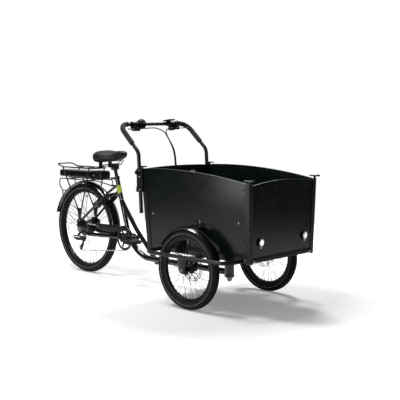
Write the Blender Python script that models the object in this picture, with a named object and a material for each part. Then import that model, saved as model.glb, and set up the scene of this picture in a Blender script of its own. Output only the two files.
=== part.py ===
"""Electric cargo tricycle with a steered cargo box between two front wheels.

Metres, +Z up, standing on the floor at z = 0. Inside the script every place is given from the
point on the floor below the rear axle: X forward, Y to the rider's left. One parent empty then
shifts everything so that the origin lies in the middle of the footprint.
"""

import math

import bmesh
import bpy
from mathutils import Matrix, Vector

# Driving dimensions
GAP = 0.0003
WHEELBASE = 1.4447
REACH_BEHIND_REAR_AXLE = 0.3480
REACH_AHEAD_OF_REAR_AXLE = 1.9139
REAR_AXLE_X = (REACH_BEHIND_REAR_AXLE - REACH_AHEAD_OF_REAR_AXLE) / 2

# Wheels
FRONT_TYRE_R = 0.249
REAR_TYRE_R = 0.3354
FRONT_TYRE_HEIGHT = 0.0418
REAR_TYRE_HEIGHT = 0.0489
FRONT_RIM_R = FRONT_TYRE_R - FRONT_TYRE_HEIGHT
REAR_RIM_R = REAR_TYRE_R - REAR_TYRE_HEIGHT
FRONT_RIM_DEPTH = 0.026
REAR_RIM_DEPTH = 0.017
RIM_WIDTH = 0.030
FRONT_TYRE_WIDTH = 0.050
REAR_TYRE_WIDTH = 0.056
WHEEL_STEPS = 36
SPOKES = 36
SPOKE_R = 0.0011
SPOKE_BEND = 0.003
FLANGE_W = 0.008
AXLE_R = 0.006
AXLE_FIT = 0.0003
NUT_R = 0.0095
NUT_H = 0.008
FRONT_HUB_HALF = 0.05115
FRONT_FLANGE_R = 0.031
FRONT_FLANGE_OFFSET = 0.0255
MOTOR_R = 0.052
REAR_FLANGE_R = 0.058
REAR_FLANGE_OFFSET = 0.0245
MOTOR_COVER_Y = 0.038
FREEHUB_FIT = 0.0010
FREEHUB_END_Y = -0.0647
FREEHUB_R = 0.016
FREEHUB_NOSE_R = 0.011
DISC_R = 0.080
DISC_HUB_R = 0.020
DISC_OFFSET = 0.0390
DISC_THICK = 0.002

# Rear frame
BB_X = 0.482
BB_Z = 0.300
SEAT_TUBE_TOP_X = 0.348
SEAT_TUBE_TOP_Z = 0.742
SEAT_TUBE_R = 0.0165
UPPER_TUBE_R = 0.016
MAIN_TUBE_R = 0.021
MAIN_TUBE_Z = 0.180
BB_SHELL_R = 0.0225
BB_SHELL_HALF = 0.034
CRANK_AXLE_R = 0.0085
HEAD_R = 0.033
HEAD_BOTTOM_Z = 0.150
HEAD_TOP_Z = 0.262
KINGPIN_R = 0.0125
SEATPOST_R = 0.0127
DROPOUT_Y = 0.068
DROPOUT_T = 0.006
CHAIN_STAY_HALF_H = 0.015
SEAT_STAY_R = 0.009
STAY_BRIDGE_R = 0.0065
STAY_TOP = (0.360, 0.020, 0.672)
STAY_KNEE = (0.300, 0.046, 0.622)
STAY_FOOT = (0.016, 0.068, REAR_TYRE_R + 0.0666)
DROPOUT_TOP_Z = REAR_TYRE_R + 0.0696

# Drive
CHAIN_PITCH = 0.0127
CHAINRING_TEETH = 40
SPROCKET_TEETH = (28, 24, 22, 20, 18, 16, 14)
SPROCKET_IN_USE = 4
SPROCKET_STEP = 0.0042
SPROCKET_HALF = 0.0008
FIRST_SPROCKET_Y = -0.0345
CHAIN_HALF = 0.0040
CHAIN_HALF_W = 0.0030
CHAIN_SEAT = 0.0012
PULLEY_R = 0.0160
GUIDE_PULLEY = (0.030, REAR_TYRE_R - 0.0734)
TENSION_PULLEY = (-0.012, REAR_TYRE_R - 0.1494)
CRANK_LENGTH = 0.172
CRANK_ANGLE = 2.0
CRANK_IN_Y = 0.0660
CRANK_OUT_Y = 0.0800
PEDAL_Y = 0.1270
PEDAL_SPINDLE_R = 0.005
GUARD_Y = -0.0610

# Rack, battery and saddle
RACK_R = 0.005
RACK_TOP_Z = REAR_TYRE_R + 0.4576
RACK_REAR_X = -0.272
RACK_RISE = 0.022
RACK_FRONT_X = 0.158
RACK_HALF_W = 0.070
RACK_LEG_Y = 0.0763
RACK_LOW_R = 0.004
RACK_LOW_Z = REAR_TYRE_R + 0.3696
RACK_LOW_Y = 0.074
RACK_CROSS_R = 0.0032
BATTERY_X0 = -0.262
BATTERY_X1 = 0.112
BATTERY_HALF_W = 0.056
BATTERY_Z0 = RACK_LOW_Z + 0.0120
BATTERY_H = 0.054
HOLDER_X1 = 0.228
HOLDER_HALF_W = 0.050
SADDLE_REAR_X = 0.182
SADDLE_LENGTH = 0.258
SADDLE_HALF_W = 0.105
NOSE_HALF_W = 0.032
SADDLE_BOTTOM_Z = 0.838
SADDLE_TOP_Z = 0.923
NOSE_RISE = 0.022
RAIL_Z = 0.8265
RAIL_Y = 0.022

# Chassis of the steered front
LOOP_R = 0.0125
LOOP_Z = 0.330
LOOP_HALF_W = 0.430
FRONT_TRACK_HALF = LOOP_HALF_W - FRONT_HUB_HALF - 2 * GAP
LOOP_REAR_X = 1.106
LOOP_FRONT_X = 1.800
LOOP_CORNER_R = 0.070
INNER_RAIL_Y = FRONT_TRACK_HALF - 0.09825
HUB_PLATE_T = 0.005
BEAM_HALF = 0.020
BEAM_Z0 = 0.305

# Cargo box
POST_REAR_X = (1.0093, 0.9654)
POST_REAR_Z = (0.3225, 0.8386)
POST_FRONT_X = (1.8759, 1.8859)
POST_FRONT_Z = (0.3167, 0.7889)
POST_Y = (FRONT_TRACK_HALF - 0.06845, FRONT_TRACK_HALF - 0.05365)
POST_Y_Z = (0.3200, 0.8200)
FLANGE_L = 0.034
REAR_FLANGE_L = 0.038
FLANGE_T = 0.003
POST_CORE = 0.016
PANEL_T = 0.012
PANEL_BOTTOM_Z = 0.3225
FLOOR_T = 0.012
SIDE_CROWN_X = 1.190
SIDE_CROWN_Z = 0.849
SIDE_CURVE = 0.1306
REAR_CROWN_Z = 0.850
REAR_CURVE = 0.10
FRONT_CROWN_Z = 0.801
FRONT_CURVE = 0.278
CAP_LENGTH = 0.072
CAP_WIDTH = 0.026
CAP_T = 0.007
LAMP_R = 0.024
LAMP_Y = POST_Y[0] - 0.0988
LAMP_Z = 0.440

# Handlebar
BAR_R = 0.0125
BAR_FIT = 0.0003
BAR_BEND_R = 0.072
BAR_X = 0.746
BAR_Z = 1.124
LEG_Y = POST_Y[1] - 0.0056
LEG_LEAN = 0.057436
LEG_BOTTOM = (0.9620, LEG_Y, 0.556)
LEG_TOP_Z = BAR_Z - 0.178
LEG_TOP = (LEG_BOTTOM[0] - LEG_LEAN * (LEG_TOP_Z - LEG_BOTTOM[2]), LEG_Y, LEG_TOP_Z)
BAR_CORNER = (BAR_X, LEG_Y - 0.004, BAR_Z)
GRIP_R = 0.0170
GRIP_INNER_Y = LEG_Y - 0.079
LEVER_Y = GRIP_INNER_Y - 0.044
CLAMP_Z = (0.705, 0.817)
CLAMP_H = 0.030
CLAMP_HALF_W = 0.019
KNOB_R = 0.0095
LEVER_EYE_H = 0.0062
LEVER_PIN_R = 0.003
BUTTON_R = 0.0075
BUTTON_TRAVEL = 0.002
BUTTON_FLOOR_Z = BAR_Z + 0.0148
BUTTON_Y = {-1: 0.090 - GRIP_INNER_Y, 1: GRIP_INNER_Y - 0.014}
SHIFTER_Y = 0.125 - GRIP_INNER_Y
CABLE_R = 0.0030
TRUNK_R = 0.0042

REAR_AXLE = Vector((0.0, 0.0, REAR_TYRE_R))
FRONT_AXLE = Vector((WHEELBASE, 0.0, FRONT_TYRE_R))
BB = Vector((BB_X, 0.0, BB_Z))
SEAT_TOP = Vector((SEAT_TUBE_TOP_X, 0.0, SEAT_TUBE_TOP_Z))
SEAT_DIR = (SEAT_TOP - BB).normalized()
CHAIN_Y = FIRST_SPROCKET_Y - SPROCKET_IN_USE * SPROCKET_STEP
FLOOR_Z = LOOP_Z + LOOP_R + GAP


# Scene and materials
for old in list(bpy.data.objects):
    bpy.data.objects.remove(old, do_unlink=True)

ROOT = bpy.data.objects.new("rear_axle_on_floor", None)
ROOT.location = (REAR_AXLE_X, 0.0, 0.0)
bpy.context.scene.collection.objects.link(ROOT)


def material(name, colour, roughness, metallic=0.0):
    made = bpy.data.materials.new(name)
    made.use_nodes = True
    shader = made.node_tree.nodes["Principled BSDF"]
    shader.inputs["Base Color"].default_value = (*colour, 1.0)
    shader.inputs["Roughness"].default_value = roughness
    shader.inputs["Metallic"].default_value = metallic
    return made


PAINT = material("black_frame_paint", (0.012, 0.012, 0.013), 0.22)
POWDER = material("black_powder_coat", (0.020, 0.021, 0.022), 0.45)
PLYWOOD = material("black_filmed_plywood", (0.022, 0.027, 0.027), 0.40)
RUBBER = material("tyre_rubber", (0.018, 0.018, 0.018), 0.75)
ANODISED = material("black_anodised_rim", (0.020, 0.020, 0.021), 0.35, 0.6)
STEEL = material("bright_steel", (0.55, 0.56, 0.57), 0.28, 1.0)
DARK_STEEL = material("dark_steel", (0.10, 0.10, 0.105), 0.40, 0.9)
FOAM = material("grip_foam", (0.045, 0.046, 0.048), 0.85)
VINYL = material("saddle_vinyl", (0.040, 0.040, 0.044), 0.55)
PLASTIC = material("black_plastic", (0.015, 0.015, 0.016), 0.38)
RED = material("red_button", (0.60, 0.03, 0.06), 0.40)
LENS = material("lamp_lens", (0.90, 0.92, 0.94), 0.15)


# Mesh helpers
def build(fill):
    """Runs a bmesh recipe and returns the mesh it makes, with its faces turned outwards."""
    work = bmesh.new()
    fill(work)
    bmesh.ops.recalc_face_normals(work, faces=work.faces)
    mesh = bpy.data.meshes.new("shape")
    work.to_mesh(mesh)
    work.free()
    return mesh


def loft(rings, closed=False):
    """Skins equal-length rings of points, with flat ends unless the loft runs round to its start."""
    def fill(work):
        rows = [[work.verts.new(point) for point in ring] for ring in rings]
        count = len(rows[0])
        pairs = list(zip(rows, rows[1:]))
        if closed:
            pairs.append((rows[-1], rows[0]))
        for low, high in pairs:
            for i in range(count):
                j = (i + 1) % count
                work.faces.new((low[i], low[j], high[j], high[i]))
        if not closed:
            work.faces.new(rows[0])
            work.faces.new(rows[-1])
    return build(fill)


def block(low, high):
    (x0, y0, z0), (x1, y1, z1) = low, high
    ring = [(x0, y0), (x1, y0), (x1, y1), (x0, y1)]
    return loft([[(x, y, z0) for x, y in ring], [(x, y, z1) for x, y in ring]])


def plate(outline, y0, y1):
    """A plate parallel to the XZ plane with the given outline of (x, z) points."""
    return loft([[(x, y0, z) for x, z in outline], [(x, y1, z) for x, z in outline]])


def rod(start, end, radius, sides=12, end_radius=None):
    start, end = Vector(start), Vector(end)
    length = (end - start).length
    turn = (end - start).to_track_quat("Z", "Y").to_matrix().to_4x4()
    place = Matrix.Translation((start + end) / 2) @ turn

    def fill(work):
        bmesh.ops.create_cone(work, cap_ends=True, segments=sides, radius1=radius,
                              radius2=radius if end_radius is None else end_radius,
                              depth=length, matrix=place)
    return build(fill)


def lathe(profile, centre, steps, first=0.0, last=360.0):
    """Turns a closed outline of (y, radius) points about the Y line through the centre."""
    whole = last - first >= 360.0
    count = steps if whole else steps + 1
    rings = []
    for i in range(count):
        angle = math.radians(first + (last - first) * (i + (0.5 if whole else 0.0)) / steps)
        rings.append([(centre[0] + r * math.cos(angle), centre[1] + y, centre[2] + r * math.sin(angle))
                      for y, r in profile])
    return loft(rings, closed=whole)


def rounded(points, radius, steps=4):
    """Replaces each inner corner of a polyline by an arc of the given radius."""
    points = [Vector(p) for p in points]
    path = [points[0]]
    for before, corner, after in zip(points, points[1:], points[2:]):
        a = (before - corner).normalized()
        b = (after - corner).normalized()
        half = a.angle(b) / 2
        reach = min(radius / math.tan(half), (before - corner).length * 0.49,
                    (after - corner).length * 0.49)
        bend = reach * math.tan(half)
        centre = corner + (a + b).normalized() * (bend / math.sin(half))
        start = corner + a * reach - centre
        sweep = math.pi - 2 * half
        axis = start.cross(corner + b * reach - centre).normalized()
        for i in range(steps + 1):
            path.append(centre + Matrix.Rotation(sweep * i / steps, 3, axis) @ start)
    path.append(points[-1])
    return path


def ring_path(points, radius, steps=4):
    """A closed polyline with every corner rounded."""
    middle = along(points[-1], points[0], 0.5)
    return rounded([middle, *points, middle], radius, steps)[:-1]


def spline(points, per_span=5):
    """A smooth curve through the given points (Catmull-Rom)."""
    points = [Vector(p) for p in points]
    ends = [points[0] * 2 - points[1]] + points + [points[-1] * 2 - points[-2]]
    path = []
    for a, b, c, d in zip(ends, ends[1:], ends[2:], ends[3:]):
        for i in range(per_span):
            t = i / per_span
            path.append(0.5 * (2 * b + (c - a) * t + (2 * a - 5 * b + 4 * c - d) * t * t
                               + (3 * b - a - 3 * c + d) * t ** 3))
    path.append(points[-1])
    return path


def tube(path, radius, resolution=3, closed=False):
    """A round tube along a path: a bevelled curve with filled ends, turned into a mesh."""
    curve = bpy.data.curves.new("route", "CURVE")
    curve.dimensions = "3D"
    curve.bevel_depth = radius
    curve.bevel_resolution = resolution
    curve.use_fill_caps = not closed
    line = curve.splines.new("POLY")
    line.points.add(len(path) - 1)
    for point, place in zip(line.points, path):
        point.co = (*place, 1.0)
    line.use_cyclic_u = closed
    holder = bpy.data.objects.new("route", curve)
    mesh = bpy.data.meshes.new_from_object(holder)
    bpy.data.objects.remove(holder)

    def fill(work):
        work.from_mesh(mesh)
        bmesh.ops.remove_doubles(work, verts=work.verts, dist=0.00001)
    return build(fill)


def oval_tube(path, half_w, half_h, sides=12):
    """An upright oval section swept along a nearly level path."""
    rings = []
    for i, point in enumerate(path):
        run = path[min(i + 1, len(path) - 1)] - path[max(i - 1, 0)]
        across = Vector((-run[1], run[0], 0.0)).normalized()
        ring = []
        for k in range(sides):
            angle = 2 * math.pi * (k + 0.5) / sides
            rise = Vector((0, 0, half_h * math.sin(angle)))
            ring.append(point + across * (half_w * math.cos(angle)) + rise)
        rings.append(ring)
    return loft(rings)


def carve(base, tools, operation):
    """Applies one exact Boolean per tool mesh and returns the resulting mesh."""
    body = bpy.data.objects.new("body", base)
    bpy.context.scene.collection.objects.link(body)
    for tool in tools:
        cutter = bpy.data.objects.new("cutter", tool)
        bpy.context.scene.collection.objects.link(cutter)
        step = body.modifiers.new("step", "BOOLEAN")
        step.operation = operation
        step.solver = "EXACT"
        step.object = cutter
        bpy.context.view_layer.update()
        result = bpy.data.meshes.new_from_object(body.evaluated_get(bpy.context.evaluated_depsgraph_get()))
        body.modifiers.clear()
        body.data = result
        bpy.data.objects.remove(cutter)
    mesh = body.data
    bpy.data.objects.remove(body)
    return mesh


def union(base, *tools):
    return carve(base, tools, "UNION")


def cut(base, *tools):
    return carve(base, tools, "DIFFERENCE")


def joined(meshes):
    """Puts meshes that don't touch each other into one mesh."""
    def fill(work):
        for mesh in meshes:
            work.from_mesh(mesh)
    return build(fill)


def piece(name, mesh, finish, origin=(0.0, 0.0, 0.0)):
    """Makes the named object of one sub-part, with its origin on the joint that it turns on."""
    mesh.transform(Matrix.Translation(-Vector(origin)))
    mesh.materials.clear()
    mesh.materials.append(finish)
    mesh.shade_smooth()
    mesh.set_sharp_from_angle(angle=math.radians(35))
    made = bpy.data.objects.new(name, mesh)
    made.location = origin
    made.parent = ROOT
    bpy.context.scene.collection.objects.link(made)
    return made


def along(start, end, amount):
    return Vector(start).lerp(Vector(end), amount)


def side(point, sign):
    return Vector((point[0], sign * point[1], point[2]))


# Wheels
def rim_profile(radius, depth):
    half = RIM_WIDTH / 2
    return [(-half, radius), (half, radius), (half, radius - 0.012), (0.006, radius - depth),
            (-0.006, radius - depth), (-half, radius - 0.012)]


def tyre_profile(outer, bead, width):
    half = width / 2
    middle = bead + 0.46 * (outer - bead)
    flat = outer / math.cos(math.pi / WHEEL_STEPS)
    return [(-half * 0.52, bead), (half * 0.52, bead), (half, middle), (half * 0.78, outer - 0.009),
            (half * 0.34, flat), (-half * 0.34, flat), (-half * 0.78, outer - 0.009), (-half, middle)]


def spoke_meshes(centre, rim_r, flange_r, flange_y, lead_degrees):
    """Crossed spokes: on each flange, half of them lean forward and half lean back."""
    meshes = []
    for i in range(SPOKES):
        hand = 1 if i % 2 else -1
        lean = 1 if (i // 2) % 2 else -1
        at_rim = 2 * math.pi * (i + 0.5) / SPOKES
        at_hub = at_rim + lean * math.radians(lead_degrees)
        y_hub = hand * flange_y + lean * SPOKE_BEND
        hub = centre + Vector((flange_r * math.cos(at_hub), y_hub, flange_r * math.sin(at_hub)))
        rim = centre + Vector((rim_r * math.cos(at_rim), hand * 0.002, rim_r * math.sin(at_rim)))
        meshes.append(rod(hub, rim, SPOKE_R, sides=3))
    return meshes


def wheel(name, centre, rim_r, depth, hub, flange_r, flange_y, lead):
    rim = lathe(rim_profile(rim_r, depth), centre, WHEEL_STEPS)
    inner = rim_r - depth + 0.004
    spokes = joined(spoke_meshes(centre, inner, flange_r - 0.004, flange_y, lead))
    return piece(name, union(union(rim, spokes), hub), ANODISED, centre)


def front_hub(centre, hand):
    """The disc brake sits on the hub's inner end, towards the box."""
    half, boss = FRONT_HUB_HALF, DISC_OFFSET + DISC_THICK
    inner, outer = FRONT_FLANGE_OFFSET - FLANGE_W / 2, FRONT_FLANGE_OFFSET + FLANGE_W / 2
    bore = AXLE_R + AXLE_FIT
    outline = [(-half, bore), (-half, 0.012), (-boss, DISC_HUB_R), (-outer, DISC_HUB_R),
               (-outer, FRONT_FLANGE_R), (-inner, FRONT_FLANGE_R), (-inner, 0.017), (inner, 0.017),
               (inner, FRONT_FLANGE_R), (outer, FRONT_FLANGE_R), (outer, 0.012), (half, 0.012),
               (half, bore)]
    return lathe([(hand * y, r) for y, r in outline], centre, 16)


def brake_disc(centre, hand):
    y0 = -hand * DISC_OFFSET - DISC_THICK / 2
    y1 = -hand * DISC_OFFSET + DISC_THICK / 2
    bore = DISC_HUB_R + GAP
    disc = lathe([(y0, bore), (y0, DISC_R), (y1, DISC_R), (y1, bore)], centre, 24)
    windows = []
    for i in range(6):
        middle = math.radians(60 * i)
        corners = [(0.035, -0.30), (0.062, -0.38), (0.062, 0.38), (0.035, 0.30)]
        outline = [(centre[0] + r * math.cos(middle + a), centre[2] + r * math.sin(middle + a))
                   for r, a in corners]
        windows.append(plate(outline, centre[1] + y0 - 0.002, centre[1] + y1 + 0.002))
    return cut(disc, joined(windows))


def front_wheel(word, hand):
    centre = FRONT_AXLE + Vector((0.0, hand * FRONT_TRACK_HALF, 0.0))
    wheel("front_wheel_" + word, centre, FRONT_RIM_R, FRONT_RIM_DEPTH, front_hub(centre, hand),
          FRONT_FLANGE_R, FRONT_FLANGE_OFFSET, 58)
    tyre = lathe(tyre_profile(FRONT_TYRE_R, FRONT_RIM_R + GAP, FRONT_TYRE_WIDTH), centre, WHEEL_STEPS)
    piece("front_tyre_" + word, tyre, RUBBER, centre)
    piece("brake_disc_" + word, brake_disc(centre, hand), STEEL, centre)


def rear_hub(centre):
    bore = AXLE_R + AXLE_FIT
    inner, outer = REAR_FLANGE_OFFSET - FLANGE_W / 2, REAR_FLANGE_OFFSET + FLANGE_W / 2
    outline = [(-outer, bore), (-outer, REAR_FLANGE_R), (-inner, REAR_FLANGE_R), (-inner, MOTOR_R),
               (inner, MOTOR_R), (inner, REAR_FLANGE_R), (outer, REAR_FLANGE_R), (outer, 0.046),
               (MOTOR_COVER_Y, 0.030), (MOTOR_COVER_Y, bore)]
    return lathe(outline, centre, 20)


def rear_wheel():
    wheel("rear_wheel", REAR_AXLE, REAR_RIM_R, REAR_RIM_DEPTH, rear_hub(REAR_AXLE),
          REAR_FLANGE_R, REAR_FLANGE_OFFSET, 38)
    tyre = lathe(tyre_profile(REAR_TYRE_R, REAR_RIM_R + GAP, REAR_TYRE_WIDTH), REAR_AXLE, WHEEL_STEPS)
    piece("rear_tyre", tyre, RUBBER, REAR_AXLE)


# Frame behind the steering pivot
def main_path():
    head = (WHEELBASE - HEAD_R * 0.5, 0.0, MAIN_TUBE_Z)
    points = [BB, (0.571, 0.0, 0.218), (0.655, 0.0, MAIN_TUBE_Z), (0.80, 0.0, MAIN_TUBE_Z), head]
    return rounded(points, 0.16, 3)


def upper_path():
    points = [BB + SEAT_DIR * 0.285, (0.445, 0.0, 0.512), (0.555, 0.0, 0.376), (0.752, 0.0, MAIN_TUBE_Z)]
    return rounded(points, 0.35, 2)


def main_tube():
    head = rod((WHEELBASE, 0, HEAD_BOTTOM_Z), (WHEELBASE, 0, HEAD_TOP_Z), HEAD_R, 24)
    shell = rod((BB_X, -BB_SHELL_HALF, BB_Z), (BB_X, BB_SHELL_HALF, BB_Z), BB_SHELL_R, 20)
    hanger = block((0.752, -0.012, MAIN_TUBE_Z - 0.033), (0.784, 0.012, MAIN_TUBE_Z))
    body = union(tube(main_path(), MAIN_TUBE_R, 3), head, shell, hanger)
    bore = rod((WHEELBASE, 0, HEAD_BOTTOM_Z - 0.01), (WHEELBASE, 0, HEAD_TOP_Z + 0.01),
               KINGPIN_R + AXLE_FIT, 20)
    axle_bore = rod((BB_X, -0.06, BB_Z), (BB_X, 0.06, BB_Z), CRANK_AXLE_R + AXLE_FIT, 16)
    piece("main_tube", cut(body, bore, axle_bore), PAINT)


def seat_tube():
    tube_mesh = rod(BB + SEAT_DIR * 0.012, SEAT_TOP, SEAT_TUBE_R, 16)
    collar = rod(SEAT_TOP - SEAT_DIR * 0.020, SEAT_TOP - SEAT_DIR * 0.002, SEAT_TUBE_R + 0.004, 16)
    ears = block((SEAT_TUBE_TOP_X - 0.034, -0.011, SEAT_TUBE_TOP_Z - 0.021),
                 (SEAT_TUBE_TOP_X - 0.012, 0.011, SEAT_TUBE_TOP_Z - 0.007))
    x, y, z = clamp_pivot()
    skewer = rod((x, 0.0, z), (x, y + 0.008 + GAP, z), 0.003, 8)
    body = union(tube_mesh, collar, ears, skewer, tube(upper_path(), UPPER_TUBE_R, 3))
    shell = rod((BB_X, -0.08, BB_Z), (BB_X, 0.08, BB_Z), BB_SHELL_R + GAP, 20)
    bore = rod(SEAT_TOP - SEAT_DIR * 0.26, SEAT_TOP + SEAT_DIR * 0.01, SEATPOST_R + AXLE_FIT, 16)
    piece("seat_tube", cut(body, tube(main_path(), MAIN_TUBE_R + GAP, 3), shell, bore), PAINT)


def stay_bridge(grow):
    at = along(STAY_KNEE, STAY_FOOT, 0.06)
    return rod(side(at, -1), at, STAY_BRIDGE_R + grow, 10)


def seat_stays():
    arms = []
    for hand in (-1, 1):
        path = rounded([side(STAY_TOP, hand), side(STAY_KNEE, hand), side(STAY_FOOT, hand)], 0.08, 3)
        arms.append(tube(path, SEAT_STAY_R, 2))
    bridge = stay_bridge(0.0)
    body = union(arms[0], bridge, arms[1])
    for hand in (-1, 1):
        pivot, normal = brake_pivot(hand)
        body = union(body, rod(pivot - normal * 0.004, pivot + normal * 0.0130, 0.005, 10))
    seat = rod(BB, SEAT_TOP + SEAT_DIR * 0.02, SEAT_TUBE_R + GAP, 16)
    foot = block((-0.06, -0.10, DROPOUT_TOP_Z - 0.105), (0.08, 0.10, DROPOUT_TOP_Z + GAP))
    middle = block((0.34, -0.0045, 0.60), (0.40, 0.0045, 0.72))
    low, high = DROPOUT_TOP_Z - 0.015, DROPOUT_TOP_Z + 0.035
    flats = [block((-0.05, y0, low), (0.12, y1, high)) for y0, y1 in ((-0.09, -0.0710), (0.0710, 0.09))]
    piece("seat_stays", cut(body, seat, foot, middle, *flats), PAINT)


def chain_stays():
    """The two chain stays with their bridge and dropouts, the fixed axle and its nuts."""
    axle_z = REAR_TYRE_R
    arms = []
    for hand in (-1, 1):
        points = [(BB_X - 0.016, 0.026 * hand, BB_Z + 0.004), (BB_X - 0.070, 0.0365 * hand, BB_Z + 0.006),
                  (0.345, 0.0460 * hand, BB_Z + 0.008), (0.100, DROPOUT_Y * hand, axle_z - 0.0324),
                  (0.030, DROPOUT_Y * hand, axle_z - 0.0234)]
        arms.append(oval_tube(rounded(points, 0.06, 2), 0.010, CHAIN_STAY_HALF_H))
    bridge = rod((0.368, -0.042, BB_Z + 0.004), (0.368, 0.042, BB_Z + 0.004), 0.007, 10)
    body = union(arms[0], bridge, arms[1])
    outline = [(-0.034, axle_z - 0.0134), (0.000, axle_z - 0.0354), (0.056, axle_z - 0.0354),
               (0.075, axle_z - 0.0054), (0.066, axle_z + 0.0566), (0.034, DROPOUT_TOP_Z),
               (0.002, DROPOUT_TOP_Z), (-0.006, axle_z + 0.0756), (-0.034, axle_z + 0.0686)]
    for hand in (-1, 1):
        low, high = sorted((hand * (DROPOUT_Y - DROPOUT_T / 2), hand * (DROPOUT_Y + DROPOUT_T / 2)))
        body = union(body, plate(outline, low, high))
    hanger_z = axle_z - 0.0394
    hanger = rod((-0.004, -DROPOUT_Y, hanger_z), (-0.004, -0.086, hanger_z), 0.009, 12)
    axle = rod((0, -0.088, axle_z), (0, 0.088, axle_z), AXLE_R, 16)
    spacer = rod((0, MOTOR_COVER_Y + 2 * GAP, axle_z), (0, DROPOUT_Y, axle_z), 0.0115, 16)
    body = union(body, hanger, axle, spacer)
    face = DROPOUT_Y + DROPOUT_T / 2
    for hand in (-1, 1):
        nut = rod((0, hand * (face - 0.001), axle_z), (0, hand * (face + NUT_H), axle_z), NUT_R, 6)
        body = union(body, nut)
    shell = rod((BB_X, -0.08, BB_Z), (BB_X, 0.08, BB_Z), BB_SHELL_R + GAP, 20)
    piece("chain_stays", cut(body, shell), PAINT)


# Rear brake: two arms on the seat stays, closed by one cable
def brake_pivot(hand):
    """The pivot's place on the stay, and the direction that it stands out in."""
    run = Vector(STAY_FOOT) - Vector(STAY_KNEE)
    place = along(STAY_KNEE, STAY_FOOT, 0.467)
    normal = Vector((run[2], 0.0, -run[0])).normalized()
    return side(place, hand), normal


def brake_arm(word, hand):
    pivot, normal = brake_pivot(hand)
    run = Vector((normal[2], 0.0, -normal[0]))
    frame = Matrix((run, (0.0, 1.0, 0.0), normal)).transposed().to_4x4()
    frame.translation = pivot
    y = pivot[1]
    pad_y0, pad_y1 = sorted((hand * (RIM_WIDTH / 2 + 0.0018) - y, hand * 0.0290 - y))
    stud_y0, stud_y1 = sorted((hand * 0.0280 - y, 0.0))
    arm = block((-0.009, -0.006, 0.0135), (0.110, 0.006, 0.0215))
    pad = block((0.019, pad_y0, -0.013), (0.031, pad_y1, 0.025))
    stud = rod((0.025, stud_y0, 0.0175), (0.025, stud_y1, 0.0175), 0.0033, 8)
    mesh = union(arm, stud, pad)
    mesh.transform(frame)
    piece("rear_brake_arm_" + word, mesh, POWDER, pivot)


# Chain drive
def tooth_radius(teeth):
    return teeth * CHAIN_PITCH / (2 * math.pi)


def belt(circles):
    """Centre line round circles given as (x, z, radius, turning sense), as (point, outward normal)."""
    count = len(circles)
    touch = []
    for i in range(count):
        x1, z1, r1, s1 = circles[i]
        x2, z2, r2, s2 = circles[(i + 1) % count]
        reach = math.hypot(x2 - x1, z2 - z1)
        heading = math.atan2(z2 - z1, x2 - x1) + math.asin((s1 * r1 - s2 * r2) / reach)
        touch.append(heading)
    path = []
    for i in range(count):
        x, z, r, s = circles[i]
        enter = touch[i - 1] - s * math.pi / 2
        leave = touch[i] - s * math.pi / 2
        sweep = s * (leave - enter) % (2 * math.pi)
        steps = max(2, round(sweep / 0.26))
        for k in range(steps + 1):
            angle = enter + s * sweep * k / steps
            out_x, out_z = math.cos(angle), math.sin(angle)
            path.append((x + r * out_x, z + r * out_z, s * out_x, s * out_z))
    return path


def chain():
    circles = [(BB_X, BB_Z, tooth_radius(CHAINRING_TEETH), 1),
               (0.0, REAR_TYRE_R, tooth_radius(SPROCKET_TEETH[SPROCKET_IN_USE]), 1),
               (*GUIDE_PULLEY, PULLEY_R + CHAIN_HALF + GAP, -1),
               (*TENSION_PULLEY, PULLEY_R + CHAIN_HALF + GAP, 1)]
    rings = []
    for x, z, nx, nz in belt(circles):
        corners = [(-CHAIN_HALF, -CHAIN_HALF_W), (CHAIN_HALF, -CHAIN_HALF_W), (CHAIN_HALF, CHAIN_HALF_W),
                   (-CHAIN_HALF, CHAIN_HALF_W)]
        rings.append([(x + nx * a, CHAIN_Y + b, z + nz * a) for a, b in corners])
    piece("chain", loft(rings, closed=True), DARK_STEEL)


def cassette():
    """The sprockets on their freehub, which turns on the fixed axle beside the motor's shell."""
    bore = AXLE_R + AXLE_FIT
    y = FIRST_SPROCKET_Y
    start = -REAR_FLANGE_OFFSET - FLANGE_W / 2 - FREEHUB_FIT
    outline = [(start, bore), (start, FREEHUB_R), (y + SPROCKET_HALF, FREEHUB_R)]
    for teeth in SPROCKET_TEETH:
        radius = tooth_radius(teeth) - CHAIN_HALF - CHAIN_SEAT
        outline += [(y + SPROCKET_HALF, radius), (y - SPROCKET_HALF, radius)]
        if teeth != SPROCKET_TEETH[-1]:
            spacer = tooth_radius(SPROCKET_TEETH[-1]) - 0.009
            outline += [(y - SPROCKET_HALF, spacer), (y - SPROCKET_STEP + SPROCKET_HALF, spacer)]
            y -= SPROCKET_STEP
    outline += [(y - SPROCKET_HALF, FREEHUB_NOSE_R), (FREEHUB_END_Y, FREEHUB_NOSE_R), (FREEHUB_END_Y, bore)]
    piece("cassette", lathe(outline, REAR_AXLE, 16), DARK_STEEL, REAR_AXLE)


def crank_end(hand):
    angle = math.radians(CRANK_ANGLE + (0 if hand < 0 else 180))
    return BB + Vector((math.cos(angle), 0.0, math.sin(angle))) * CRANK_LENGTH


def crank_arm(hand):
    low, high = sorted((hand * CRANK_IN_Y, hand * CRANK_OUT_Y))
    end = crank_end(hand)
    run = (end - BB).normalized()
    across = Vector((-run[2], 0.0, run[0]))
    outline = []
    for centre, radius, turn in ((BB, 0.019, 90), (end, 0.013, -90)):
        for i in range(7):
            angle = math.radians(turn + 30 * i)
            outline.append(centre + run * (radius * math.cos(angle)) + across * (radius * math.sin(angle)))
    arm = plate([(p[0], p[2]) for p in outline], low, high)
    spindle = rod((end[0], hand * (CRANK_OUT_Y - 0.005), end[2]), (end[0], hand * 0.165, end[2]),
                  PEDAL_SPINDLE_R, 12)
    return union(arm, spindle)


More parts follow.
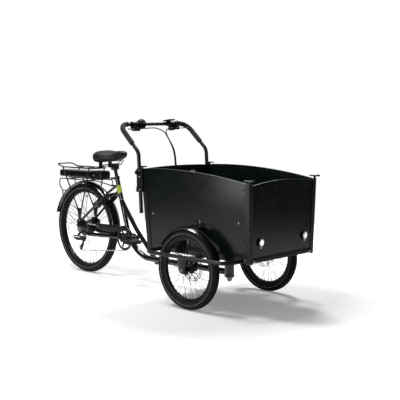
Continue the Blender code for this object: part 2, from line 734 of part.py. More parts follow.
def cranks():
    ring_r = tooth_radius(CHAINRING_TEETH) - CHAIN_HALF - CHAIN_SEAT
    ring = rod((BB_X, CHAIN_Y - 0.0016, BB_Z), (BB_X, CHAIN_Y + 0.0016, BB_Z), ring_r, 36)
    holes = []
    for i in range(5):
        angle = math.radians(72 * i + 36)
        x, z = BB_X + 0.046 * math.cos(angle), BB_Z + 0.046 * math.sin(angle)
        holes.append(rod((x, CHAIN_Y - 0.01, z), (x, CHAIN_Y + 0.01, z), 0.017, 10))
    boss = rod((BB_X, -CRANK_IN_Y - 0.002, BB_Z), (BB_X, CHAIN_Y, BB_Z), 0.024, 16)
    bore = rod((BB_X, -0.09, BB_Z), (BB_X, -0.02, BB_Z), CRANK_AXLE_R + AXLE_FIT, 16)
    right = union(cut(ring, joined(holes)), boss, crank_arm(-1))
    piece("crank_right", cut(right, bore), DARK_STEEL, BB)
    axle = rod((BB_X, -CRANK_OUT_Y + 0.002, BB_Z), (BB_X, CRANK_IN_Y + 0.004, BB_Z), CRANK_AXLE_R, 16)
    piece("crank_left", union(crank_arm(1), axle), DARK_STEEL, BB)


def pedal(word, hand):
    end = crank_end(hand)
    low, high = sorted((hand * (CRANK_OUT_Y + GAP), hand * (2 * PEDAL_Y - CRANK_OUT_Y)))
    body = block((end[0] - 0.047, low, end[2] - 0.012), (end[0] + 0.047, high, end[2] + 0.012))
    windows = []
    for x0, x1 in ((-0.038, -0.014), (0.014, 0.038)):
        near = (end[0] + x0, low + 0.012, end[2] - 0.02)
        windows.append(block(near, (end[0] + x1, high - 0.012, end[2] + 0.02)))
    bore = rod((end[0], low - 0.01, end[2]), (end[0], high + 0.01, end[2]), PEDAL_SPINDLE_R + AXLE_FIT, 12)
    centre = Vector((end[0], (low + high) / 2, end[2]))
    piece("pedal_" + word, cut(body, joined(windows), bore), PLASTIC, centre)


def chain_guard():
    """A plate outside the upper run of the chain, rounded about the chainring, with a lid over it."""
    outer, inner = 0.096, 0.070
    outline = [(0.360, 0.338), (0.186, 0.350), (0.178, 0.3905)]
    for i in range(10):
        angle = math.radians(97 - 12 * i)
        outline.append((BB_X + outer * math.cos(angle), BB_Z + outer * math.sin(angle)))
    for i in range(10):
        angle = math.radians(-11 + 14 * i)
        outline.append((BB_X + inner * math.cos(angle), BB_Z + inner * math.sin(angle)))
    wall = plate(outline, GUARD_Y - 0.0015, GUARD_Y + 0.0015)
    top = [(0.180, 0.3880), (0.180, 0.3900)]
    under = []
    for i in range(6):
        angle = math.radians(97 - 12 * i)
        top.append((BB_X + (outer - 0.0005) * math.cos(angle), BB_Z + (outer - 0.0005) * math.sin(angle)))
        under.append((BB_X + (outer - 0.0030) * math.cos(angle), BB_Z + (outer - 0.0030) * math.sin(angle)))
    lid = plate(top + under[::-1], GUARD_Y, CHAIN_Y + CHAIN_HALF + 0.002)
    tab_at = BB + SEAT_DIR * 0.0967
    tab = rod((tab_at[0], GUARD_Y, tab_at[2]), (tab_at[0], -0.01, tab_at[2]), 0.0028, 8)
    seat = rod(BB, SEAT_TOP, SEAT_TUBE_R + GAP, 16)
    piece("chain_guard", cut(union(wall, lid, tab), seat), PLASTIC)


def derailleur():
    gx, gz = GUIDE_PULLEY
    tx, tz = TENSION_PULLEY
    outline = [(-0.071, gz + 0.022), (-0.020, gz + 0.024), (0.012, gz + 0.024), (0.040, gz + 0.021),
               (0.056, gz + 0.006), (0.040, gz - 0.014), (-0.030, gz - 0.016), (-0.067, gz - 0.006)]
    body = plate(outline, -0.0830, -0.0700)
    knuckle = rod((gx, -0.0725, gz), (gx, CHAIN_Y - 0.0066, gz), 0.011, 12)
    stud = rod((gx, -0.0725, gz), (gx, CHAIN_Y + 0.0075, gz), 0.0040, 10)
    piece("derailleur_body", union(body, knuckle, stud), POWDER, (gx, CHAIN_Y, gz))
    plates = []
    for near, far in ((CHAIN_Y - 0.0062, CHAIN_Y - 0.0048), (CHAIN_Y + 0.0048, CHAIN_Y + 0.0062)):
        shape = []
        run = Vector((tx - gx, 0.0, tz - gz)).normalized()
        across = Vector((-run[2], 0.0, run[0]))
        for centre, turn in (((gx, 0, gz), 90), ((tx, 0, tz), -90)):
            for i in range(7):
                angle = math.radians(turn + 30 * i)
                reach = run * (0.010 * math.cos(angle)) + across * (0.010 * math.sin(angle))
                shape.append(Vector(centre) + reach)
        plates.append(plate([(p[0], p[2]) for p in shape], near, far))
    pulleys = [rod((x, CHAIN_Y - 0.0055, z), (x, CHAIN_Y + 0.0055, z), 0.008, 12)
               for x, z in (GUIDE_PULLEY, TENSION_PULLEY)]
    rings = [rod((x, CHAIN_Y - 0.002, z), (x, CHAIN_Y + 0.002, z), PULLEY_R - 0.0004, 14)
             for x, z in (GUIDE_PULLEY, TENSION_PULLEY)]
    cage = union(plates[0], pulleys[0], pulleys[1], plates[1], rings[0], rings[1])
    hole = rod((gx, -0.08, gz), (gx, -0.03, gz), 0.0040 + GAP, 10)
    piece("derailleur_cage", cut(cage, hole), DARK_STEEL, (gx, CHAIN_Y, gz))


def shift_cable():
    """The loop of cable housing between the chain stay and the derailleur."""
    points = [(0.120, -0.0784, -0.0344), (0.062, -0.0850, -0.0054), (0.020, -0.0872, 0.0166),
              (-0.016, -0.0875, 0.0286), (-0.055, -0.0870, 0.0376), (-0.101, -0.0850, 0.0326),
              (-0.128, -0.0825, -0.0004), (-0.120, -0.0800, -0.0434), (-0.096, -0.0770, -0.0654),
              (-0.0715, -0.0765, -0.0734)]
    points = [(x, y, REAR_TYRE_R + z) for x, y, z in points]
    piece("shift_cable", tube(spline(points, 3), 0.0022, 1), PLASTIC)


# Fenders
def fender_profile(half, radius, wall):
    outer = [(-half, radius - 0.013), (-half * 0.62, radius), (half * 0.62, radius), (half, radius - 0.013)]
    inner = [(y * (1 - wall / half), r - (0 if abs(y) == half else wall)) for y, r in outer]
    return outer + inner[::-1]


def rear_fender():
    axle_z = REAR_TYRE_R
    shell = lathe(fender_profile(0.036, axle_z + 0.0220, 0.0025), REAR_AXLE, 20, -8, 158)
    rods = []
    for hand in (-1, 1):
        start = (-0.0290, hand * (DROPOUT_Y + DROPOUT_T / 2 + GAP + 0.0028), axle_z + 0.0426)
        rods.append(rod(start, (-0.306, hand * 0.0355, axle_z + 0.1776), 0.0025, 6))
    flap = plate([(-0.3230, axle_z + 0.1426), (-0.3440, axle_z + 0.0946), (-0.3480, axle_z + 0.0956),
                  (-0.3285, axle_z + 0.1446)], -0.027, 0.027)
    piece("rear_fender", union(shell, flap, rods[0], rods[1]), PAINT)


def front_fender(word, hand):
    centre = FRONT_AXLE + Vector((0.0, hand * FRONT_TRACK_HALF, 0.0))
    shell = lathe(fender_profile(0.031, FRONT_TYRE_R + 0.014, 0.0025), centre, 16, 17, 150)
    top = 2 * FRONT_TYRE_R
    face = post_y(top + 0.047) - FLANGE_T - GAP + 0.0006
    y0, y1 = sorted((hand * face, hand * (face + 0.003)))
    upright = block((WHEELBASE - 0.004, y0, top + 0.006), (WHEELBASE + 0.046, y1, top + 0.050))
    y0, y1 = sorted((hand * face, hand * (FRONT_TRACK_HALF - 0.018)))
    shelf = block((WHEELBASE - 0.004, y0, top + 0.0065), (WHEELBASE + 0.046, y1, top + 0.0095))
    lip_r = FRONT_TYRE_R + 0.005
    angle = math.asin((LOOP_Z + 0.01415 - FRONT_TYRE_R) / lip_r)
    lip = centre + Vector((lip_r * math.cos(angle), hand * 0.0275, lip_r * math.sin(angle)))
    foot = Vector((lip[0] - 0.004, hand * LOOP_HALF_W, LOOP_Z + LOOP_R + 0.0022))
    strut = rod(lip, foot, 0.0025, 6)
    loop = rod((foot[0] - 0.1, foot[1], LOOP_Z), (foot[0] + 0.1, foot[1], LOOP_Z), LOOP_R + GAP, 16)
    panel = side_slab(hand, GAP)
    piece("front_fender_" + word, cut(union(shell, shelf, upright, strut), loop, panel), PAINT)


# Rack and battery
def rack():
    axle_z = REAR_TYRE_R
    tip, knee = RACK_REAR_X, RACK_REAR_X + 0.075
    loop = [(tip, -RACK_HALF_W, RACK_TOP_Z + RACK_RISE), (knee, -RACK_HALF_W, RACK_TOP_Z),
            (RACK_FRONT_X, -RACK_HALF_W, RACK_TOP_Z), (RACK_FRONT_X, RACK_HALF_W, RACK_TOP_Z),
            (knee, RACK_HALF_W, RACK_TOP_Z), (tip, RACK_HALF_W, RACK_TOP_Z + RACK_RISE)]
    body = tube(ring_path(loop, 0.028, 3), RACK_R, 1, closed=True)
    for x in (-0.06, 0.05):
        body = union(body, rod((x, -RACK_HALF_W, RACK_TOP_Z), (x, RACK_HALF_W, RACK_TOP_Z), 0.003, 8))
    legs = []
    for hand in (-1, 1):
        top_y, low_y = hand * (RACK_LEG_Y - 0.003), hand * RACK_LEG_Y
        legs.append(tube(rounded([(-0.193, top_y, RACK_TOP_Z - 0.002), (-0.014, low_y, axle_z + 0.1506),
                                  (0.001, low_y, axle_z + 0.0546)], 0.05, 2), RACK_R, 1))
        legs.append(tube(rounded([(0.122, top_y, RACK_TOP_Z - 0.002), (0.028, low_y, axle_z + 0.1496),
                                  (0.009, low_y, axle_z + 0.0566)], 0.05, 2), RACK_R, 1))
        y0, y1 = sorted((low_y - hand * 0.002, low_y + hand * 0.003))
        gusset = [(-0.016, axle_z + 0.1566), (0.030, axle_z + 0.1566), (0.020, axle_z + 0.0946),
                  (0.012, axle_z + 0.0526), (-0.004, axle_z + 0.0526), (-0.006, axle_z + 0.0946)]
        legs.append(plate(gusset, y0, y1))
    body = union(body, *legs)
    hoop_r = REAR_TYRE_R + 0.0220 + GAP + RACK_LOW_R + 0.001
    end = (-0.240, 0.0, REAR_TYRE_R + math.sqrt(hoop_r ** 2 - 0.240 ** 2))
    rails = []
    for hand in (-1, 1):
        y = hand * RACK_LOW_Y
        route = [(0.296, hand * 0.003, 0.672), (0.215, y, RACK_LOW_Z), (-0.236, y, RACK_LOW_Z),
                 (-0.236, y, axle_z + 0.3146), (end[0], hand * 0.0425, axle_z + 0.2726),
                 (-0.243, hand * 0.0425, axle_z + 0.2406)]
        rails.append(tube(rounded(route, 0.025, 2), RACK_LOW_R, 1))
    hoop = rod((end[0], -0.0430, end[2]), (end[0], 0.0430, end[2]), RACK_LOW_R - 0.0005, 8)
    body = union(body, rails[0], rails[1], hoop)
    for x in (-0.1427, 0.1010):
        body = union(body, rod((x, -RACK_LOW_Y, RACK_LOW_Z), (x, RACK_LOW_Y, RACK_LOW_Z), RACK_CROSS_R, 8))
    lug = block((0.284, -0.003, 0.664), (0.372, 0.003, 0.680))
    seat = rod(BB, SEAT_TOP, SEAT_TUBE_R + GAP, 16)
    piece("rack", cut(union(body, lug), seat), PAINT)


def battery():
    top = BATTERY_Z0 + BATTERY_H
    case = section_bar(BATTERY_X0, BATTERY_X1 - GAP, BATTERY_HALF_W, BATTERY_Z0 + GAP, top, 0.012)
    piece("battery_case", case, PLASTIC)
    box = section_bar(BATTERY_X1, HOLDER_X1, HOLDER_HALF_W, BATTERY_Z0 - 0.009, top + 0.005, 0.010)
    tray = block((-0.200, -0.021, RACK_LOW_Z + RACK_CROSS_R + GAP), (BATTERY_X1 + 0.01, 0.021, BATTERY_Z0))
    piece("battery_holder", union(box, tray), PLASTIC)


def section_bar(x0, x1, half, z0, z1, chamfer):
    """A long case with its four long edges chamfered and slightly drawn-in ends."""
    rings = []
    for x, shrink in ((x0, 0.005), (x0 + 0.008, 0.0), (x1 - 0.006, 0.0), (x1, 0.003)):
        w, low, high = half - shrink, z0 + (shrink if z0 < z1 else 0), z1 - shrink
        low = z0 if shrink == 0.003 else low
        rings.append([(x, -w + chamfer, low), (x, w - chamfer, low), (x, w, low + chamfer),
                      (x, w, high - chamfer), (x, w - chamfer, high), (x, -w + chamfer, high),
                      (x, -w, high - chamfer), (x, -w, low + chamfer)])
    return loft(rings)


# Saddle
def seatpost():
    """The post with its head, the saddle's rails and the two rear spring units."""
    head = BB + SEAT_DIR * ((0.803 - BB_Z) / SEAT_DIR[2])
    post = rod(BB + SEAT_DIR * 0.28, head, SEATPOST_R, 16)
    clamp = rod((head[0], -0.030, head[2]), (head[0], 0.030, head[2]), 0.0155, 14)
    jaw = block((head[0] - 0.014, -0.030, head[2] + 0.006), (head[0] + 0.014, 0.030, RAIL_Z + 0.004))
    body = union(post, clamp, jaw)
    for hand in (-1, 1):
        y = hand * RAIL_Y
        path = rounded([(0.222, hand * 0.045, 0.812), (0.255, y, RAIL_Z), (0.370, y, RAIL_Z),
                        (0.412, hand * 0.010, SADDLE_BOTTOM_Z + 0.024)], 0.02, 2)
        spring = rod((0.222, hand * 0.045, 0.800), (0.222, hand * 0.045, SADDLE_BOTTOM_Z + 0.012), 0.016, 14)
        body = union(body, tube(path, 0.0035, 2), spring)
    body = union(body, rod((0.222, -0.045, 0.811), (0.222, 0.045, 0.811), 0.0035, 8))
    piece("seatpost", cut(body, saddle_mesh(GAP)), DARK_STEEL)


def saddle_mesh(grow=0.0):
    """Cushion: wide domed rear with drawn-in sides, narrowing to a rounded nose."""
    rings = []
    stations = 16
    for i in range(stations + 1):
        t = i / stations
        x = SADDLE_REAR_X - grow + (SADDLE_LENGTH + 2 * grow) * (0.5 - 0.5 * math.cos(math.pi * t))
        u = (x - SADDLE_REAR_X) / SADDLE_LENGTH
        taper = 1 / (1 + math.exp((u - 0.50) * 12))
        half = NOSE_HALF_W + (SADDLE_HALF_W - NOSE_HALF_W) * taper
        ends = max(0.0, 1 - ((u - 0.5) / 0.5) ** 2)
        half = half * min(1.0, ends * (5 if u < 0.5 else 7)) ** 0.5 + grow + 0.002
        dip = 0.008 * math.exp(-((u - 0.55) / 0.22) ** 2)
        top = SADDLE_TOP_Z - dip + 0.008 * u
        bottom = SADDLE_BOTTOM_Z + NOSE_RISE * u
        height = (top - bottom) * min(1.0, (ends * (9 if u < 0.5 else 4.5)) ** 0.5)
        middle = bottom + (top - bottom) * 0.50
        ring = []
        for k in range(18):
            angle = 2 * math.pi * (k + 0.5) / 18
            c, s = math.cos(angle), math.sin(angle)
            wide = math.copysign(abs(c) ** 0.62, c) * (1.0 - 0.10 * max(0.0, -s))
            tall = math.copysign(abs(s) ** (0.80 if s > 0 else 0.55), s)
            ring.append((x, half * wide, middle + (height / 2 + grow) * tall))
        rings.append(ring)
    return loft(rings)


def clamp_pivot():
    return Vector((SEAT_TUBE_TOP_X - 0.026, -0.0265, SEAT_TUBE_TOP_Z - 0.014))


def clamp_lever():
    """The quick-release lever beside the seat tube's collar."""
    x, y, z = clamp_pivot()
    cam = rod((x, y, z - 0.007), (x, y, z + 0.007), 0.008, 12)
    arm = block((x, y - 0.0040, z - 0.004), (x + 0.050, y + 0.0010, z + 0.004))
    piece("seat_clamp_lever", union(cam, arm), STEEL, (x, y, z))


def ring_lock():
    """A horseshoe lock on the seat stays, round the tyre and fender, with a key barrel."""
    run = (Vector(STAY_KNEE) - Vector(STAY_FOOT))
    run = Vector((run[0], 0.0, run[2])).normalized()
    normal = Vector((-run[2], 0.0, run[0]))
    outer, inner, centre = 0.056, 0.038, 0.375
    outline = []
    for i in range(11):
        angle = math.radians(-90 + 18 * i)
        outline.append((centre + outer * math.cos(angle), outer * math.sin(angle)))
    outline += [(0.262, outer), (0.262, inner)]
    for i in range(11):
        angle = math.radians(90 - 18 * i)
        outline.append((centre + inner * math.cos(angle), inner * math.sin(angle)))
    outline += [(0.262, -inner), (0.262, -outer)]
    low, high = 0.0120, 0.0330
    shape = loft([[(s, y, low) for s, y in outline], [(s, y, high) for s, y in outline]])
    barrel = rod((0.335, -outer + 0.004, 0.0225), (0.335, -outer - 0.013, 0.0225), 0.0095, 14)
    frame = Matrix((run, (0.0, 1.0, 0.0), normal)).transposed().to_4x4()
    frame.translation = REAR_AXLE
    lug = block((0.3845, -0.042, 0.030), (0.3975, 0.042, 0.0385))
    mesh = union(shape, barrel, lug)
    mesh.transform(frame)
    arms = []
    for hand in (-1, 1):
        path = rounded([side(STAY_TOP, hand), side(STAY_KNEE, hand), side(STAY_FOOT, hand)], 0.08, 3)
        arms.append(tube(path, SEAT_STAY_R + GAP, 2))
    piece("ring_lock", cut(mesh, arms[0], arms[1], stay_bridge(GAP)), PLASTIC)


# Chassis of the steered front
def chassis_loop():
    """The outer tube round both wheels, with each wheel's outer plate, fixed axle and nuts."""
    corners = [(LOOP_REAR_X, LOOP_HALF_W), (LOOP_FRONT_X, LOOP_HALF_W), (LOOP_FRONT_X, -LOOP_HALF_W),
               (LOOP_REAR_X, -LOOP_HALF_W)]
    points = [(x, y, LOOP_Z) for x, y in corners]
    body = tube(ring_path(points, LOOP_CORNER_R, 4), LOOP_R, 2, closed=True)
    for hand in (-1, 1):
        y0, y1 = sorted((hand * LOOP_HALF_W, hand * (LOOP_HALF_W + HUB_PLATE_T)))
        foot_z = FRONT_TYRE_R - 0.017
        outline = [(WHEELBASE - 0.040, LOOP_Z + 0.002), (WHEELBASE - 0.022, foot_z),
                   (WHEELBASE + 0.022, foot_z), (WHEELBASE + 0.040, LOOP_Z + 0.002)]
        plate_mesh = plate(outline, y0, y1)
        inner = INNER_PLATE_Y - NUT_H
        axle = rod((WHEELBASE, hand * inner, FRONT_TYRE_R),
                   (WHEELBASE, hand * (LOOP_HALF_W + 0.018), FRONT_TYRE_R), AXLE_R, 12)
        nuts = [rod((WHEELBASE, hand * (inner - 0.001), FRONT_TYRE_R),
                    (WHEELBASE, hand * (INNER_PLATE_Y - GAP), FRONT_TYRE_R), NUT_R, 6),
                rod((WHEELBASE, hand * (LOOP_HALF_W + HUB_PLATE_T - 0.001), FRONT_TYRE_R),
                    (WHEELBASE, hand * (LOOP_HALF_W + HUB_PLATE_T + NUT_H), FRONT_TYRE_R), NUT_R, 6)]
        body = union(body, plate_mesh, axle, nuts[0], nuts[1])
    piece("chassis_loop", body, PAINT)


INNER_PLATE_Y = FRONT_TRACK_HALF - FRONT_HUB_HALF - GAP - HUB_PLATE_T


def undercarriage():
    """Inner rails, axle beam and kingpin with its nut, and each wheel's inner plate and caliper."""
    beam = block((WHEELBASE - BEAM_HALF, -INNER_RAIL_Y, BEAM_Z0),
                 (WHEELBASE + BEAM_HALF, INNER_RAIL_Y, FLOOR_Z - GAP))
    race = rod((WHEELBASE, 0, HEAD_TOP_Z + GAP), (WHEELBASE, 0, BEAM_Z0 + 0.004), HEAD_R - 0.003, 20)
    pin = rod((WHEELBASE, 0, 0.122), (WHEELBASE, 0, BEAM_Z0 + 0.006), KINGPIN_R, 16)
    nut = rod((WHEELBASE, 0, 0.128), (WHEELBASE, 0, HEAD_BOTTOM_Z - GAP), 0.018, 6)
    body = union(beam, race, pin, nut)
    for hand in (-1, 1):
        rail_y = hand * INNER_RAIL_Y
        rail = rod((LOOP_REAR_X, rail_y, LOOP_Z), (LOOP_FRONT_X, rail_y, LOOP_Z), LOOP_R, 12)
        foot_z = LOOP_Z - LOOP_R - 0.0006
        y0, y1 = sorted((hand * (INNER_RAIL_Y - 0.003), hand * (INNER_PLATE_Y + HUB_PLATE_T)))
        shelf = block((WHEELBASE - 0.034, y0, foot_z - 0.005), (WHEELBASE + 0.034, y1, foot_z))
        y0, y1 = sorted((hand * (INNER_RAIL_Y - 0.008), hand * (INNER_RAIL_Y + 0.008)))
        weld = block((WHEELBASE - 0.034, y0, foot_z - 0.005), (WHEELBASE + 0.034, y1, LOOP_Z))
        y0, y1 = sorted((hand * INNER_PLATE_Y, hand * (INNER_PLATE_Y + HUB_PLATE_T)))
        toe_z = FRONT_TYRE_R - 0.017
        outline = [(WHEELBASE - 0.034, foot_z), (WHEELBASE - 0.070, FRONT_TYRE_R + 0.051),
                   (WHEELBASE - 0.070, FRONT_TYRE_R + 0.023), (WHEELBASE - 0.022, toe_z),
                   (WHEELBASE + 0.022, toe_z), (WHEELBASE + 0.034, foot_z)]
        inner = plate(outline, y0, y1)
        disc_y = FRONT_TRACK_HALF - DISC_OFFSET
        y0, y1 = sorted((hand * (INNER_PLATE_Y + 0.001), hand * (disc_y + 0.011)))
        caliper = block((WHEELBASE - 0.092, y0, FRONT_TYRE_R + 0.013),
                        (WHEELBASE - 0.048, y1, FRONT_TYRE_R + 0.057))
        y0, y1 = sorted((hand * (disc_y - 0.0016), hand * (disc_y + 0.0016)))
        slot = rod((WHEELBASE, y0, FRONT_TYRE_R), (WHEELBASE, y1, FRONT_TYRE_R), DISC_R + 0.002, 36)
        hole = rod((WHEELBASE, hand * (INNER_PLATE_Y - 0.032), FRONT_TYRE_R),
                   (WHEELBASE, hand * (INNER_PLATE_Y + 0.023), FRONT_TYRE_R), AXLE_R + AXLE_FIT, 12)
        body = union(body, rail, weld, shelf, inner, cut(caliper, slot))
        body = cut(body, hole)
    cross = [rod((x, -0.5, LOOP_Z), (x, 0.5, LOOP_Z), LOOP_R + GAP, 16) for x in (LOOP_REAR_X, LOOP_FRONT_X)]
    piece("undercarriage", cut(body, cross[0], cross[1]), PAINT, (WHEELBASE, 0, 0))


# Cargo box
def lerp(pair, span, z):
    return pair[0] + (pair[1] - pair[0]) * (z - span[0]) / (span[1] - span[0])


def post_y(z):
    return lerp(POST_Y, POST_Y_Z, z)


def post_rear_x(z):
    return lerp(POST_REAR_X, POST_REAR_Z, z)


def post_front_x(z):
    return lerp(POST_FRONT_X, POST_FRONT_Z, z)


def side_face_y(z):
    return post_y(z) - FLANGE_T - GAP


def side_slab(hand, grow=0.0):
    """The side panel's outline between the posts, with its outer face at the given growth."""
    low, rear_top, front_top = PANEL_BOTTOM_Z, POST_REAR_Z[1], POST_FRONT_Z[1]
    inset = POST_CORE + GAP
    outline = [(post_rear_x(low) + inset, low)]
    for x in (LOOP_REAR_X, LOOP_FRONT_X):
        slot = LOOP_R + GAP
        crest = LOOP_Z + slot + 0.0002
        outline += [(x - slot, low), (x - slot, LOOP_Z + slot * 0.4), (x - slot * 0.4, crest),
                    (x + slot * 0.4, crest), (x + slot, LOOP_Z + slot * 0.4), (x + slot, low)]
    outline += [(post_front_x(low) - inset, low), (post_front_x(front_top) - inset, front_top - 0.004)]
    start, end = post_front_x(front_top) - inset - 0.012, post_rear_x(rear_top) + inset
    for i in range(11):
        x = start + (end - start) * i / 10
        outline.append((x, SIDE_CROWN_Z - SIDE_CURVE * (x - SIDE_CROWN_X) ** 2))
    rings = []
    for inward in (-grow, PANEL_T):
        rings.append([(x, hand * (side_face_y(z) - inward), z) for x, z in outline])
    return loft(rings)


def end_panel(crown, curve, face_x, low, inward):
    """The front or rear panel: straight sides between the posts and an arched top edge."""
    def half(z):
        return post_y(z) - POST_CORE - GAP

    edge = crown - curve * half(crown) ** 2
    outline = [(-half(low), low), (half(low), low)]
    for i in range(9):
        y = half(edge) * (1 - i / 4)
        outline.append((y, crown - curve * y * y))
    rings = [[(face_x(z) + step, y, z) for y, z in outline] for step in (0.0, inward * PANEL_T)]
    return loft(rings)


def box_floor():
    """The floor board with the dark rail under the front panel's edge."""
    def rear(z):
        return post_rear_x(z) + FLANGE_T + GAP + PANEL_T + GAP

    def front(z):
        return post_front_x(z) - FLANGE_T - GAP - PANEL_T - GAP

    half = post_y(PANEL_BOTTOM_Z) - POST_CORE - GAP
    top = FLOOR_Z + FLOOR_T
    board = block((rear(FLOOR_Z), -half, FLOOR_Z), (front(FLOOR_Z), half, top))
    rail_x = front(FLOOR_Z) - 0.004
    rail = block((rail_x, -half, PANEL_BOTTOM_Z + 0.010), (rail_x + 0.014, half, top + 0.0024))
    piece("box_floor", union(board, rail), PLYWOOD)


def box_panels():
    for word, hand in (("right", -1), ("left", 1)):
        piece("panel_" + word, side_slab(hand), PLYWOOD)
    rear = end_panel(REAR_CROWN_Z, REAR_CURVE, lambda z: post_rear_x(z) + FLANGE_T + GAP, PANEL_BOTTOM_Z, 1)
    piece("panel_rear", rear, PLYWOOD)
    low = FLOOR_Z + FLOOR_T + 0.0024 + GAP
    front = end_panel(FRONT_CROWN_Z, FRONT_CURVE, lambda z: post_front_x(z) - FLANGE_T - GAP, low, -1)
    piece("panel_front", front, PLYWOOD)


def corner_post(word, end, hand):
    """An angle profile with a solid core at its corner, a neck and a tie-down bar on top."""
    face_x, span = (post_front_x, POST_FRONT_Z) if end > 0 else (post_rear_x, POST_REAR_Z)
    c, t, f = POST_CORE, FLANGE_T, FLANGE_L if end > 0 else REAR_FLANGE_L
    section = [(0.004, 0.0), (f, 0.0), (f, t), (c, t), (c, c), (t, c), (t, f), (0.0, f), (0.0, 0.004)]
    rings = []
    for z in span:
        rings.append([(face_x(z) - end * a, hand * (post_y(z) - b), z) for a, b in section])
    top = span[1]
    x, y = face_x(top) - end * POST_CORE / 2, hand * (post_y(top) - POST_CORE / 2)
    neck = rod((x, y, top - 0.003), (x, y, top + 0.016), POST_CORE / 2 - 0.0004, 12)
    half, w = CAP_LENGTH / 2, CAP_WIDTH / 2
    shape = [(-half, -w + 0.006), (-half + 0.006, -w), (half - 0.006, -w), (half, -w + 0.006),
             (half, w - 0.006), (half - 0.006, w), (-half + 0.006, w), (-half, w - 0.006)]
    low, high = top + 0.014, top + 0.014 + CAP_T
    bar = loft([[(x + a, y + b, low) for a, b in shape], [(x + a, y + b, high) for a, b in shape]])
    tip = end * (half - 0.004)
    x0, x1 = sorted((x + tip, x + tip - end * 0.008))
    lip = block((x0, y - w + 0.007, high - 0.001), (x1, y + w - 0.007, high + 0.004))
    body = union(loft(rings), neck, bar, lip)
    if end < 0:
        body = with_bar_clamps(body, hand)
    piece("post_" + word, body, POWDER)


def leg_x(z):
    return lerp((LEG_BOTTOM[0], LEG_TOP[0]), (LEG_BOTTOM[2], LEG_TOP[2]), z)


def with_bar_clamps(body, hand):
    """Two split blocks on a rear post hold one leg of the handlebar."""
    for z in CLAMP_Z:
        x0 = leg_x(z) - CLAMP_HALF_W
        x1 = post_rear_x(z + CLAMP_H / 2) + 0.002
        leg_y = LEG_BOTTOM[1]
        y0, y1 = sorted((hand * (leg_y - CLAMP_HALF_W), hand * (leg_y + CLAMP_HALF_W)))
        grip = block((x0, y0, z - CLAMP_H / 2), (x1, y1, z + CLAMP_H / 2))
        body = union(body, grip)
    y0, y1 = sorted((hand * (LEG_Y + 0.0135), hand * (LEG_Y + 0.0172)))
    joiner = block((leg_x(0.77) - 0.012, y0, 0.694), (post_rear_x(0.77) + 0.022, y1, 0.842))
    y0, y1 = sorted((hand * (LEG_Y + 0.0015), hand * (LEG_Y + 0.0150)))
    spacer = block((post_rear_x(0.77) + 0.004, y0, 0.755), (post_rear_x(0.77) + 0.018, y1, 0.785))
    body = union(body, joiner, spacer)
    direction = (Vector(LEG_TOP) - Vector(LEG_BOTTOM)).normalized()
    start = side(LEG_BOTTOM, hand) - direction * 0.02
    leg = rod(start, start + direction * 0.5, BAR_R + BAR_FIT, 16)
    return cut(body, leg)


def clamp_knob(word, hand):
    z = CLAMP_Z[1]
    face = LEG_BOTTOM[1] + CLAMP_HALF_W + GAP
    x = leg_x(z)
    boss = rod((x, hand * face, z), (x, hand * (face + 0.008), z), 0.0060, 12)
    y0, y1 = hand * (face + 0.005), hand * (face + 0.019)
    grip = rod((x, y0, z), (x, y1, z), KNOB_R, 8, end_radius=KNOB_R - 0.002)
    piece("clamp_knob_" + word, union(boss, grip), PLASTIC, (x, hand * face, z))


def headlight(word, hand):
    face = post_front_x(LAMP_Z + LAMP_R) - FLANGE_T
    centre = Vector((face, hand * LAMP_Y, LAMP_Z))
    ahead = Vector((1.0, 0.0, 0.0))
    body = rod(centre, centre + ahead * 0.010, LAMP_R, 20, end_radius=LAMP_R - 0.002)
    start, end = centre + ahead * 0.009, centre + ahead * 0.0135
    glass = rod(start, end, LAMP_R - 0.005, 20, end_radius=LAMP_R - 0.010)
    foot = block((face, centre[1] - 0.008, LAMP_Z - 0.036), (face + 0.006, centre[1] + 0.008, LAMP_Z - 0.018))
    piece("headlight_" + word, union(body, glass, foot), LENS)


# Handlebar and controls
def bar_path():
    right = [side(p, -1) for p in (LEG_BOTTOM, LEG_TOP, BAR_CORNER)]
    left = [side(p, 1) for p in (BAR_CORNER, LEG_TOP, LEG_BOTTOM)]
    return rounded([*right, *left], BAR_BEND_R, 4)


def handlebar():
    piece("handlebar", tube(bar_path(), BAR_R, 3), PAINT)


def grip(word, hand):
    start = along(BAR_CORNER, LEG_TOP, 0.70)
    points = [side(start, hand), side(BAR_CORNER, hand), (BAR_X, 0.0, BAR_Z)]
    path = rounded(points, BAR_BEND_R, 4)
    limit = hand * GRIP_INNER_Y
    y0, y1 = sorted((limit, -hand * 0.5))
    trim = block((BAR_X - 0.1, y0, BAR_Z - 0.1), (BAR_X + 0.1, y1, BAR_Z + 0.1))
    outer = tube(path, GRIP_R, 3)
    core = tube(bar_path(), BAR_R + BAR_FIT, 3)
    piece("grip_" + word, cut(outer, trim, core), FOAM)


def ring_on_bar(y0, y1, radius, sides=14):
    return rod((BAR_X, y0, BAR_Z), (BAR_X, y1, BAR_Z), radius, sides)


def bar_bore():
    return rod((BAR_X, -GRIP_INNER_Y, BAR_Z), (BAR_X, GRIP_INNER_Y, BAR_Z), BAR_R + BAR_FIT, 16)


def lever_pivot(hand):
    return Vector((BAR_X + 0.034, hand * LEVER_Y, BAR_Z - 0.030))


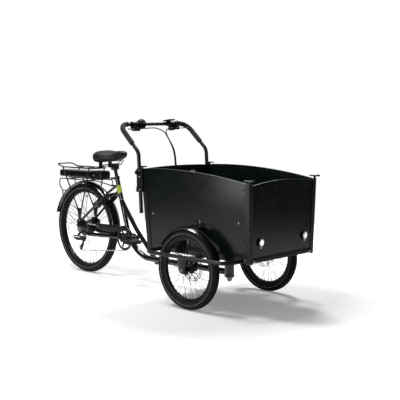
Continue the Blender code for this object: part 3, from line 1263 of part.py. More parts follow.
def control_pod(word, hand):
    """Brake lever bracket and switch housing; the left one also carries the display."""
    y = hand * (LEVER_Y + 0.004)
    bracket = ring_on_bar(y - 0.012, y + 0.012, 0.0185)
    pivot = lever_pivot(hand)
    arm = block((BAR_X - 0.004, y - 0.010, BAR_Z - 0.040), (pivot[0] + 0.008, y + 0.010, BAR_Z - 0.010))
    inner = LEVER_Y - 0.059 if hand < 0 else LEVER_Y - 0.046
    y0, y1 = sorted((hand * inner, hand * (LEVER_Y - 0.007)))
    housing = ring_on_bar(y0, y1, 0.0175)
    lower = block((BAR_X - 0.016, y0 + 0.001, BAR_Z - 0.047), (BAR_X + 0.016, y1 - 0.001, BAR_Z - 0.006))
    switch_y = BUTTON_Y[hand]
    switch = block((BAR_X - 0.0125, switch_y - 0.0115, BAR_Z - 0.004),
                   (BAR_X + 0.0125, switch_y + 0.0115, BAR_Z + 0.0190))
    body = union(bracket, arm, housing, lower, switch)
    if hand > 0:
        clip = ring_on_bar(LEVER_Y + 0.015, GRIP_INNER_Y - 0.0015, 0.0172)
        neck = block((BAR_X - 0.010, LEVER_Y - 0.074, BAR_Z - 0.010),
                     (BAR_X + 0.012, LEVER_Y - 0.044, BAR_Z + 0.020))
        low = [(-0.020, 0.016), (0.050, 0.026), (0.050, 0.034), (-0.020, 0.024)]
        sides = (LEVER_Y - 0.096, LEVER_Y - 0.036)
        screen = loft([[(BAR_X + a, y_at, BAR_Z + b) for a, b in low] for y_at in sides])
        body = union(body, clip, neck, screen)
    gap = LEVER_EYE_H / 2 + GAP
    slot = block((BAR_X + 0.0225, y - 0.04, pivot[2] - gap), (BAR_X + 0.06, y + 0.04, pivot[2] + gap))
    up = Vector((0.0, 0.0, 1.0))
    pin = rod(pivot - up * 0.008, pivot + up * 0.008, LEVER_PIN_R, 10)
    plug = rod((BAR_X, switch_y, BUTTON_FLOOR_Z), (BAR_X, switch_y, BAR_Z + 0.03), BUTTON_R + GAP, 14)
    piece("control_pod_" + word, union(cut(body, slot, bar_bore(), plug), pin), PLASTIC)


def button(word, hand):
    y = BUTTON_Y[hand]
    low = BUTTON_FLOOR_Z + BUTTON_TRAVEL + GAP
    cap = rod((BAR_X, y, low), (BAR_X, y, low + 0.0050), BUTTON_R, 14, end_radius=BUTTON_R - 0.001)
    piece("button_" + word, cap, RED, (BAR_X, y, low))


def brake_lever(word, hand):
    """A two-finger blade in front of the grip, on the pivot of its bracket."""
    pivot = lever_pivot(hand)
    mid_z = pivot[2]
    stations = [(0.000, 0.000, 0.0055, LEVER_EYE_H / 2), (0.005, 0.018, 0.0055, LEVER_EYE_H / 2),
                (0.012, 0.030, 0.0050, 0.0055), (0.021, 0.060, 0.0045, 0.0055),
                (0.022, 0.084, 0.0055, 0.0060)]
    rings = []
    for a, b, half, tall in stations:
        x, y = pivot[0] + a, pivot[1] + hand * b
        rings.append([(x - half, y, mid_z - tall), (x + half, y, mid_z - tall), (x + half, y, mid_z + tall),
                      (x - half, y, mid_z + tall)])
    blade = loft(rings)
    up = Vector((0.0, 0.0, 1.0))
    eye = rod(pivot - up * (LEVER_EYE_H / 2), pivot + up * (LEVER_EYE_H / 2), 0.0085, 12)
    hole = rod(pivot - up * 0.02, pivot + up * 0.02, LEVER_PIN_R + AXLE_FIT, 10)
    piece("brake_lever_" + word, cut(union(blade, eye), hole), POWDER, pivot)


def shifter():
    """The twist shifter's barrel, on the bar beside the right pod."""
    profile = [(SHIFTER_Y - 0.0205, 0.024), (SHIFTER_Y - 0.013, 0.031), (SHIFTER_Y + 0.009, 0.033),
               (SHIFTER_Y + 0.021, 0.026)]
    bore = BAR_R + BAR_FIT
    outline = [(profile[0][0], bore)] + profile + [(profile[-1][0], bore)]
    centre = Vector((BAR_X, 0.0, BAR_Z))
    piece("shifter", lathe(outline, centre, 20), PLASTIC, (BAR_X, SHIFTER_Y, BAR_Z))


def handlebar_cables():
    """The cables of both pods join into one trunk that runs down behind the box."""
    x, z = BAR_X, BAR_Z
    right = [(x + 0.0202, -0.170, z - 0.024), (x + 0.029, -0.118, z - 0.028), (x + 0.036, -0.060, z - 0.026),
             (x + 0.042, -0.020, z - 0.028), (x + 0.054, 0.015, z - 0.040), (x + 0.075, 0.033, z - 0.059),
             (x + 0.100, 0.0410, z - 0.094)]
    left = [(x + 0.0202, 0.165, z - 0.028), (x + 0.029, 0.118, z - 0.030), (x + 0.051, 0.072, z - 0.042),
            (x + 0.072, 0.050, z - 0.064), (x + 0.102, 0.0415, z - 0.098)]
    trunk = [(x + 0.084, 0.040, z - 0.076), (x + 0.099, 0.042, z - 0.092), (x + 0.119, 0.042, z - 0.120),
             (x + 0.144, 0.043, z - 0.163), (x + 0.165, 0.038, z - 0.208), (x + 0.180, 0.030, z - 0.258),
             (x + 0.194, 0.022, z - 0.309), (0.950, 0.018, 0.700),
             (0.972, 0.012, 0.430), (0.980, 0.012, 0.345), (1.000, 0.012, 0.306), (1.050, 0.012, 0.301),
             (LOOP_REAR_X - 0.006, 0.012, LOOP_Z)]
    mesh = union(tube(spline(trunk, 2), TRUNK_R, 1), tube(spline(right, 3), CABLE_R, 1),
                 tube(spline(left, 3), CABLE_R, 1))
    cross = rod((LOOP_REAR_X, -0.1, LOOP_Z), (LOOP_REAR_X, 0.1, LOOP_Z), LOOP_R + GAP, 16)
    piece("handlebar_cables", cut(mesh, cross), PLASTIC)


def assemble():
    rear_wheel()
    for word, hand in (("right", -1), ("left", 1)):
        front_wheel(word, hand)
        front_fender(word, hand)
        headlight(word, hand)
        clamp_knob(word, hand)
        grip(word, hand)
        control_pod(word, hand)
        button(word, hand)
        brake_lever(word, hand)
        brake_arm(word, hand)
        pedal(word, hand)
        corner_post("front_" + word, 1, hand)
        corner_post("rear_" + word, -1, hand)
    main_tube()
    seat_tube()
    seat_stays()
    chain_stays()
    chain()
    cassette()
    cranks()
    chain_guard()
    derailleur()
    shift_cable()
    rear_fender()
    rack()
    battery()
    seatpost()
    piece("saddle", saddle_mesh(), VINYL)
    clamp_lever()
    ring_lock()
    chassis_loop()
    undercarriage()
    box_floor()
    box_panels()
    handlebar()
    shifter()
    handlebar_cables()


assemble()
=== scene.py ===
# %% [markdown]
# # An electric cargo tricycle, dressed for its portrait
#
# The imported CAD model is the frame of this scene: it holds every size and every joint. This file
# adds what the eye needs: rubber with a tread, enamel with a soft gloss, film-faced plywood,
# chain links, spokes, bolts and cables. Everything is in metres, +X forward, +Y to the rider's
# left, +Z up, and the wheels stand on z = 0.

# %% Load the frame
import math

import bmesh
import bpy
import numpy as np
from mathutils import Matrix, Vector


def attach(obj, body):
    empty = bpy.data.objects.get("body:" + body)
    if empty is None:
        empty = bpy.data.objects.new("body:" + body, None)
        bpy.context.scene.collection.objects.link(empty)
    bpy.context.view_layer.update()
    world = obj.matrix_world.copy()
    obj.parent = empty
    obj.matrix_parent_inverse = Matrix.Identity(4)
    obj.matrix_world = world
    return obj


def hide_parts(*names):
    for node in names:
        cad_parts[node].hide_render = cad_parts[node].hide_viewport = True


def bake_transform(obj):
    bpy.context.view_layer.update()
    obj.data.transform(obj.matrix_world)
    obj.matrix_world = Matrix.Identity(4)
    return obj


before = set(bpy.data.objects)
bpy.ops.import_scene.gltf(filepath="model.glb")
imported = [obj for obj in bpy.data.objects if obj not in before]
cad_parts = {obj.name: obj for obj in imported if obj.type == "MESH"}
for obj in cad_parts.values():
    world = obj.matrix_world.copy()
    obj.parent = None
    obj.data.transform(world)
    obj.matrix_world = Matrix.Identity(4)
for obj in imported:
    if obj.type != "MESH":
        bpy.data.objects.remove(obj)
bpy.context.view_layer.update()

# %% [markdown]
# ## Where things are
#
# The CAD was drawn from the point on the floor below the rear axle, and its origin was then moved
# to the middle of the footprint. `place` makes the same shift, so every number below reads as a
# distance ahead of the rear axle, to the left of the middle, and above the floor. The points and
# directions that many pieces share get their names here.

# %% Main places
REAR_AXLE_X = -0.78295


def place(points):
    """Distances from below the rear axle, turned into places in the scene."""
    return np.asarray(points, float) + (REAR_AXLE_X, 0.0, 0.0)


AHEAD, SIDE, UP, ORIGIN = (1, 0, 0), (0, 1, 0), (0, 0, 1), (0, 0, 0)
X, Y, Z = range(3)
SIDES = (("right", -1), ("left", 1))
REAR_Z = 0.3354
FRONT_X, FRONT_Z = 1.4447, 0.249
CRANK_X, CRANK_Z = 0.482, 0.3
REAR_AXLE = place((0.0, 0.0, REAR_Z))
FRONT_AXLE = place((FRONT_X, 0.0, FRONT_Z))
TRACK_HALF = 0.37825
BOTTOM_BRACKET = place((CRANK_X, 0.0, CRANK_Z))
SEAT_TOP = place((0.348, 0.0, 0.742))
SEAT_RUN = (SEAT_TOP - BOTTOM_BRACKET) / np.linalg.norm(SEAT_TOP - BOTTOM_BRACKET)
print("rear axle", REAR_AXLE.round(3), "front axle", FRONT_AXLE.round(3))

# %% [markdown]
# ## The camera
#
# The photograph was taken with a long lens from the front right, a little above the box. The
# lens, place and tilt come from matching the wheels and the box's corners, so the render can be
# laid over the photograph.

# %% Camera
camera_data = bpy.data.cameras.new("portrait_lens")
camera_data.lens = 75.82
camera_data.sensor_width = 36.0
camera = bpy.data.objects.new("portrait_camera", camera_data)
camera_place = Vector(place((5.0045, -3.9872, 1.1969)))
look_at = Vector(place((1.1532, 0.0324, 0.6233)))
aim = (look_at - camera_place).to_track_quat("-Z", "Y").to_matrix()
camera.location = camera_place
camera.rotation_euler = (aim @ Matrix.Rotation(math.radians(-0.14), 3, "Z")).to_euler()
bpy.context.scene.collection.objects.link(camera)
bpy.context.scene.camera = camera
bpy.context.scene.view_settings.view_transform = "Standard"
print("camera at", [round(v, 2) for v in camera_place])

# %% [markdown]
# ## Colour and material helpers
#
# Colours are written as the hex values that a paint chart would give. Blender's shaders work in
# linear light, so one function turns them. A second function adds a shader node with its settings
# and links, and `finish` starts a Principled material from the real values of a surface.

# %% Material helpers
# A Mix node has inputs for each kind of value: these are its two colours and the mixed one
COLOUR_A, COLOUR_B, MIXED = 6, 7, 2


def linear(code):
    """An sRGB hex colour in linear light: each channel to the power that its sRGB curve gives."""
    values = np.array([int(code[i:i + 2], 16) for i in (1, 3, 5)]) / 255
    low, high = values / 12.92, ((values + 0.055) / 1.055) ** 2.4
    return (*np.where(values <= 0.04045, low, high).tolist(), 1.0)


def node(stuff, kind, links=(), **settings):
    """Adds one node. Settings name its properties or inputs; links pair an input with its value
    or with the output that feeds it."""
    made = stuff.node_tree.nodes.new(kind)
    for key, value in settings.items():
        if hasattr(made, key):
            setattr(made, key, value)
        else:
            made.inputs[key.replace("_", " ")].default_value = value
    for socket, source in links:
        if isinstance(source, bpy.types.NodeSocket):
            stuff.node_tree.links.new(source, made.inputs[socket])
        else:
            made.inputs[socket].default_value = source
    return made


def finish(name, slot, colour, roughness, metallic=0.0, **sockets):
    """A Principled material. Its slot is not used. Values that are the same
    all over sit on the shader's own sockets."""
    stuff = bpy.data.materials.new(name)
    stuff.use_nodes = True
    shader = stuff.node_tree.nodes["Principled BSDF"]
    shader.inputs["Base Color"].default_value = linear(colour)
    shader.inputs["Roughness"].default_value = roughness
    shader.inputs["Metallic"].default_value = metallic
    for key, value in sockets.items():
        shader.inputs[key.replace("_", " ")].default_value = value
    return stuff


def shader_of(stuff):
    """The node that holds a finish's own values."""
    return stuff.node_tree.nodes["Principled BSDF"]


def connect(stuff, source, socket):
    """Feeds one of those values from another node's output."""
    stuff.node_tree.links.new(source, shader_of(stuff).inputs[socket])


def noise_of(stuff, size_mm, detail=2.0, vector=None, **settings):
    """Noise whose blobs are size_mm across, in the piece's own metres."""
    if vector is None:
        vector = node(stuff, "ShaderNodeTexCoord").outputs["Object"]
    return node(stuff, "ShaderNodeTexNoise", [("Vector", vector)], Scale=1000 / size_mm,
                Detail=detail, **settings).outputs["Fac"]


def roughen(stuff, source, low, high):
    """Lets the roughness wander between two values with a pattern."""
    spread = node(stuff, "ShaderNodeMapRange", [("Value", source)], From_Min=0.3, From_Max=0.7,
                  To_Min=low, To_Max=high)
    connect(stuff, spread.outputs["Result"], "Roughness")


def emboss(stuff, source, height_mm, strength=1.0):
    """Raises the surface by a pattern, height_mm from its black to its white."""
    bump = node(stuff, "ShaderNodeBump", [("Height", source)], Strength=strength,
                Distance=height_mm / 1000)
    connect(stuff, bump.outputs["Normal"], "Normal")


def tint(stuff, source, dark, light, low=0.35, high=0.65):
    """Colours the surface by a pattern, between two hex colours."""
    spread = node(stuff, "ShaderNodeMapRange", [("Value", source)], From_Min=low, From_Max=high)
    mixed = node(stuff, "ShaderNodeMix", [("Factor", spread.outputs["Result"]),
                                          (COLOUR_A, linear(dark)), (COLOUR_B, linear(light))],
                 data_type="RGBA")
    connect(stuff, mixed.outputs[MIXED], "Base Color")
    return mixed

# %% [markdown]
# ## Shapes from whole arrays
#
# A shape here is a pair: an array of points and a list of face arrays. Working on whole arrays
# keeps a wheel with thirty-six spokes as short to write as one spoke. `skin` closes rings of
# points, `swept` carries a section along a path, `turned` spins a profile about an axle, and
# `slab` pushes an outline through a thickness with a rounded edge.

# %% Shape helpers
def unit(v):
    """Each vector divided by its own length."""
    v = np.asarray(v, float)
    return v / np.linalg.norm(v, axis=-1, keepdims=True)


def skin(rings, loop=False, ends=True):
    """Quads between neighbouring rings of points, and one face over each open end."""
    count, across = rings.shape[:2]
    row = np.arange(count if loop else count - 1)[:, None] * across
    after = (np.arange(len(row))[:, None] + 1) % count * across
    near = np.arange(across)[None]
    far = (near + 1) % across
    faces = [np.stack([row + near, row + far, after + far, after + near], -1).reshape(-1, 4)]
    if ends and not loop:
        faces += [near[:, ::-1], near + (count - 1) * across]
    return rings.reshape(-1, 3), faces


def together(*shapes):
    """One shape from several: each one's corner numbers move up by the points before it."""
    starts = np.cumsum([0] + [len(points) for points, _ in shapes])
    faces = [f + start for (_, sets), start in zip(shapes, starts) for f in sets]
    return np.concatenate([points for points, _ in shapes]), faces


def copies(shape, moves):
    """The shape once for each 4x4 matrix: every point times the turn, plus the shift."""
    points, faces = shape
    moves = np.asarray(moves, float).reshape(-1, 4, 4)
    moved = np.einsum("kij,nj->kni", moves[:, :3, :3], points) + moves[:, None, :3, 3]
    starts = (np.arange(len(moves)) * len(points))[:, None, None]
    return moved.reshape(-1, 3), [(f[None] + starts).reshape(-1, f.shape[1]) for f in faces]


def turns(axis, angles, spot=ORIGIN):
    """4x4 matrices that turn about an axis, then move to spot: cosines keep, sines cross."""
    angles = np.atleast_1d(angles)
    x, y, z = unit(axis)
    cross = np.array([[0, -z, y], [z, 0, -x], [-y, x, 0]])
    moves = np.tile(np.eye(4), (len(angles), 1, 1))
    moves[:, :3, :3] += np.sin(angles)[:, None, None] * cross
    moves[:, :3, :3] += (1 - np.cos(angles))[:, None, None] * (cross @ cross)
    moves[:, :3, 3] = spot
    return moves


def around(count, axis=SIDE, spot=ORIGIN, first=0.0):
    """Turns that share out a full circle evenly about an axis, each then moved to spot."""
    return turns(axis, np.radians(first + np.arange(count) * 360 / count), spot)


def shifts(offsets):
    """4x4 matrices that only move."""
    offsets = np.asarray(offsets, float).reshape(-1, 3)
    moves = np.tile(np.eye(4), (len(offsets), 1, 1))
    moves[:, :3, 3] = offsets
    return moves


def framed(origins, first, second):
    """4x4 matrices whose x points along first and y as near second as it can."""
    first = unit(first)
    third = unit(np.cross(first, second))
    moves = np.tile(np.eye(4), (len(first), 1, 1))
    moves[:, :3, :3] = np.stack([first, np.cross(third, first), third], -1)
    moves[:, :3, 3] = origins
    return moves


def mirrored(shape):
    """The same shape on the other side of the tricycle: y changes sign, faces turn round."""
    return shape[0] * (1, -1, 1), [f[:, ::-1] for f in shape[1]]


def pair(shape):
    """A shape and its mirror image, as one."""
    return together(shape, mirrored(shape))


def circle(radius, steps=20, squeeze=1.0):
    """Points round a circle, or round an oval whose second half-width is squeeze times as long."""
    t = np.arange(steps) * 2 * math.pi / steps
    return np.stack([radius * np.cos(t), radius * squeeze * np.sin(t)], -1)


def box_section(width, height, corner, steps=4):
    """A rectangle with round corners: a quarter circle set at each corner's own centre."""
    t = np.linspace(0, math.pi / 2, steps + 1)[None] + np.arange(4)[:, None] * math.pi / 2
    sides = np.array([[1, 1], [-1, 1], [-1, -1], [1, -1]])[:, None]
    centres = sides * (width / 2 - corner, height / 2 - corner)
    return (centres + corner * np.stack([np.cos(t), np.sin(t)], -1)).reshape(-1, 2)


def swept(path, section, up=UP, scale=1.0, loop=False):
    """Each ring is path + section x across + section y over, with across = up x along."""
    path = np.asarray(path, float)
    along = np.roll(path, -1, 0) - np.roll(path, 1, 0) if loop else np.gradient(path, axis=0)
    along = unit(along)
    across = unit(np.cross(np.broadcast_to(up, path.shape), along))
    over = np.cross(along, across)
    section = np.asarray(section) * np.broadcast_to(scale, len(path))[:, None, None]
    rings = section[..., :1] * across[:, None] + section[..., 1:] * over[:, None]
    return skin(path[:, None] + rings, loop)


def turned(profile, centre, axis, steps=64, loop=False):
    """A profile of (distance along the axle, radius) pairs, spun about the axle."""
    axis, profile = unit(axis), np.asarray(profile, float)
    away = unit(np.cross(axis, UP if abs(axis[2]) < 0.9 else AHEAD))
    t = (np.arange(steps) * 2 * math.pi / steps)[:, None]
    ring = np.cos(t) * away + np.sin(t) * np.cross(axis, away)
    return skin(centre + profile[:, :1, None] * axis + profile[:, 1:, None] * ring, loop)


def slab(outline, low, high, edge=0.0006, through=Y, steps=2):
    """An outline pushed from low to high through one direction. Near each face the outline draws
    in by edge, as a quarter circle does."""
    outline = np.asarray(outline, float)
    after = np.roll(outline, -1, 0)
    sense = np.sign((outline[:, 0] * after[:, 1] - outline[:, 1] * after[:, 0]).sum())
    along = unit(after - np.roll(outline, 1, 0))
    outward = sense * np.stack([along[:, 1], -along[:, 0]], -1)
    t = np.linspace(0, math.pi / 2, steps + 1)
    inset = edge * (1 - np.sin(t))
    depth = edge * (1 - np.cos(t))
    inset = np.concatenate([inset, inset[::-1]])
    level = np.concatenate([low + depth, high - depth[::-1]])
    rings = np.zeros((len(level), len(outline), 3))
    rings[..., [i for i in (X, Y, Z) if i != through]] = outline - inset[:, None, None] * outward
    rings[..., through] = level[:, None]
    return skin(rings)


def rods(starts, ends, radius, sides=8):
    """Straight round rods between pairs of points: one ring at each end of each."""
    starts, ends = np.atleast_2d(starts), np.atleast_2d(ends)
    along = unit(ends - starts)
    away = unit(np.cross(along, (0.36, 0.85, 0.39)))
    t = (np.arange(sides) * 2 * math.pi / sides)[:, None]
    ring = np.cos(t) * away[:, None] + np.sin(t) * np.cross(along, away)[:, None]
    rings = np.stack([starts, ends], 1)[:, :, None] + radius * ring[:, None]
    faces = skin(rings[0])[1]
    starts = (np.arange(len(rings)) * 2 * sides)[:, None, None]
    return rings.reshape(-1, 3), [(f[None] + starts).reshape(-1, f.shape[1]) for f in faces]


def curved(points, steps=12):
    """A smooth path through the points: the cubic whose slopes come from the neighbours."""
    p = np.asarray(points, float)
    p = np.concatenate([2 * p[:1] - p[1:2], p, 2 * p[-1:] - p[-2:-1]])
    a, b, c, d = (p[i:len(p) - 3 + i, None] for i in range(4))
    t = (np.arange(steps) / steps)[None, :, None]
    cubic = 2 * b + (c - a) * t + (2 * a - 5 * b + 4 * c - d) * t**2
    cubic = (cubic + (3 * b - a - 3 * c + d) * t**3) / 2
    return np.concatenate([cubic.reshape(-1, 3), p[-2:-1]])


def bent(points, radius, steps=8):
    """A path with straight runs and round bends: each corner becomes an arc of that radius."""
    p = np.asarray(points, float)
    before, after = unit(p[:-2] - p[1:-1]), unit(p[2:] - p[1:-1])
    half = np.arccos(np.clip((before * after).sum(-1), -1, 1)) / 2
    radius = np.broadcast_to(radius, half.shape)
    middle = p[1:-1] + unit(before + after) * (radius / np.sin(half))[:, None]
    first = p[1:-1] + before * (radius / np.tan(half))[:, None] - middle
    last = p[1:-1] + after * (radius / np.tan(half))[:, None] - middle
    swing = (math.pi - 2 * half)[:, None, None]
    t = np.linspace(0, 1, steps + 1)[None, :, None]
    swung = np.sin((1 - t) * swing) * first[:, None] + np.sin(t * swing) * last[:, None]
    swung = middle[:, None] + swung / np.sin(swing)
    return np.concatenate([p[:1], swung.reshape(-1, 3), p[-1:]])


def distances(path):
    """How far along a path each of its points is: the steps so far, added up."""
    return np.concatenate([[0], np.cumsum(np.linalg.norm(np.diff(path, axis=0), axis=1))])


def length_of(path):
    """The whole length of a path."""
    return float(np.linalg.norm(np.diff(path, axis=0), axis=1).sum())


SHARP_FROM = math.radians(35)


def piece(name, shape, stuff, body, stands_for=()):
    """Fills a mesh from the arrays, smooths it up to an angle, gives it its finish, and ties it to
    its body. A piece given no body is tied to none."""
    points, sets = shape
    mesh = bpy.data.meshes.new(name)
    sizes = np.concatenate([np.full(len(f), f.shape[1]) for f in sets])
    corners = np.concatenate([f.ravel() for f in sets])
    mesh.vertices.add(len(points))
    mesh.vertices.foreach_set("co", np.ascontiguousarray(points, np.float32).ravel())
    mesh.loops.add(len(corners))
    mesh.loops.foreach_set("vertex_index", corners.astype(np.int32))
    mesh.polygons.add(len(sizes))
    mesh.polygons.foreach_set("loop_start", np.concatenate([[0], np.cumsum(sizes)[:-1]]))
    mesh.update(calc_edges=True)
    work = bmesh.new()
    work.from_mesh(mesh)
    bmesh.ops.recalc_face_normals(work, faces=work.faces)
    work.to_mesh(mesh)
    work.free()
    mesh.shade_smooth()
    mesh.set_sharp_from_angle(angle=SHARP_FROM)
    mesh.materials.append(stuff)
    made = bpy.data.objects.new(name, mesh)
    bpy.context.scene.collection.objects.link(made)
    if body:
        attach(made, body)
    if stands_for:
        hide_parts(*stands_for)
    return made

# %% [markdown]
# ## Finishes
#
# The real machine has few colours and many surfaces: stoved black enamel on the rear frame, a
# finer powder coat on the carriage, film-faced birch plywood, anodised rims, rubber, foam and
# steel. Each finish below says what it gives the eye. Pattern sizes are in real millimetres.

# %% Paints and boards
# Stoved enamel: deep black with a faint orange peel 3 mm across that breaks up long highlights
enamel = finish("black_enamel", "frame_paint", "#070808", 0.2, Coat_Weight=0.5,
                Coat_Roughness=0.06)
emboss(enamel, noise_of(enamel, 3.0), 0.01, 0.5)
roughen(enamel, noise_of(enamel, 60, 3), 0.18, 0.24)

# Powder coat: a satin black skin with a 1 mm pebble, greyer than enamel where light grazes it
powder = finish("satin_powder_coat", "powder_coat", "#0a0b0c", 0.38, Specular_IOR_Level=0.4)
emboss(powder, noise_of(powder, 1.2), 0.008, 0.3)
roughen(powder, noise_of(powder, 45, 3), 0.34, 0.41)

# Film-faced plywood: a phenolic film, satin, with the birch's long grain just showing through
filmed = finish("phenolic_film", "filmed_plywood", "#0d1212", 0.2, Specular_IOR_Level=0.45)
grain_place = node(filmed, "ShaderNodeMapping",
                   [("Vector", node(filmed, "ShaderNodeTexCoord").outputs["Object"])],
                   Scale=(0.12, 1.0, 1.0))
grain = noise_of(filmed, 9, 5, grain_place.outputs["Vector"], Distortion=0.6)
tint(filmed, grain, "#0a1111", "#0d1515")
emboss(filmed, grain, 0.012, 0.3)
roughen(filmed, noise_of(filmed, 80, 5), 0.18, 0.24)

# %% Metals
# Anodised aluminium: black, half metallic, with a fine satin that the spoke light catches
anodised = finish("black_anodised", "anodised_rim", "#101113", 0.34, 0.6)
emboss(anodised, noise_of(anodised, 0.8), 0.004, 0.4)
roughen(anodised, noise_of(anodised, 25, 3), 0.28, 0.42)

# Zinc plating on bolts and the chain: a metal that also scatters light, so it stays pale from
# any side
bright = finish("bright_zinc", "bright_steel", "#c4c6c8", 0.26, 0.65)
roughen(bright, noise_of(bright, 14, 2), 0.22, 0.32)

# Blackened spokes: dark enough to draw each wire against a pale floor, with a metal's soft glint
spoke_steel = finish("black_spoke_steel", "bright_steel", "#151617", 0.4, 0.0,
                     Specular_IOR_Level=0.3)
roughen(spoke_steel, noise_of(spoke_steel, 20, 2), 0.26, 0.36)

# Ground stainless steel for the brake discs: even and bright, with the faint haze of grinding
ground = finish("ground_stainless", "bright_steel", "#b9bbbd", 0.24, 1.0)
roughen(ground, noise_of(ground, 10, 2), 0.2, 0.28)

# Blackened steel for guards, hub shells and brackets
dark = finish("blackened_steel", "dark_steel", "#0d0e0f", 0.36, 0.1, Specular_IOR_Level=0.4)
roughen(dark, noise_of(dark, 20, 3), 0.28, 0.44)
emboss(dark, noise_of(dark, 1.0), 0.006, 0.4)

# %% Rubber, foam and vinyl
# Moulded rubber: nearly black, matt, with a bloom of dust that lightens it in patches
rubber = finish("moulded_rubber", "tyre", "#0e0f10", 0.72, Specular_IOR_Level=0.25)
tint(rubber, noise_of(rubber, 40, 5), "#0c0d0e", "#131415")
emboss(rubber, noise_of(rubber, 1.2, 3), 0.05, 0.6)

# Closed-cell foam for the grips: matt charcoal, cells 1.2 mm across as fine dimples
foam = finish("closed_cell_foam", "grip_foam", "#1f2022", 0.88, Specular_IOR_Level=0.3,
              Sheen_Weight=0.08, Sheen_Roughness=0.5)
foam_cells = node(foam, "ShaderNodeTexVoronoi",
                  [("Vector", node(foam, "ShaderNodeTexCoord").outputs["Object"])],
                  Scale=1000 / 1.2)
emboss(foam, foam_cells.outputs["Distance"], 0.12, 0.6)
tint(foam, noise_of(foam, 5, 4), "#1b1c1e", "#242527")

# Saddle vinyl: charcoal with a 1.5 mm leather grain, a little shinier where it is sat on
vinyl = finish("saddle_vinyl", "saddle_vinyl", "#161618", 0.56, Specular_IOR_Level=0.35)
hide = node(vinyl, "ShaderNodeTexVoronoi",
            [("Vector", node(vinyl, "ShaderNodeTexCoord").outputs["Object"])], Scale=1000 / 1.8,
            feature="DISTANCE_TO_EDGE")
emboss(vinyl, hide.outputs["Distance"], 0.1, 0.5)
roughen(vinyl, noise_of(vinyl, 50, 4), 0.44, 0.6)

# %% Plastics
# Moulded plastic: black with a fine spark-eroded texture from the mould
moulded = finish("black_moulding", "black_plastic", "#0b0c0d", 0.46, Specular_IOR_Level=0.3)
emboss(moulded, noise_of(moulded, 0.7), 0.015, 0.5)
roughen(moulded, noise_of(moulded, 30, 3), 0.38, 0.54)

# Battery case: the same plastic polished to a satin, so its long top carries a clear highlight
polished = finish("polished_plastic", "black_plastic", "#0a0b0c", 0.24, Coat_Weight=0.25,
                  Coat_Roughness=0.12)
emboss(polished, noise_of(polished, 4), 0.004, 0.3)
roughen(polished, noise_of(polished, 60, 2), 0.24, 0.3)

# Cable housing: smooth extruded vinyl
housing = finish("cable_housing", "black_plastic", "#090a0b", 0.5, Specular_IOR_Level=0.25)
emboss(housing, noise_of(housing, 2.0), 0.01, 0.3)

# The button's red plastic is glossy, and the band is lime tape; both are a little uneven in tone
red = finish("red_button", "red_plastic", "#c4231f", 0.34, Coat_Weight=0.3)
tint(red, noise_of(red, 6, 2), "#b51d1a", "#cd2a25")
band = finish("lime_band", "frame_paint", "#b9c530", 0.4)
tint(band, noise_of(band, 20, 3), "#aebb28", "#c2cc3c")

# %% Lamp finishes
# Headlight glass is clear and smooth, over a mirror of vacuum-coated plastic
lens = finish("lamp_lens", "lamp_lens", "#f4f6f8", 0.05, Transmission_Weight=0.9, IOR=1.49)
roughen(lens, noise_of(lens, 4, 2), 0.03, 0.1)
# Vacuum-coated plastic: a lit lamp's mirror shows its diode all over, so it glows as well, a
# painted reflection of the diode
mirror = finish("lamp_reflector", "lamp_lens", "#e6e8ea", 0.12, 1.0,
                Emission_Color=linear("#fffdf4"), Emission_Strength=0.8)
roughen(mirror, noise_of(mirror, 3, 2), 0.08, 0.2)
# The diode itself: a white that is brighter than the paper behind the machine
lit = finish("lamp_diode", "lamp_lens", "#fffdf4", 0.3, Emission_Color=linear("#fffdf4"),
             Emission_Strength=9.0)
tint(lit, noise_of(lit, 2, 1), "#f6f4ea", "#ffffff")
print("finishes", len(bpy.data.materials))

# %% [markdown]
# ## The tyres
#
# A city tyre is a hoop of rubber whose section is a fat oval, open at the rim. The tread has
# grooves that run round it, cut here in the profile itself, and short sipes across it, which are
# as fine as a knife cut and so are left to the surface. A pale reflective line runs round each
# side wall. The line and the sipes need to know how far round the wheel a point is, so the
# material works that out from the point's place: its radius and its angle about the axle.

# %% Round-the-axle patterns
def about_axle(stuff, centre):
    """Radius from the axle, angle round it, and distance across the wheel, from the place."""
    place_of = node(stuff, "ShaderNodeTexCoord").outputs["Object"]
    parts = node(stuff, "ShaderNodeSeparateXYZ", [("Vector", place_of)])
    along, rise, across = (node(stuff, "ShaderNodeMath",
                                [(0, parts.outputs[name]), (1, float(centre[i]))],
                                operation="SUBTRACT").outputs[0] for name,
                           i in (("X", X), ("Z", Z), ("Y", Y)))
    flat = node(stuff, "ShaderNodeCombineXYZ", [("X", along), ("Y", rise)])
    radius = node(stuff, "ShaderNodeVectorMath", [(0, flat.outputs[0])], operation="LENGTH")
    angle = node(stuff, "ShaderNodeMath", [(0, rise), (1, along)], operation="ARCTAN2")
    return radius.outputs["Value"], angle.outputs[0], across


def between(stuff, value, low, high, soft=0.0002):
    """1 where the value lies between low and high, with an edge as wide as soft."""
    up = node(stuff, "ShaderNodeMapRange", [("Value", value)], From_Min=low - soft,
              From_Max=low + soft)
    down = node(stuff, "ShaderNodeMapRange", [("Value", value)], From_Min=high - soft,
                From_Max=high + soft, To_Min=1.0, To_Max=0.0)
    both = node(stuff, "ShaderNodeMath", [(0, up.outputs[0]), (1, down.outputs[0])],
                operation="MULTIPLY")
    return both.outputs[0]


STRIPE_HALF, SIPE_LEAN = 0.0013, 160.0


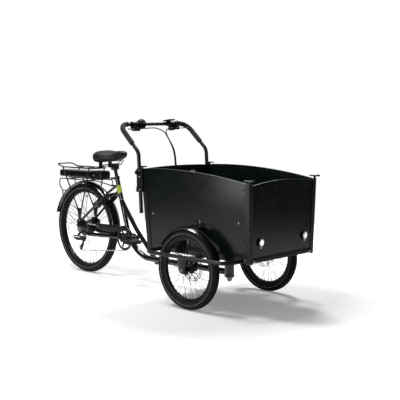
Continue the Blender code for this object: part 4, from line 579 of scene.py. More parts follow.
def tyre_rubber(name, centre, stripe, sipes):
    """Rubber for one tyre: dust, the pale line on the side wall, and sipes. A sipe is the trough
    of a sine whose phase grows with the angle round the axle and with the distance across."""
    stuff = finish(name, "tyre", "#0e0f10", 0.7, Specular_IOR_Level=0.25)
    radius, angle, across = about_axle(stuff, centre)
    dust = tint(stuff, noise_of(stuff, 45, 5), "#0c0d0e", "#131415")
    line = between(stuff, radius, stripe - STRIPE_HALF, stripe + STRIPE_HALF)
    marked = node(stuff, "ShaderNodeMix", [("Factor", line), (COLOUR_A, dust.outputs[MIXED]),
                                           (COLOUR_B, linear("#8f9295"))], data_type="RGBA")
    connect(stuff, marked.outputs[MIXED], "Base Color")
    swing = node(stuff, "ShaderNodeMath", [(0, angle), (1, float(sipes))], operation="MULTIPLY")
    lean = node(stuff, "ShaderNodeMath", [(0, across)], operation="ABSOLUTE")
    lean = node(stuff, "ShaderNodeMath", [(0, lean.outputs[0]), (1, SIPE_LEAN),
                                          (2, swing.outputs[0])], operation="MULTIPLY_ADD")
    wave = node(stuff, "ShaderNodeMath", [(0, lean.outputs[0])], operation="SINE")
    cuts = node(stuff, "ShaderNodeMapRange", [("Value", wave.outputs[0])], From_Min=-1.0,
                From_Max=-0.8)
    rough = node(stuff, "ShaderNodeMath", [(0, noise_of(stuff, 1.5, 3)), (1, 0.08),
                                           (2, cuts.outputs[0])], operation="MULTIPLY_ADD")
    emboss(stuff, rough.outputs[0], 0.8, 0.7)
    return stuff

# %% Tyre shapes
def tyre(centre, outer, rim, width, blocks):
    """An oval wall 3 mm thick: four grooves cut its crown, and its shoulders carry blocks."""
    half_height = (outer - rim + 0.006) / 2
    t = np.radians(np.concatenate([np.linspace(-152, -54, 15), np.linspace(-50, 50, 41),
                                   np.linspace(54, 152, 15)]))
    across = width / 2 * np.sign(np.sin(t)) * np.abs(np.sin(t)) ** 0.92
    radius = outer - half_height + half_height * np.sign(np.cos(t)) * np.abs(np.cos(t)) ** 0.9
    grooves = np.abs(np.abs(across)[:, None] - (0.0042, 0.0118)).min(1)
    radius -= 0.0016 * np.clip(1 - (grooves / 0.0011) ** 4, 0, 1)
    bead = np.array([[0.015, rim - 0.004], [0.012, rim - 0.0055]])
    inner = np.array([[0.0095, rim + 0.004], [-0.0095, rim + 0.004]])
    wall = np.stack([across, radius], -1)
    profile = np.concatenate([bead[::-1] * (-1, 1), wall, bead, inner])
    hoop = turned(profile, centre, SIDE, 180, loop=True)
    lug = slab(box_section(0.0075, 0.0042, 0.0012, 2), 0.0, 0.0034, 0.0006, Z)
    lean = math.radians(57)
    crown = outer - half_height + half_height * math.cos(lean) ** 0.9 - 0.0022
    spot = np.array([0.0, width / 2 * math.sin(lean) ** 0.92 - 0.0004, crown])
    side = copies(lug, turns(AHEAD, -lean, spot))
    ring = around(blocks, SIDE, centre)
    return together(hoop, copies(side, ring), copies(mirrored(side), ring))


FRONT_TYRE, FRONT_RIM, FRONT_RIM_DEPTH = 0.249, 0.2072, 0.026
REAR_TYRE, REAR_RIM, REAR_RIM_DEPTH = 0.3354, 0.2865, 0.017
FRONT_HUBS = {"left": FRONT_AXLE + (0, TRACK_HALF, 0), "right": FRONT_AXLE - (0, TRACK_HALF, 0)}
for side, hub in FRONT_HUBS.items():
    piece("tyre_front_" + side, tyre(hub, FRONT_TYRE, FRONT_RIM, 0.05, 120),
          tyre_rubber("front_tread_" + side, hub, 0.2205, 150), "front_wheel_" + side,
          ["front_tyre_" + side])
piece("tyre_rear", tyre(REAR_AXLE, REAR_TYRE, REAR_RIM, 0.056, 160),
      tyre_rubber("rear_tread", REAR_AXLE, 0.301, 200), "rear_wheel", ["rear_tyre"])

# %% [markdown]
# ## The wheels
#
# Each wheel is a box-section rim laced to a hub by thirty-six steel spokes, which leave the hub's
# two flanges nearly tangent and cross their neighbours on the way. The front hubs are narrow, with
# a brake disc on the inner side. The rear hub holds the motor, so its shell is far larger. Spokes
# are plain rods, so all thirty-six come from two arrays: where each starts and where it ends.

# %% Wheel shapes
def rim_shape(centre, outer, depth):
    """A box rim: side walls with hooked lips, a well between them, and a rounded inner edge."""
    half = 0.015
    left = [(half, outer), (half + 0.0006, outer - 0.002), (half - 0.0004, outer - 0.006),
            (half - 0.0006, outer - 0.012), (half - 0.002, outer - depth * 0.72),
            (0.0085, outer - depth + 0.0016), (0.005, outer - depth)]
    well = np.array([(-0.0125, outer), (-0.0125, outer - 0.005), (-0.006, outer - 0.0085),
                     (0.006, outer - 0.0085), (0.0125, outer - 0.005), (0.0125, outer)])
    profile = np.concatenate([left, np.array(left)[::-1] * (-1, 1), well])
    return turned(profile, centre, SIDE, 180, loop=True)


SPOKES = 36


def laced(centre, hub_radius, offset, reach, swing):
    """Spokes and nipples: 18 a side, half leaning forward and half back by swing degrees."""
    k = np.arange(SPOKES)
    side = np.where(k % 2, 1.0, -1.0)
    lean = np.where((k // 2) % 2, 1.0, -1.0)
    rim_angle = np.radians((k + 0.5) * 360 / SPOKES)
    hub_angle = rim_angle - lean * math.radians(swing)
    polar = lambda r, a, y: np.stack([r * np.cos(a), y + 0 * a, r * np.sin(a)], -1) + centre
    inside = side * (offset + np.where((k // 2) % 2, 0.0022, -0.0022))
    start = polar(hub_radius - 0.003, hub_angle, inside)
    end = polar(reach, rim_angle, side * 0.003)
    spokes = rods(start, end, 0.0013, 8)
    into = unit(end - start)
    nipples = rods(end - 0.011 * into, end + 0.002 * into, 0.0021, 8)
    heads = rods(start - (0, 0.0016, 0), start + (0, 0.0016, 0), 0.0021, 8)
    return together(spokes, nipples, heads)


def flange(centre, y, radius, bore, thick):
    """A disc with a rolled edge, y away from the wheel's middle; the spoke heads sit on it."""
    profile = [(y - thick / 2, bore), (y - thick / 2, radius - 0.0008), (y, radius),
               (y + thick / 2, radius - 0.0008), (y + thick / 2, bore)]
    return turned(profile, centre, SIDE, 96, loop=True)


def valve(centre, rim, depth):
    """A threaded stem with a black cap, standing inward from the rim."""
    foot, inward = centre + (0, 0, rim - depth), (0, 0, -1)
    stem = turned([(0, 0.0041), (0.004, 0.0041), (0.0042, 0.003), (0.026, 0.003)], foot, inward,
                  16)
    cap = turned([(0.024, 0.0044), (0.0255, 0.0048), (0.037, 0.0046), (0.0385, 0.0034)], foot,
                 inward, 16)
    return stem, cap

# %% Front wheels
AXLE_HALF, FLANGE_Y = 0.05115, 0.0255
for side, hub in FRONT_HUBS.items():
    body = "front_wheel_" + side
    piece("rim_front_" + side, rim_shape(hub, FRONT_RIM, FRONT_RIM_DEPTH), anodised, body,
          ["front_wheel_" + side])
    piece("spokes_front_" + side, laced(hub, 0.031, FLANGE_Y, 0.1825, 42), spoke_steel, body)
    barrel = [(-AXLE_HALF, 0.0065), (-AXLE_HALF, 0.0105), (-0.0435, 0.012), (-0.04, 0.0165),
              (-0.0275, 0.019), (-0.024, 0.015), (-0.02, 0.0136), (0.02, 0.0136), (0.024, 0.015),
              (0.0275, 0.019), (0.036, 0.0175), (0.0435, 0.012), (AXLE_HALF, 0.0105),
              (AXLE_HALF, 0.0065)]
    shell = together(turned(barrel, hub, SIDE, 64, loop=True),
                     flange(hub, FLANGE_Y, 0.031, 0.014, 0.0032),
                     flange(hub, -FLANGE_Y, 0.031, 0.014, 0.0032))
    piece("hub_front_" + side, shell, dark, body)
    stem, cap = valve(hub, FRONT_RIM, FRONT_RIM_DEPTH)
    piece("valve_front_" + side, stem, bright, body)
    piece("valve_cap_front_" + side, cap, moulded, body)

# %% Rear wheel
piece("rim_rear", rim_shape(REAR_AXLE, REAR_RIM, REAR_RIM_DEPTH), anodised, "rear_wheel",
      ["rear_wheel"])
piece("spokes_rear", laced(REAR_AXLE, 0.058, 0.0245, 0.2705, 24), spoke_steel, "rear_wheel")
motor_profile = [(-0.0284, 0.016), (-0.0284, 0.038), (-0.028, 0.042), (-0.0262, 0.0505),
                 (-0.023, 0.052), (0.023, 0.052), (0.0262, 0.0505), (0.03, 0.044), (0.0345, 0.04),
                 (0.037, 0.026), (0.0379, 0.018), (0.0379, 0.0066), (-0.0284, 0.0066)]
motor = together(turned(motor_profile, REAR_AXLE, SIDE, 96, loop=True),
                 flange(REAR_AXLE, 0.0245, 0.058, 0.05, 0.0034),
                 flange(REAR_AXLE, -0.0245, 0.058, 0.05, 0.0034))
piece("motor_shell", motor, dark, "rear_wheel")
screws = turned([(0, 0.0026), (0.0014, 0.0026), (0.0018, 0.0021)], (0.036, 0, 0), SIDE, 12)
ring = around(6, SIDE, REAR_AXLE + (0, 0.0332, 0))
piece("motor_screws", copies(screws, ring), bright, "rear_wheel")
stem, cap = valve(REAR_AXLE, REAR_RIM, REAR_RIM_DEPTH)
piece("valve_rear", stem, bright, "rear_wheel")
piece("valve_cap_rear", cap, moulded, "rear_wheel")
print("wheels laced with", SPOKES, "spokes each")

# %% [markdown]
# ## The handlebar and its foam grips
#
# The bar is one bent tube: two legs stand in clamps on the box, lean back at the top and meet in
# a straight bar. A swept circle gives it, with bends rounded to the bender's radius. Each grip is
# a foam sleeve pushed over a bend, so it follows the same path with a larger circle whose ends
# are rounded over.

# %% Handlebar
BAR_X, BAR_Z = 0.746, 1.124
LEG_FOOT, LEG_TOP = (0.962, 0.319, 0.556), (0.9396, 0.319, 0.946)
BAR_CORNER, BAR_BEND = (BAR_X, 0.315, BAR_Z), 0.072
OTHER = np.array((1, -1, 1))


def even(path, count):
    """The same path with its points spread evenly along its length."""
    far = distances(path)
    at = np.linspace(0, far[-1], count)
    return np.stack([np.interp(at, far, path[:, i]) for i in range(3)], -1)


def eased(count, depth, low=0.0):
    """A scale that rises from low to 1 over the first depth points, as a quarter circle does."""
    t = np.clip(np.arange(count) / depth, 0, 1)
    ramp = low + (1 - low) * np.sqrt(1 - (1 - t) ** 2)
    return np.minimum(ramp, ramp[::-1])


right = np.array([LEG_FOOT, LEG_TOP, BAR_CORNER]) * OTHER
bar_path = bent(place(np.concatenate([right, right[::-1] * OTHER])), BAR_BEND, 14)
piece("handlebar_tube", swept(bar_path, circle(0.0125, 24), (1, 0, 1)), powder, "handlebar_set",
      ["handlebar"])
ends = place(np.array([LEG_FOOT, LEG_FOOT * OTHER]))
plug = turned([(-0.004, 0.0), (-0.0045, 0.011), (-0.001, 0.0131), (0.003, 0.0131)], ORIGIN,
              (-0.057, 0, 1), 24)
piece("bar_end_plugs", copies(plug, shifts(ends)), moulded, "handlebar_set")

# %% Grips
for side, sign in SIDES:
    start = np.array(BAR_CORNER) + 0.7 * (np.array(LEG_TOP) - BAR_CORNER)
    run = np.array([start, BAR_CORNER, (BAR_X, 0.24, BAR_Z)]) * (1, sign, 1)
    sleeve = even(bent(place(run), BAR_BEND, 14), 90)
    width = 0.94 + 0.06 * eased(90, 3)
    piece("grip_foam_" + side, swept(sleeve, circle(0.017, 36), (1, 0, 1), width), foam,
          "handlebar_set", ["grip_" + side])
print("bar length", round(length_of(bar_path), 3))

# %% [markdown]
# ## Brake levers, switches, shifter and display
#
# Each lever is a two-finger blade coated black, curved to the finger and fatter at its end. It
# pivots in a bracket clamped round the bar. Beside the right bracket sits the barrel of the twist
# shifter, ribbed so that a thumb can turn it; on the left the display stands on a short neck.
# Barrels are turned profiles, housings are outlines with rounded edges, and the ribs are one
# small rod copied round the barrel.

# %% Controls
PIVOT = np.array((BAR_X + 0.034, 0.196, BAR_Z - 0.03))


def collar(y0, y1, radius, edge=0.0012):
    """A sleeve round the straight part of the bar, with rounded rims."""
    low, high = min(y0, y1), max(y0, y1)
    profile = [(low, 0.0126), (low, radius - edge), (low + edge, radius), (high - edge, radius),
               (high, radius - edge), (high, 0.0126)]
    return turned(profile, place((BAR_X, 0, BAR_Z)), SIDE, 48, loop=True)


def block(low, high, corner, edge=0.001, through=Y):
    """A box with rounded corners seen along one direction, and softened edges along it."""
    low, high = place(low), place(high)
    flat = [i for i in (X, Y, Z) if i != through]
    centre, size = (low + high)[flat] / 2, (high - low)[flat]
    outline = box_section(size[0], size[1], corner) + centre
    return slab(outline, low[through], high[through], edge, through)


def blade(sign):
    """The lever: an oval section carried from the pivot out along the grip, ending in a ball."""
    guide = [(0, 0, 0), (0.004, 0.016, 0), (0.012, 0.031, 0), (0.0185, 0.047, 0),
             (0.021, 0.064, 0), (0.0212, 0.078, 0), (0.0225, 0.086, 0)]
    path = even(curved(place(PIVOT + guide), 8), 40) * (1, sign, 1)
    t = np.linspace(0, 1, 40)
    width = 1.0 - 0.18 * np.sin(math.pi * t) + 0.3 * np.exp(-((t - 0.95) / 0.06) ** 2)
    width *= 0.3 + 0.7 * np.sqrt(np.clip(1 - np.clip((t - 0.94) / 0.06, 0, 1) ** 2, 0, 1))
    return swept(path, circle(0.006, 18, 0.62), UP, width)


for side, sign in SIDES:
    y = sign * 0.2
    pivot = place(PIVOT * (1, sign, 1))
    clamp = collar(y - 0.012, y + 0.012, 0.018)
    cheeks = [block((BAR_X + x0, y - 0.0095, BAR_Z + z0), (BAR_X + x1, y + 0.0095, BAR_Z + z1),
                    *shaping) for x0, x1, z0, z1,
              shaping in ((0.004, 0.042, -0.0395, -0.0335, (0.006, 0.0008, Z)),
                          (0.004, 0.042, -0.0262, -0.01, (0.006, 0.0012, Z)),
                          (-0.004, 0.022, -0.039, -0.01, (0.004, 0.001, Y)))]
    inner, outer = sorted((sign * (0.137 if sign < 0 else 0.15), sign * 0.189))
    shell = collar(inner, outer, 0.0175)
    housing_low = block((BAR_X - 0.0155, inner + 0.001, BAR_Z - 0.0465),
                        (BAR_X + 0.0155, outer - 0.001, BAR_Z - 0.006), 0.007, 0.0022)
    switch_y = -0.15 if sign < 0 else 0.226
    switch = together(block((BAR_X - 0.0125, switch_y - 0.0113, BAR_Z + 0.01),
                            (BAR_X + 0.0125, switch_y + 0.0113, BAR_Z + 0.015), 0.005, 0.001, Z),
                      turned([(0.0148, 0.0082), (0.0148, 0.0108), (0.0182, 0.0102),
                              (0.0188, 0.009), (0.0188, 0.0082)], place((BAR_X, switch_y, BAR_Z)),
                             UP, 36, loop=True))
    shapes = [clamp, *cheeks, shell, housing_low, switch]
    if sign > 0:
        shapes.append(collar(0.211, 0.2385, 0.0151))
    piece("control_pod_shell_" + side, together(*shapes), moulded, "handlebar_set",
          ["control_pod_" + side])
    pin = turned([(-0.0105, 0.0), (-0.0105, 0.0034), (-0.0098, 0.0042), (-0.0084, 0.0042),
                  (-0.0084, 0.0029), (0.018, 0.0029), (0.018, 0.0042), (0.0194, 0.0042),
                  (0.02, 0.0034), (0.02, 0.0)], pivot, UP, 20)
    bolt = turned([(0, 0.0), (0, 0.0034), (0.0035, 0.0034), (0.004, 0.003), (0.004, 0.0)],
                  place((BAR_X + 0.01, y, BAR_Z + 0.016)), (0.4, 0, 1), 16)
    piece("lever_pin_" + side, together(pin, bolt), bright, "handlebar_set")
    eye = turned([(-0.003, 0.0032), (-0.003, 0.008), (0, 0.0086), (0.003, 0.008), (0.003, 0.0032)],
                 pivot, UP, 32, loop=True)
    piece("lever_blade_" + side, together(blade(sign), eye), moulded, "brake_lever_" + side,
          ["brake_lever_" + side])
    adjuster = turned([(0, 0.0), (0, 0.0048), (0.004, 0.005), (0.0045, 0.004), (0.013, 0.0038),
                       (0.0135, 0.0)], place((BAR_X + 0.03, sign * 0.1875, BAR_Z - 0.026)),
                      (0.35, -sign, -0.05), 20)
    piece("cable_adjuster_" + side, adjuster, dark, "handlebar_set")
    button_profile = [(0.0172, 0.0), (0.0172, 0.0072), (0.0196, 0.0074), (0.0212, 0.0068),
                      (0.0218, 0.005), (0.0216, 0.0)]
    piece("button_cap_" + side, turned(button_profile, place((BAR_X, switch_y, BAR_Z)), UP, 36),
          red, "button_" + side, ["button_" + side])

# %% Shifter and display
barrel = [(-0.1355, 0.0127), (-0.1355, 0.0225), (-0.1335, 0.0262), (-0.128, 0.03), (-0.12, 0.0318),
          (-0.106, 0.0324), (-0.099, 0.03), (-0.095, 0.0262), (-0.094, 0.024), (-0.094, 0.0127)]
rib_y = np.array([-0.129, -0.101])
rib_path = np.stack([np.zeros(9), np.linspace(*rib_y, 9), 0.0308 + 0.0022
                     * np.sin(np.linspace(0.35, 2.6, 9))], -1)
rib = swept(rib_path, circle(0.0014, 6), AHEAD, eased(9, 1, 0.4))
ribs = around(30, SIDE, place((BAR_X, 0, BAR_Z)))
piece("shifter_barrel", together(turned(barrel, place((BAR_X, 0, BAR_Z)), SIDE, 64, loop=True),
                                 copies(rib, ribs)), moulded, "shifter", ["shifter"])
lean = math.atan2(0.01, 0.07)
screen_move = turns(SIDE, -lean, place((BAR_X + 0.015, 0.13, BAR_Z + 0.025)))
case = slab(box_section(0.07, 0.06, 0.008, 5), -0.0045, 0.0035, 0.0016, Z)
glass = slab(box_section(0.058, 0.048, 0.003, 3), 0.0034, 0.0041, 0.0003, Z)
keys = copies(slab(box_section(0.01, 0.004, 0.0016, 3), 0.0034, 0.0046, 0.0005, Z),
              shifts([(-0.0315, -0.014, 0), (-0.0315, 0.0, 0), (-0.0315, 0.014, 0)]))
piece("display_case", copies(case, screen_move), moulded, "handlebar_set")
# Display glass: near black and smooth under a clear coat, so it shows the room as a soft sheen
screen_glass = finish("display_glass", "black_plastic", "#0d1012", 0.08, Coat_Weight=0.6,
                      Coat_Roughness=0.02)
tint(screen_glass, noise_of(screen_glass, 30, 2), "#0b0e10", "#12171a")
piece("display_glass_pane", copies(glass, screen_move), screen_glass, "handlebar_set")
piece("display_keys", copies(keys, screen_move), dark, "handlebar_set")
riser = block((BAR_X - 0.008, 0.126, BAR_Z + 0.008), (BAR_X + 0.01, 0.148, BAR_Z + 0.021), 0.004)
neck = together(collar(0.122, 0.152, 0.0165), riser)
piece("display_neck", neck, moulded, "handlebar_set")

# %% [markdown]
# ## The cargo box's trim
#
# The four panels keep their CAD solids. What tells the eye that they are plywood in a metal frame
# is at their edges: the film's cut edge shows as a paler line along the top, coach bolts pass
# through the posts, a dark strip lies along the front board's lower edge, cover studs mark its
# upper one, and two belt plates are screwed inside the rear board. Domed bolt heads are turned
# profiles set on the faces along each panel's own normal.

# %% Edge lines
SIDE_CROWN = (1.19, 0.849, 0.1306)


def sloped(z, foot, head):
    """Where a straight edge is at a height, from its foot to its head as (height, distance)."""
    return foot[1] + (head[1] - foot[1]) * (z - foot[0]) / (head[0] - foot[0])


def post_face(z):
    """How far out the side posts' faces stand at a height; the box widens upward."""
    return sloped(z, (0.32, 0.3098), (0.82, 0.3246))


def rear_face(z):
    """How far ahead the rear board's outer face is at a height."""
    return sloped(z, (0.3225, 1.0093), (0.8386, 0.9654))


def front_face(z):
    """How far ahead the front board's outer face is at a height."""
    return sloped(z, (0.3167, 1.8759), (0.7889, 1.8859))


# The film's cut edge: bare birch under a thin varnish, a paler and duller grey brown
pale_edge = finish("cut_film_edge", "filmed_plywood", "#6d706e", 0.5)
tint(pale_edge, noise_of(pale_edge, 5, 4), "#595c5a", "#838684")
u = np.linspace(0.985, 1.852, 60)
z = SIDE_CROWN[1] - SIDE_CROWN[2] * (u - SIDE_CROWN[0]) ** 2
line = np.stack([u, -(post_face(z) - 0.0038), z + 0.0001], -1)
strip = swept(place(line), box_section(0.0014, 0.0012, 0.0004, 2), UP)
across = np.linspace(-0.3, 0.3, 50)
z = 0.801 - 0.278 * across**2
line = np.stack([front_face(z) - 0.0041, across, z + 0.0001], -1)
front_strip = swept(place(line), box_section(0.0014, 0.0012, 0.0004, 2), UP)
z = 0.85 - 0.1 * across**2
line = np.stack([rear_face(z) + 0.0145, across, z + 0.0001], -1)
rear_strip = swept(place(line), box_section(0.0012, 0.0012, 0.0004, 2), UP)
piece("panel_edge_lines", together(pair(strip), front_strip, rear_strip), pale_edge,
      "front_carriage")

# %% Bolts, studs and belt plates
BOLT = [(-0.001, 0.0), (-0.001, 0.0058), (0.0004, 0.0062), (0.0018, 0.005), (0.0027, 0.0028),
        (0.003, 0.0)]


def heads(spots, normals, profile=BOLT, scale=1.0, steps=20):
    """Turned heads at many places, each standing along its own normal."""
    normals = unit(np.broadcast_to(normals, (len(spots), 3)))
    other = np.cross(normals, (0.3, 0.5, 0.81))
    head = turned(np.asarray(profile) * scale, ORIGIN, AHEAD, steps)
    return copies(head, framed(place(spots), normals, other))


side_spots = np.array([(1.839, 0, 0.753), (1.835, 0, 0.698), (1.835, 0, 0.603), (1.836, 0, 0.457),
                       (1.047, 0, 0.344), (1.02, 0, 0.47), (1.005, 0, 0.64), (0.996, 0, 0.765)])
side_spots[:, 1] = -(post_face(side_spots[:, 2]) - 0.003)
lean = np.array([0.0, -1.0, 0.0296])
FRONT_LEAN = (1.0, 0.0, -0.021)
dark_bolts = pair(heads(side_spots, lean))
silver_spots = np.array([(1.796, 0, 0.555), (1.068, 0, 0.557), (1.839, 0, 0.342)])
silver_spots[:, 1] = -(post_face(silver_spots[:, 2]) - 0.003)
front_spots = np.array([(0, -0.268, 0.332), (0, 0.273, 0.332)])
front_spots[:, 0] = front_face(front_spots[:, 2]) + 0.001
silver = together(pair(heads(silver_spots, lean, scale=0.8)),
                  heads(front_spots, FRONT_LEAN, scale=1.15))
front_dark = np.array([(0, y, z) for y in (-0.292, 0.292) for z in (0.4, 0.56, 0.7)])
front_dark[:, 0] = front_face(front_dark[:, 2]) - 0.0001
dark_bolts = together(dark_bolts, heads(front_dark, FRONT_LEAN, scale=0.8))
piece("box_bolts_black", dark_bolts, dark, "front_carriage")
piece("box_bolts_zinc", silver, bright, "front_carriage")
# A near-black strip 28 mm high, standing about 1 mm proud along the front board's lower edge
lower_edge_line = place([(front_face(0.338) - 0.0008, y, 0.3375) for y in (-0.294, 0.294)])
lower_edge_strip = swept(lower_edge_line, box_section(0.0035, 0.028, 0.0012, 3), UP)
piece("front_lower_edge_strip", lower_edge_strip, moulded, "front_carriage")
studs = np.array([(0, -0.22, 0.761), (0, -0.09, 0.767), (0, 0.084, 0.767), (0, 0.22, 0.761)])
studs[:, 0] = front_face(studs[:, 2]) - 0.003
cover = [(-0.001, 0.0), (-0.001, 0.008), (0.0008, 0.0084), (0.0022, 0.0078), (0.0028, 0.006),
         (0.003, 0.0)]
piece("board_cover_studs", heads(studs, FRONT_LEAN, cover, 1.0, 28), moulded, "front_carriage")
belt_spots = np.array([(0, -0.135, 0.8), (0, 0.135, 0.8)])
belt_spots[:, 0] = rear_face(belt_spots[:, 2]) + 0.0153
anchor = slab(box_section(0.046, 0.03, 0.007, 4), -0.0002, 0.003, 0.0008, X)
loop_path = bent([(0.003, -0.016, 0.004), (0.011, -0.016, 0.0), (0.011, 0.016, 0.0),
                  (0.003, 0.016, 0.004)], 0.005, 5)
hoop = swept(loop_path, circle(0.002, 10), UP)
piece("belt_plates", copies(together(anchor, hoop), shifts(place(belt_spots))), bright,
      "front_carriage")
screw_steps = np.array([(0.003, s, -0.009) for s in (-0.015, 0.015)])
screw_spots = (belt_spots[:, None] + screw_steps).reshape(-1, 3)
piece("belt_screws", heads(screw_spots, AHEAD, BOLT, 0.6, 14), dark, "front_carriage")

# %% [markdown]
# ## Headlights
#
# Each lamp is a short can with a steel bezel. Inside, a dished mirror gathers the light of one
# diode and a clear domed lens closes it; from outside it reads as a white disc in a bright ring.
# All of them are turned profiles on one axle that points forward.

# %% Lamps on the front board
LAMP_Y, LAMP_FACE = 0.211, front_face(0.464)
for side, sign in SIDES:
    centre = place((LAMP_FACE - 0.003, sign * LAMP_Y, 0.44))
    can = [(0.0003, 0.0), (0.0003, 0.02), (0.002, 0.0218), (0.009, 0.0232), (0.0105, 0.0228),
           (0.0105, 0.018), (0.002, 0.015), (0.002, 0.0)]
    piece("lamp_can_" + side, turned(can, centre, AHEAD, 48), moulded, "front_carriage",
          ["headlight_" + side])
    bezel = [(0.0085, 0.0228), (0.01, 0.024), (0.0118, 0.0238), (0.0128, 0.0222), (0.0122, 0.02),
             (0.0105, 0.0196), (0.0092, 0.0204)]
    piece("lamp_bezel_" + side, turned(bezel, centre, AHEAD, 64, loop=True), ground,
          "front_carriage")
    bowl = [(0.003, 0.0), (0.003, 0.004), (0.0042, 0.009), (0.0066, 0.014), (0.01, 0.0184),
            (0.0108, 0.019), (0.0102, 0.0192), (0.0058, 0.0146), (0.003, 0.0096), (0.0022, 0.0)]
    piece("lamp_mirror_" + side, turned(bowl, centre, AHEAD, 64), mirror, "front_carriage")
    diode = [(0.0028, 0.0), (0.0028, 0.0052), (0.006, 0.005), (0.0074, 0.0036), (0.0078, 0.0)]
    piece("lamp_diode_" + side, turned(diode, centre, AHEAD, 32), lit, "front_carriage")
    pane = [(0.0108, 0.0), (0.0108, 0.0188), (0.0112, 0.0196), (0.012, 0.0192), (0.0134, 0.015),
            (0.0143, 0.008), (0.0146, 0.0)]
    piece("lamp_pane_" + side, turned(pane, centre, AHEAD, 64), lens, "front_carriage")
    base = box_section(0.015, 0.017, 0.003, 3) + (sign * LAMP_Y, 0.413)
    stem = box_section(0.009, 0.014, 0.002, 3) + (sign * LAMP_Y, 0.4185)
    foot = together(slab(base, 0.0, 0.0045, 0.0008, X), slab(stem, 0.004, 0.0085, 0.0008, X))
    foot = copies(foot, shifts([(centre[0], 0, 0)]))
    screw = heads([(LAMP_FACE + 0.0015, sign * LAMP_Y, 0.409)], AHEAD, BOLT, 0.55, 14)
    piece("lamp_foot_" + side, foot, bright, "front_carriage")
    piece("lamp_screw_" + side, screw, bright, "front_carriage")
print("box trim done")

# %% [markdown]
# ## Corner posts and the handlebar's clamps
#
# A post is an angle of bent sheet with a round core in its corner, which catches a lighter band
# of light down each side of the box. The CAD post gives the flanges; a slim half-round bead laid
# on the corner gives the band, and its greyer, half-metallic finish is a painted highlight. On top
# stands a tie-down bar on a neck, and on each rear post two clamps hold a leg of the bar. Each
# clamp is a split block with a bolt and a star knob.

# %% Post beads and clamp details
def post_line(face, end, count=30):
    """The corner of a front (end 1) or rear (end -1) post, a little inside both of its faces."""
    low, high = (0.3167, 0.7889) if end > 0 else (0.3225, 0.8386)
    z = np.linspace(low + 0.0004, high - 0.0002, count)
    return np.stack([face(z) - end * 0.0022, -(post_face(z) - 0.0022), z], -1)


post_lines = (post_line(front_face, 1), post_line(rear_face, -1))
beads = together(*[swept(place(line), circle(0.0031, 16), AHEAD) for line in post_lines])
# The bent corner of the sheet: a greyer, half-metallic powder coat, a painted highlight for the
# band of light down each corner
painted_highlight_edge = finish("bright_satin_edge", "powder_coat", "#2b2d30", 0.28, 0.4)
roughen(painted_highlight_edge, noise_of(painted_highlight_edge, 18, 3), 0.22, 0.34)
piece("post_corner_beads", pair(beads), painted_highlight_edge, "front_carriage")

KNOB = np.array([(-0.001, 0.0), (-0.001, 0.006), (0.004, 0.0062), (0.0046, 0.008), (0.006, 0.0092),
                 (0.015, 0.0088), (0.0175, 0.007), (0.0182, 0.0)])
for side, sign in SIDES:
    x_leg = sloped(0.817, (LEG_FOOT[2], LEG_FOOT[0]), (LEG_TOP[2], LEG_TOP[0]))
    spot = place((x_leg, sign * 0.3383, 0.817))
    body_of_knob = turned(KNOB, spot, (0, sign, 0), 40)
    lobe = swept(np.stack([np.linspace(0.0052, 0.0165, 8), np.zeros(8), np.full(8, 0.0082)], -1),
                 circle(0.0026, 10), UP, eased(8, 2, 0.5))
    lobes = framed(spot[None], np.array([[0.0, sign, 0.0]]), np.array([AHEAD])) @ around(6, AHEAD)
    knob = "clamp_knob_" + side
    piece("star_knob_" + side, together(body_of_knob, copies(lobe, lobes)), moulded, knob, [knob])
    bolts = [(x_leg - 0.0135, sign * 0.3382, 0.705), (x_leg + 0.018, sign * 0.3364, 0.83),
             (x_leg + 0.018, sign * 0.3364, 0.705), (x_leg + 0.018, sign * 0.3364, 0.79)]
    shape = heads(bolts, (0.0, sign, 0.0), BOLT, 0.8, 16)
    piece("clamp_bolts_" + side, shape, bright, "front_carriage")
print("posts done")

# %% [markdown]
# ## The saddle
#
# Foam under a tight vinyl cover swells a little between its edges, which no plain solid shows. So
# the cushion starts as the CAD solid, is remeshed in small even faces, and is blown up gently as
# cloth with its underside held. The move is limited to 8 mm so that it stays the same saddle. A
# piped seam and a hard shell under the cushion follow its outline, measured from the new mesh.

# %% Cushion
FACE_SIZE, COVER_MOVE, STEPS = 0.005, 0.008, 20


def meshed(source):
    """The object's mesh as its modifiers leave it."""
    looked_at = source.evaluated_get(bpy.context.evaluated_depsgraph_get())
    return bpy.data.meshes.new_from_object(looked_at)


def coordinates(mesh):
    """The places of a mesh's points, as rows of an array."""
    out = np.empty(len(mesh.vertices) * 3, np.float32)
    mesh.vertices.foreach_get("co", out)
    return out.reshape(-1, 3).astype(float)


def slimmed(points):
    """Toward the nose the underside rises: a point goes up by a share of its depth below the top,
    which grows as the square of its way toward the tip."""
    ahead = np.clip((points[:, 0] - NOSE_START) / (NOSE_TIP - NOSE_START), 0, 1)
    depth = np.clip(SADDLE_TOP - points[:, 2], 0, None)
    return points + np.stack([0 * ahead, 0 * ahead, 0.42 * ahead**2 * depth], -1)


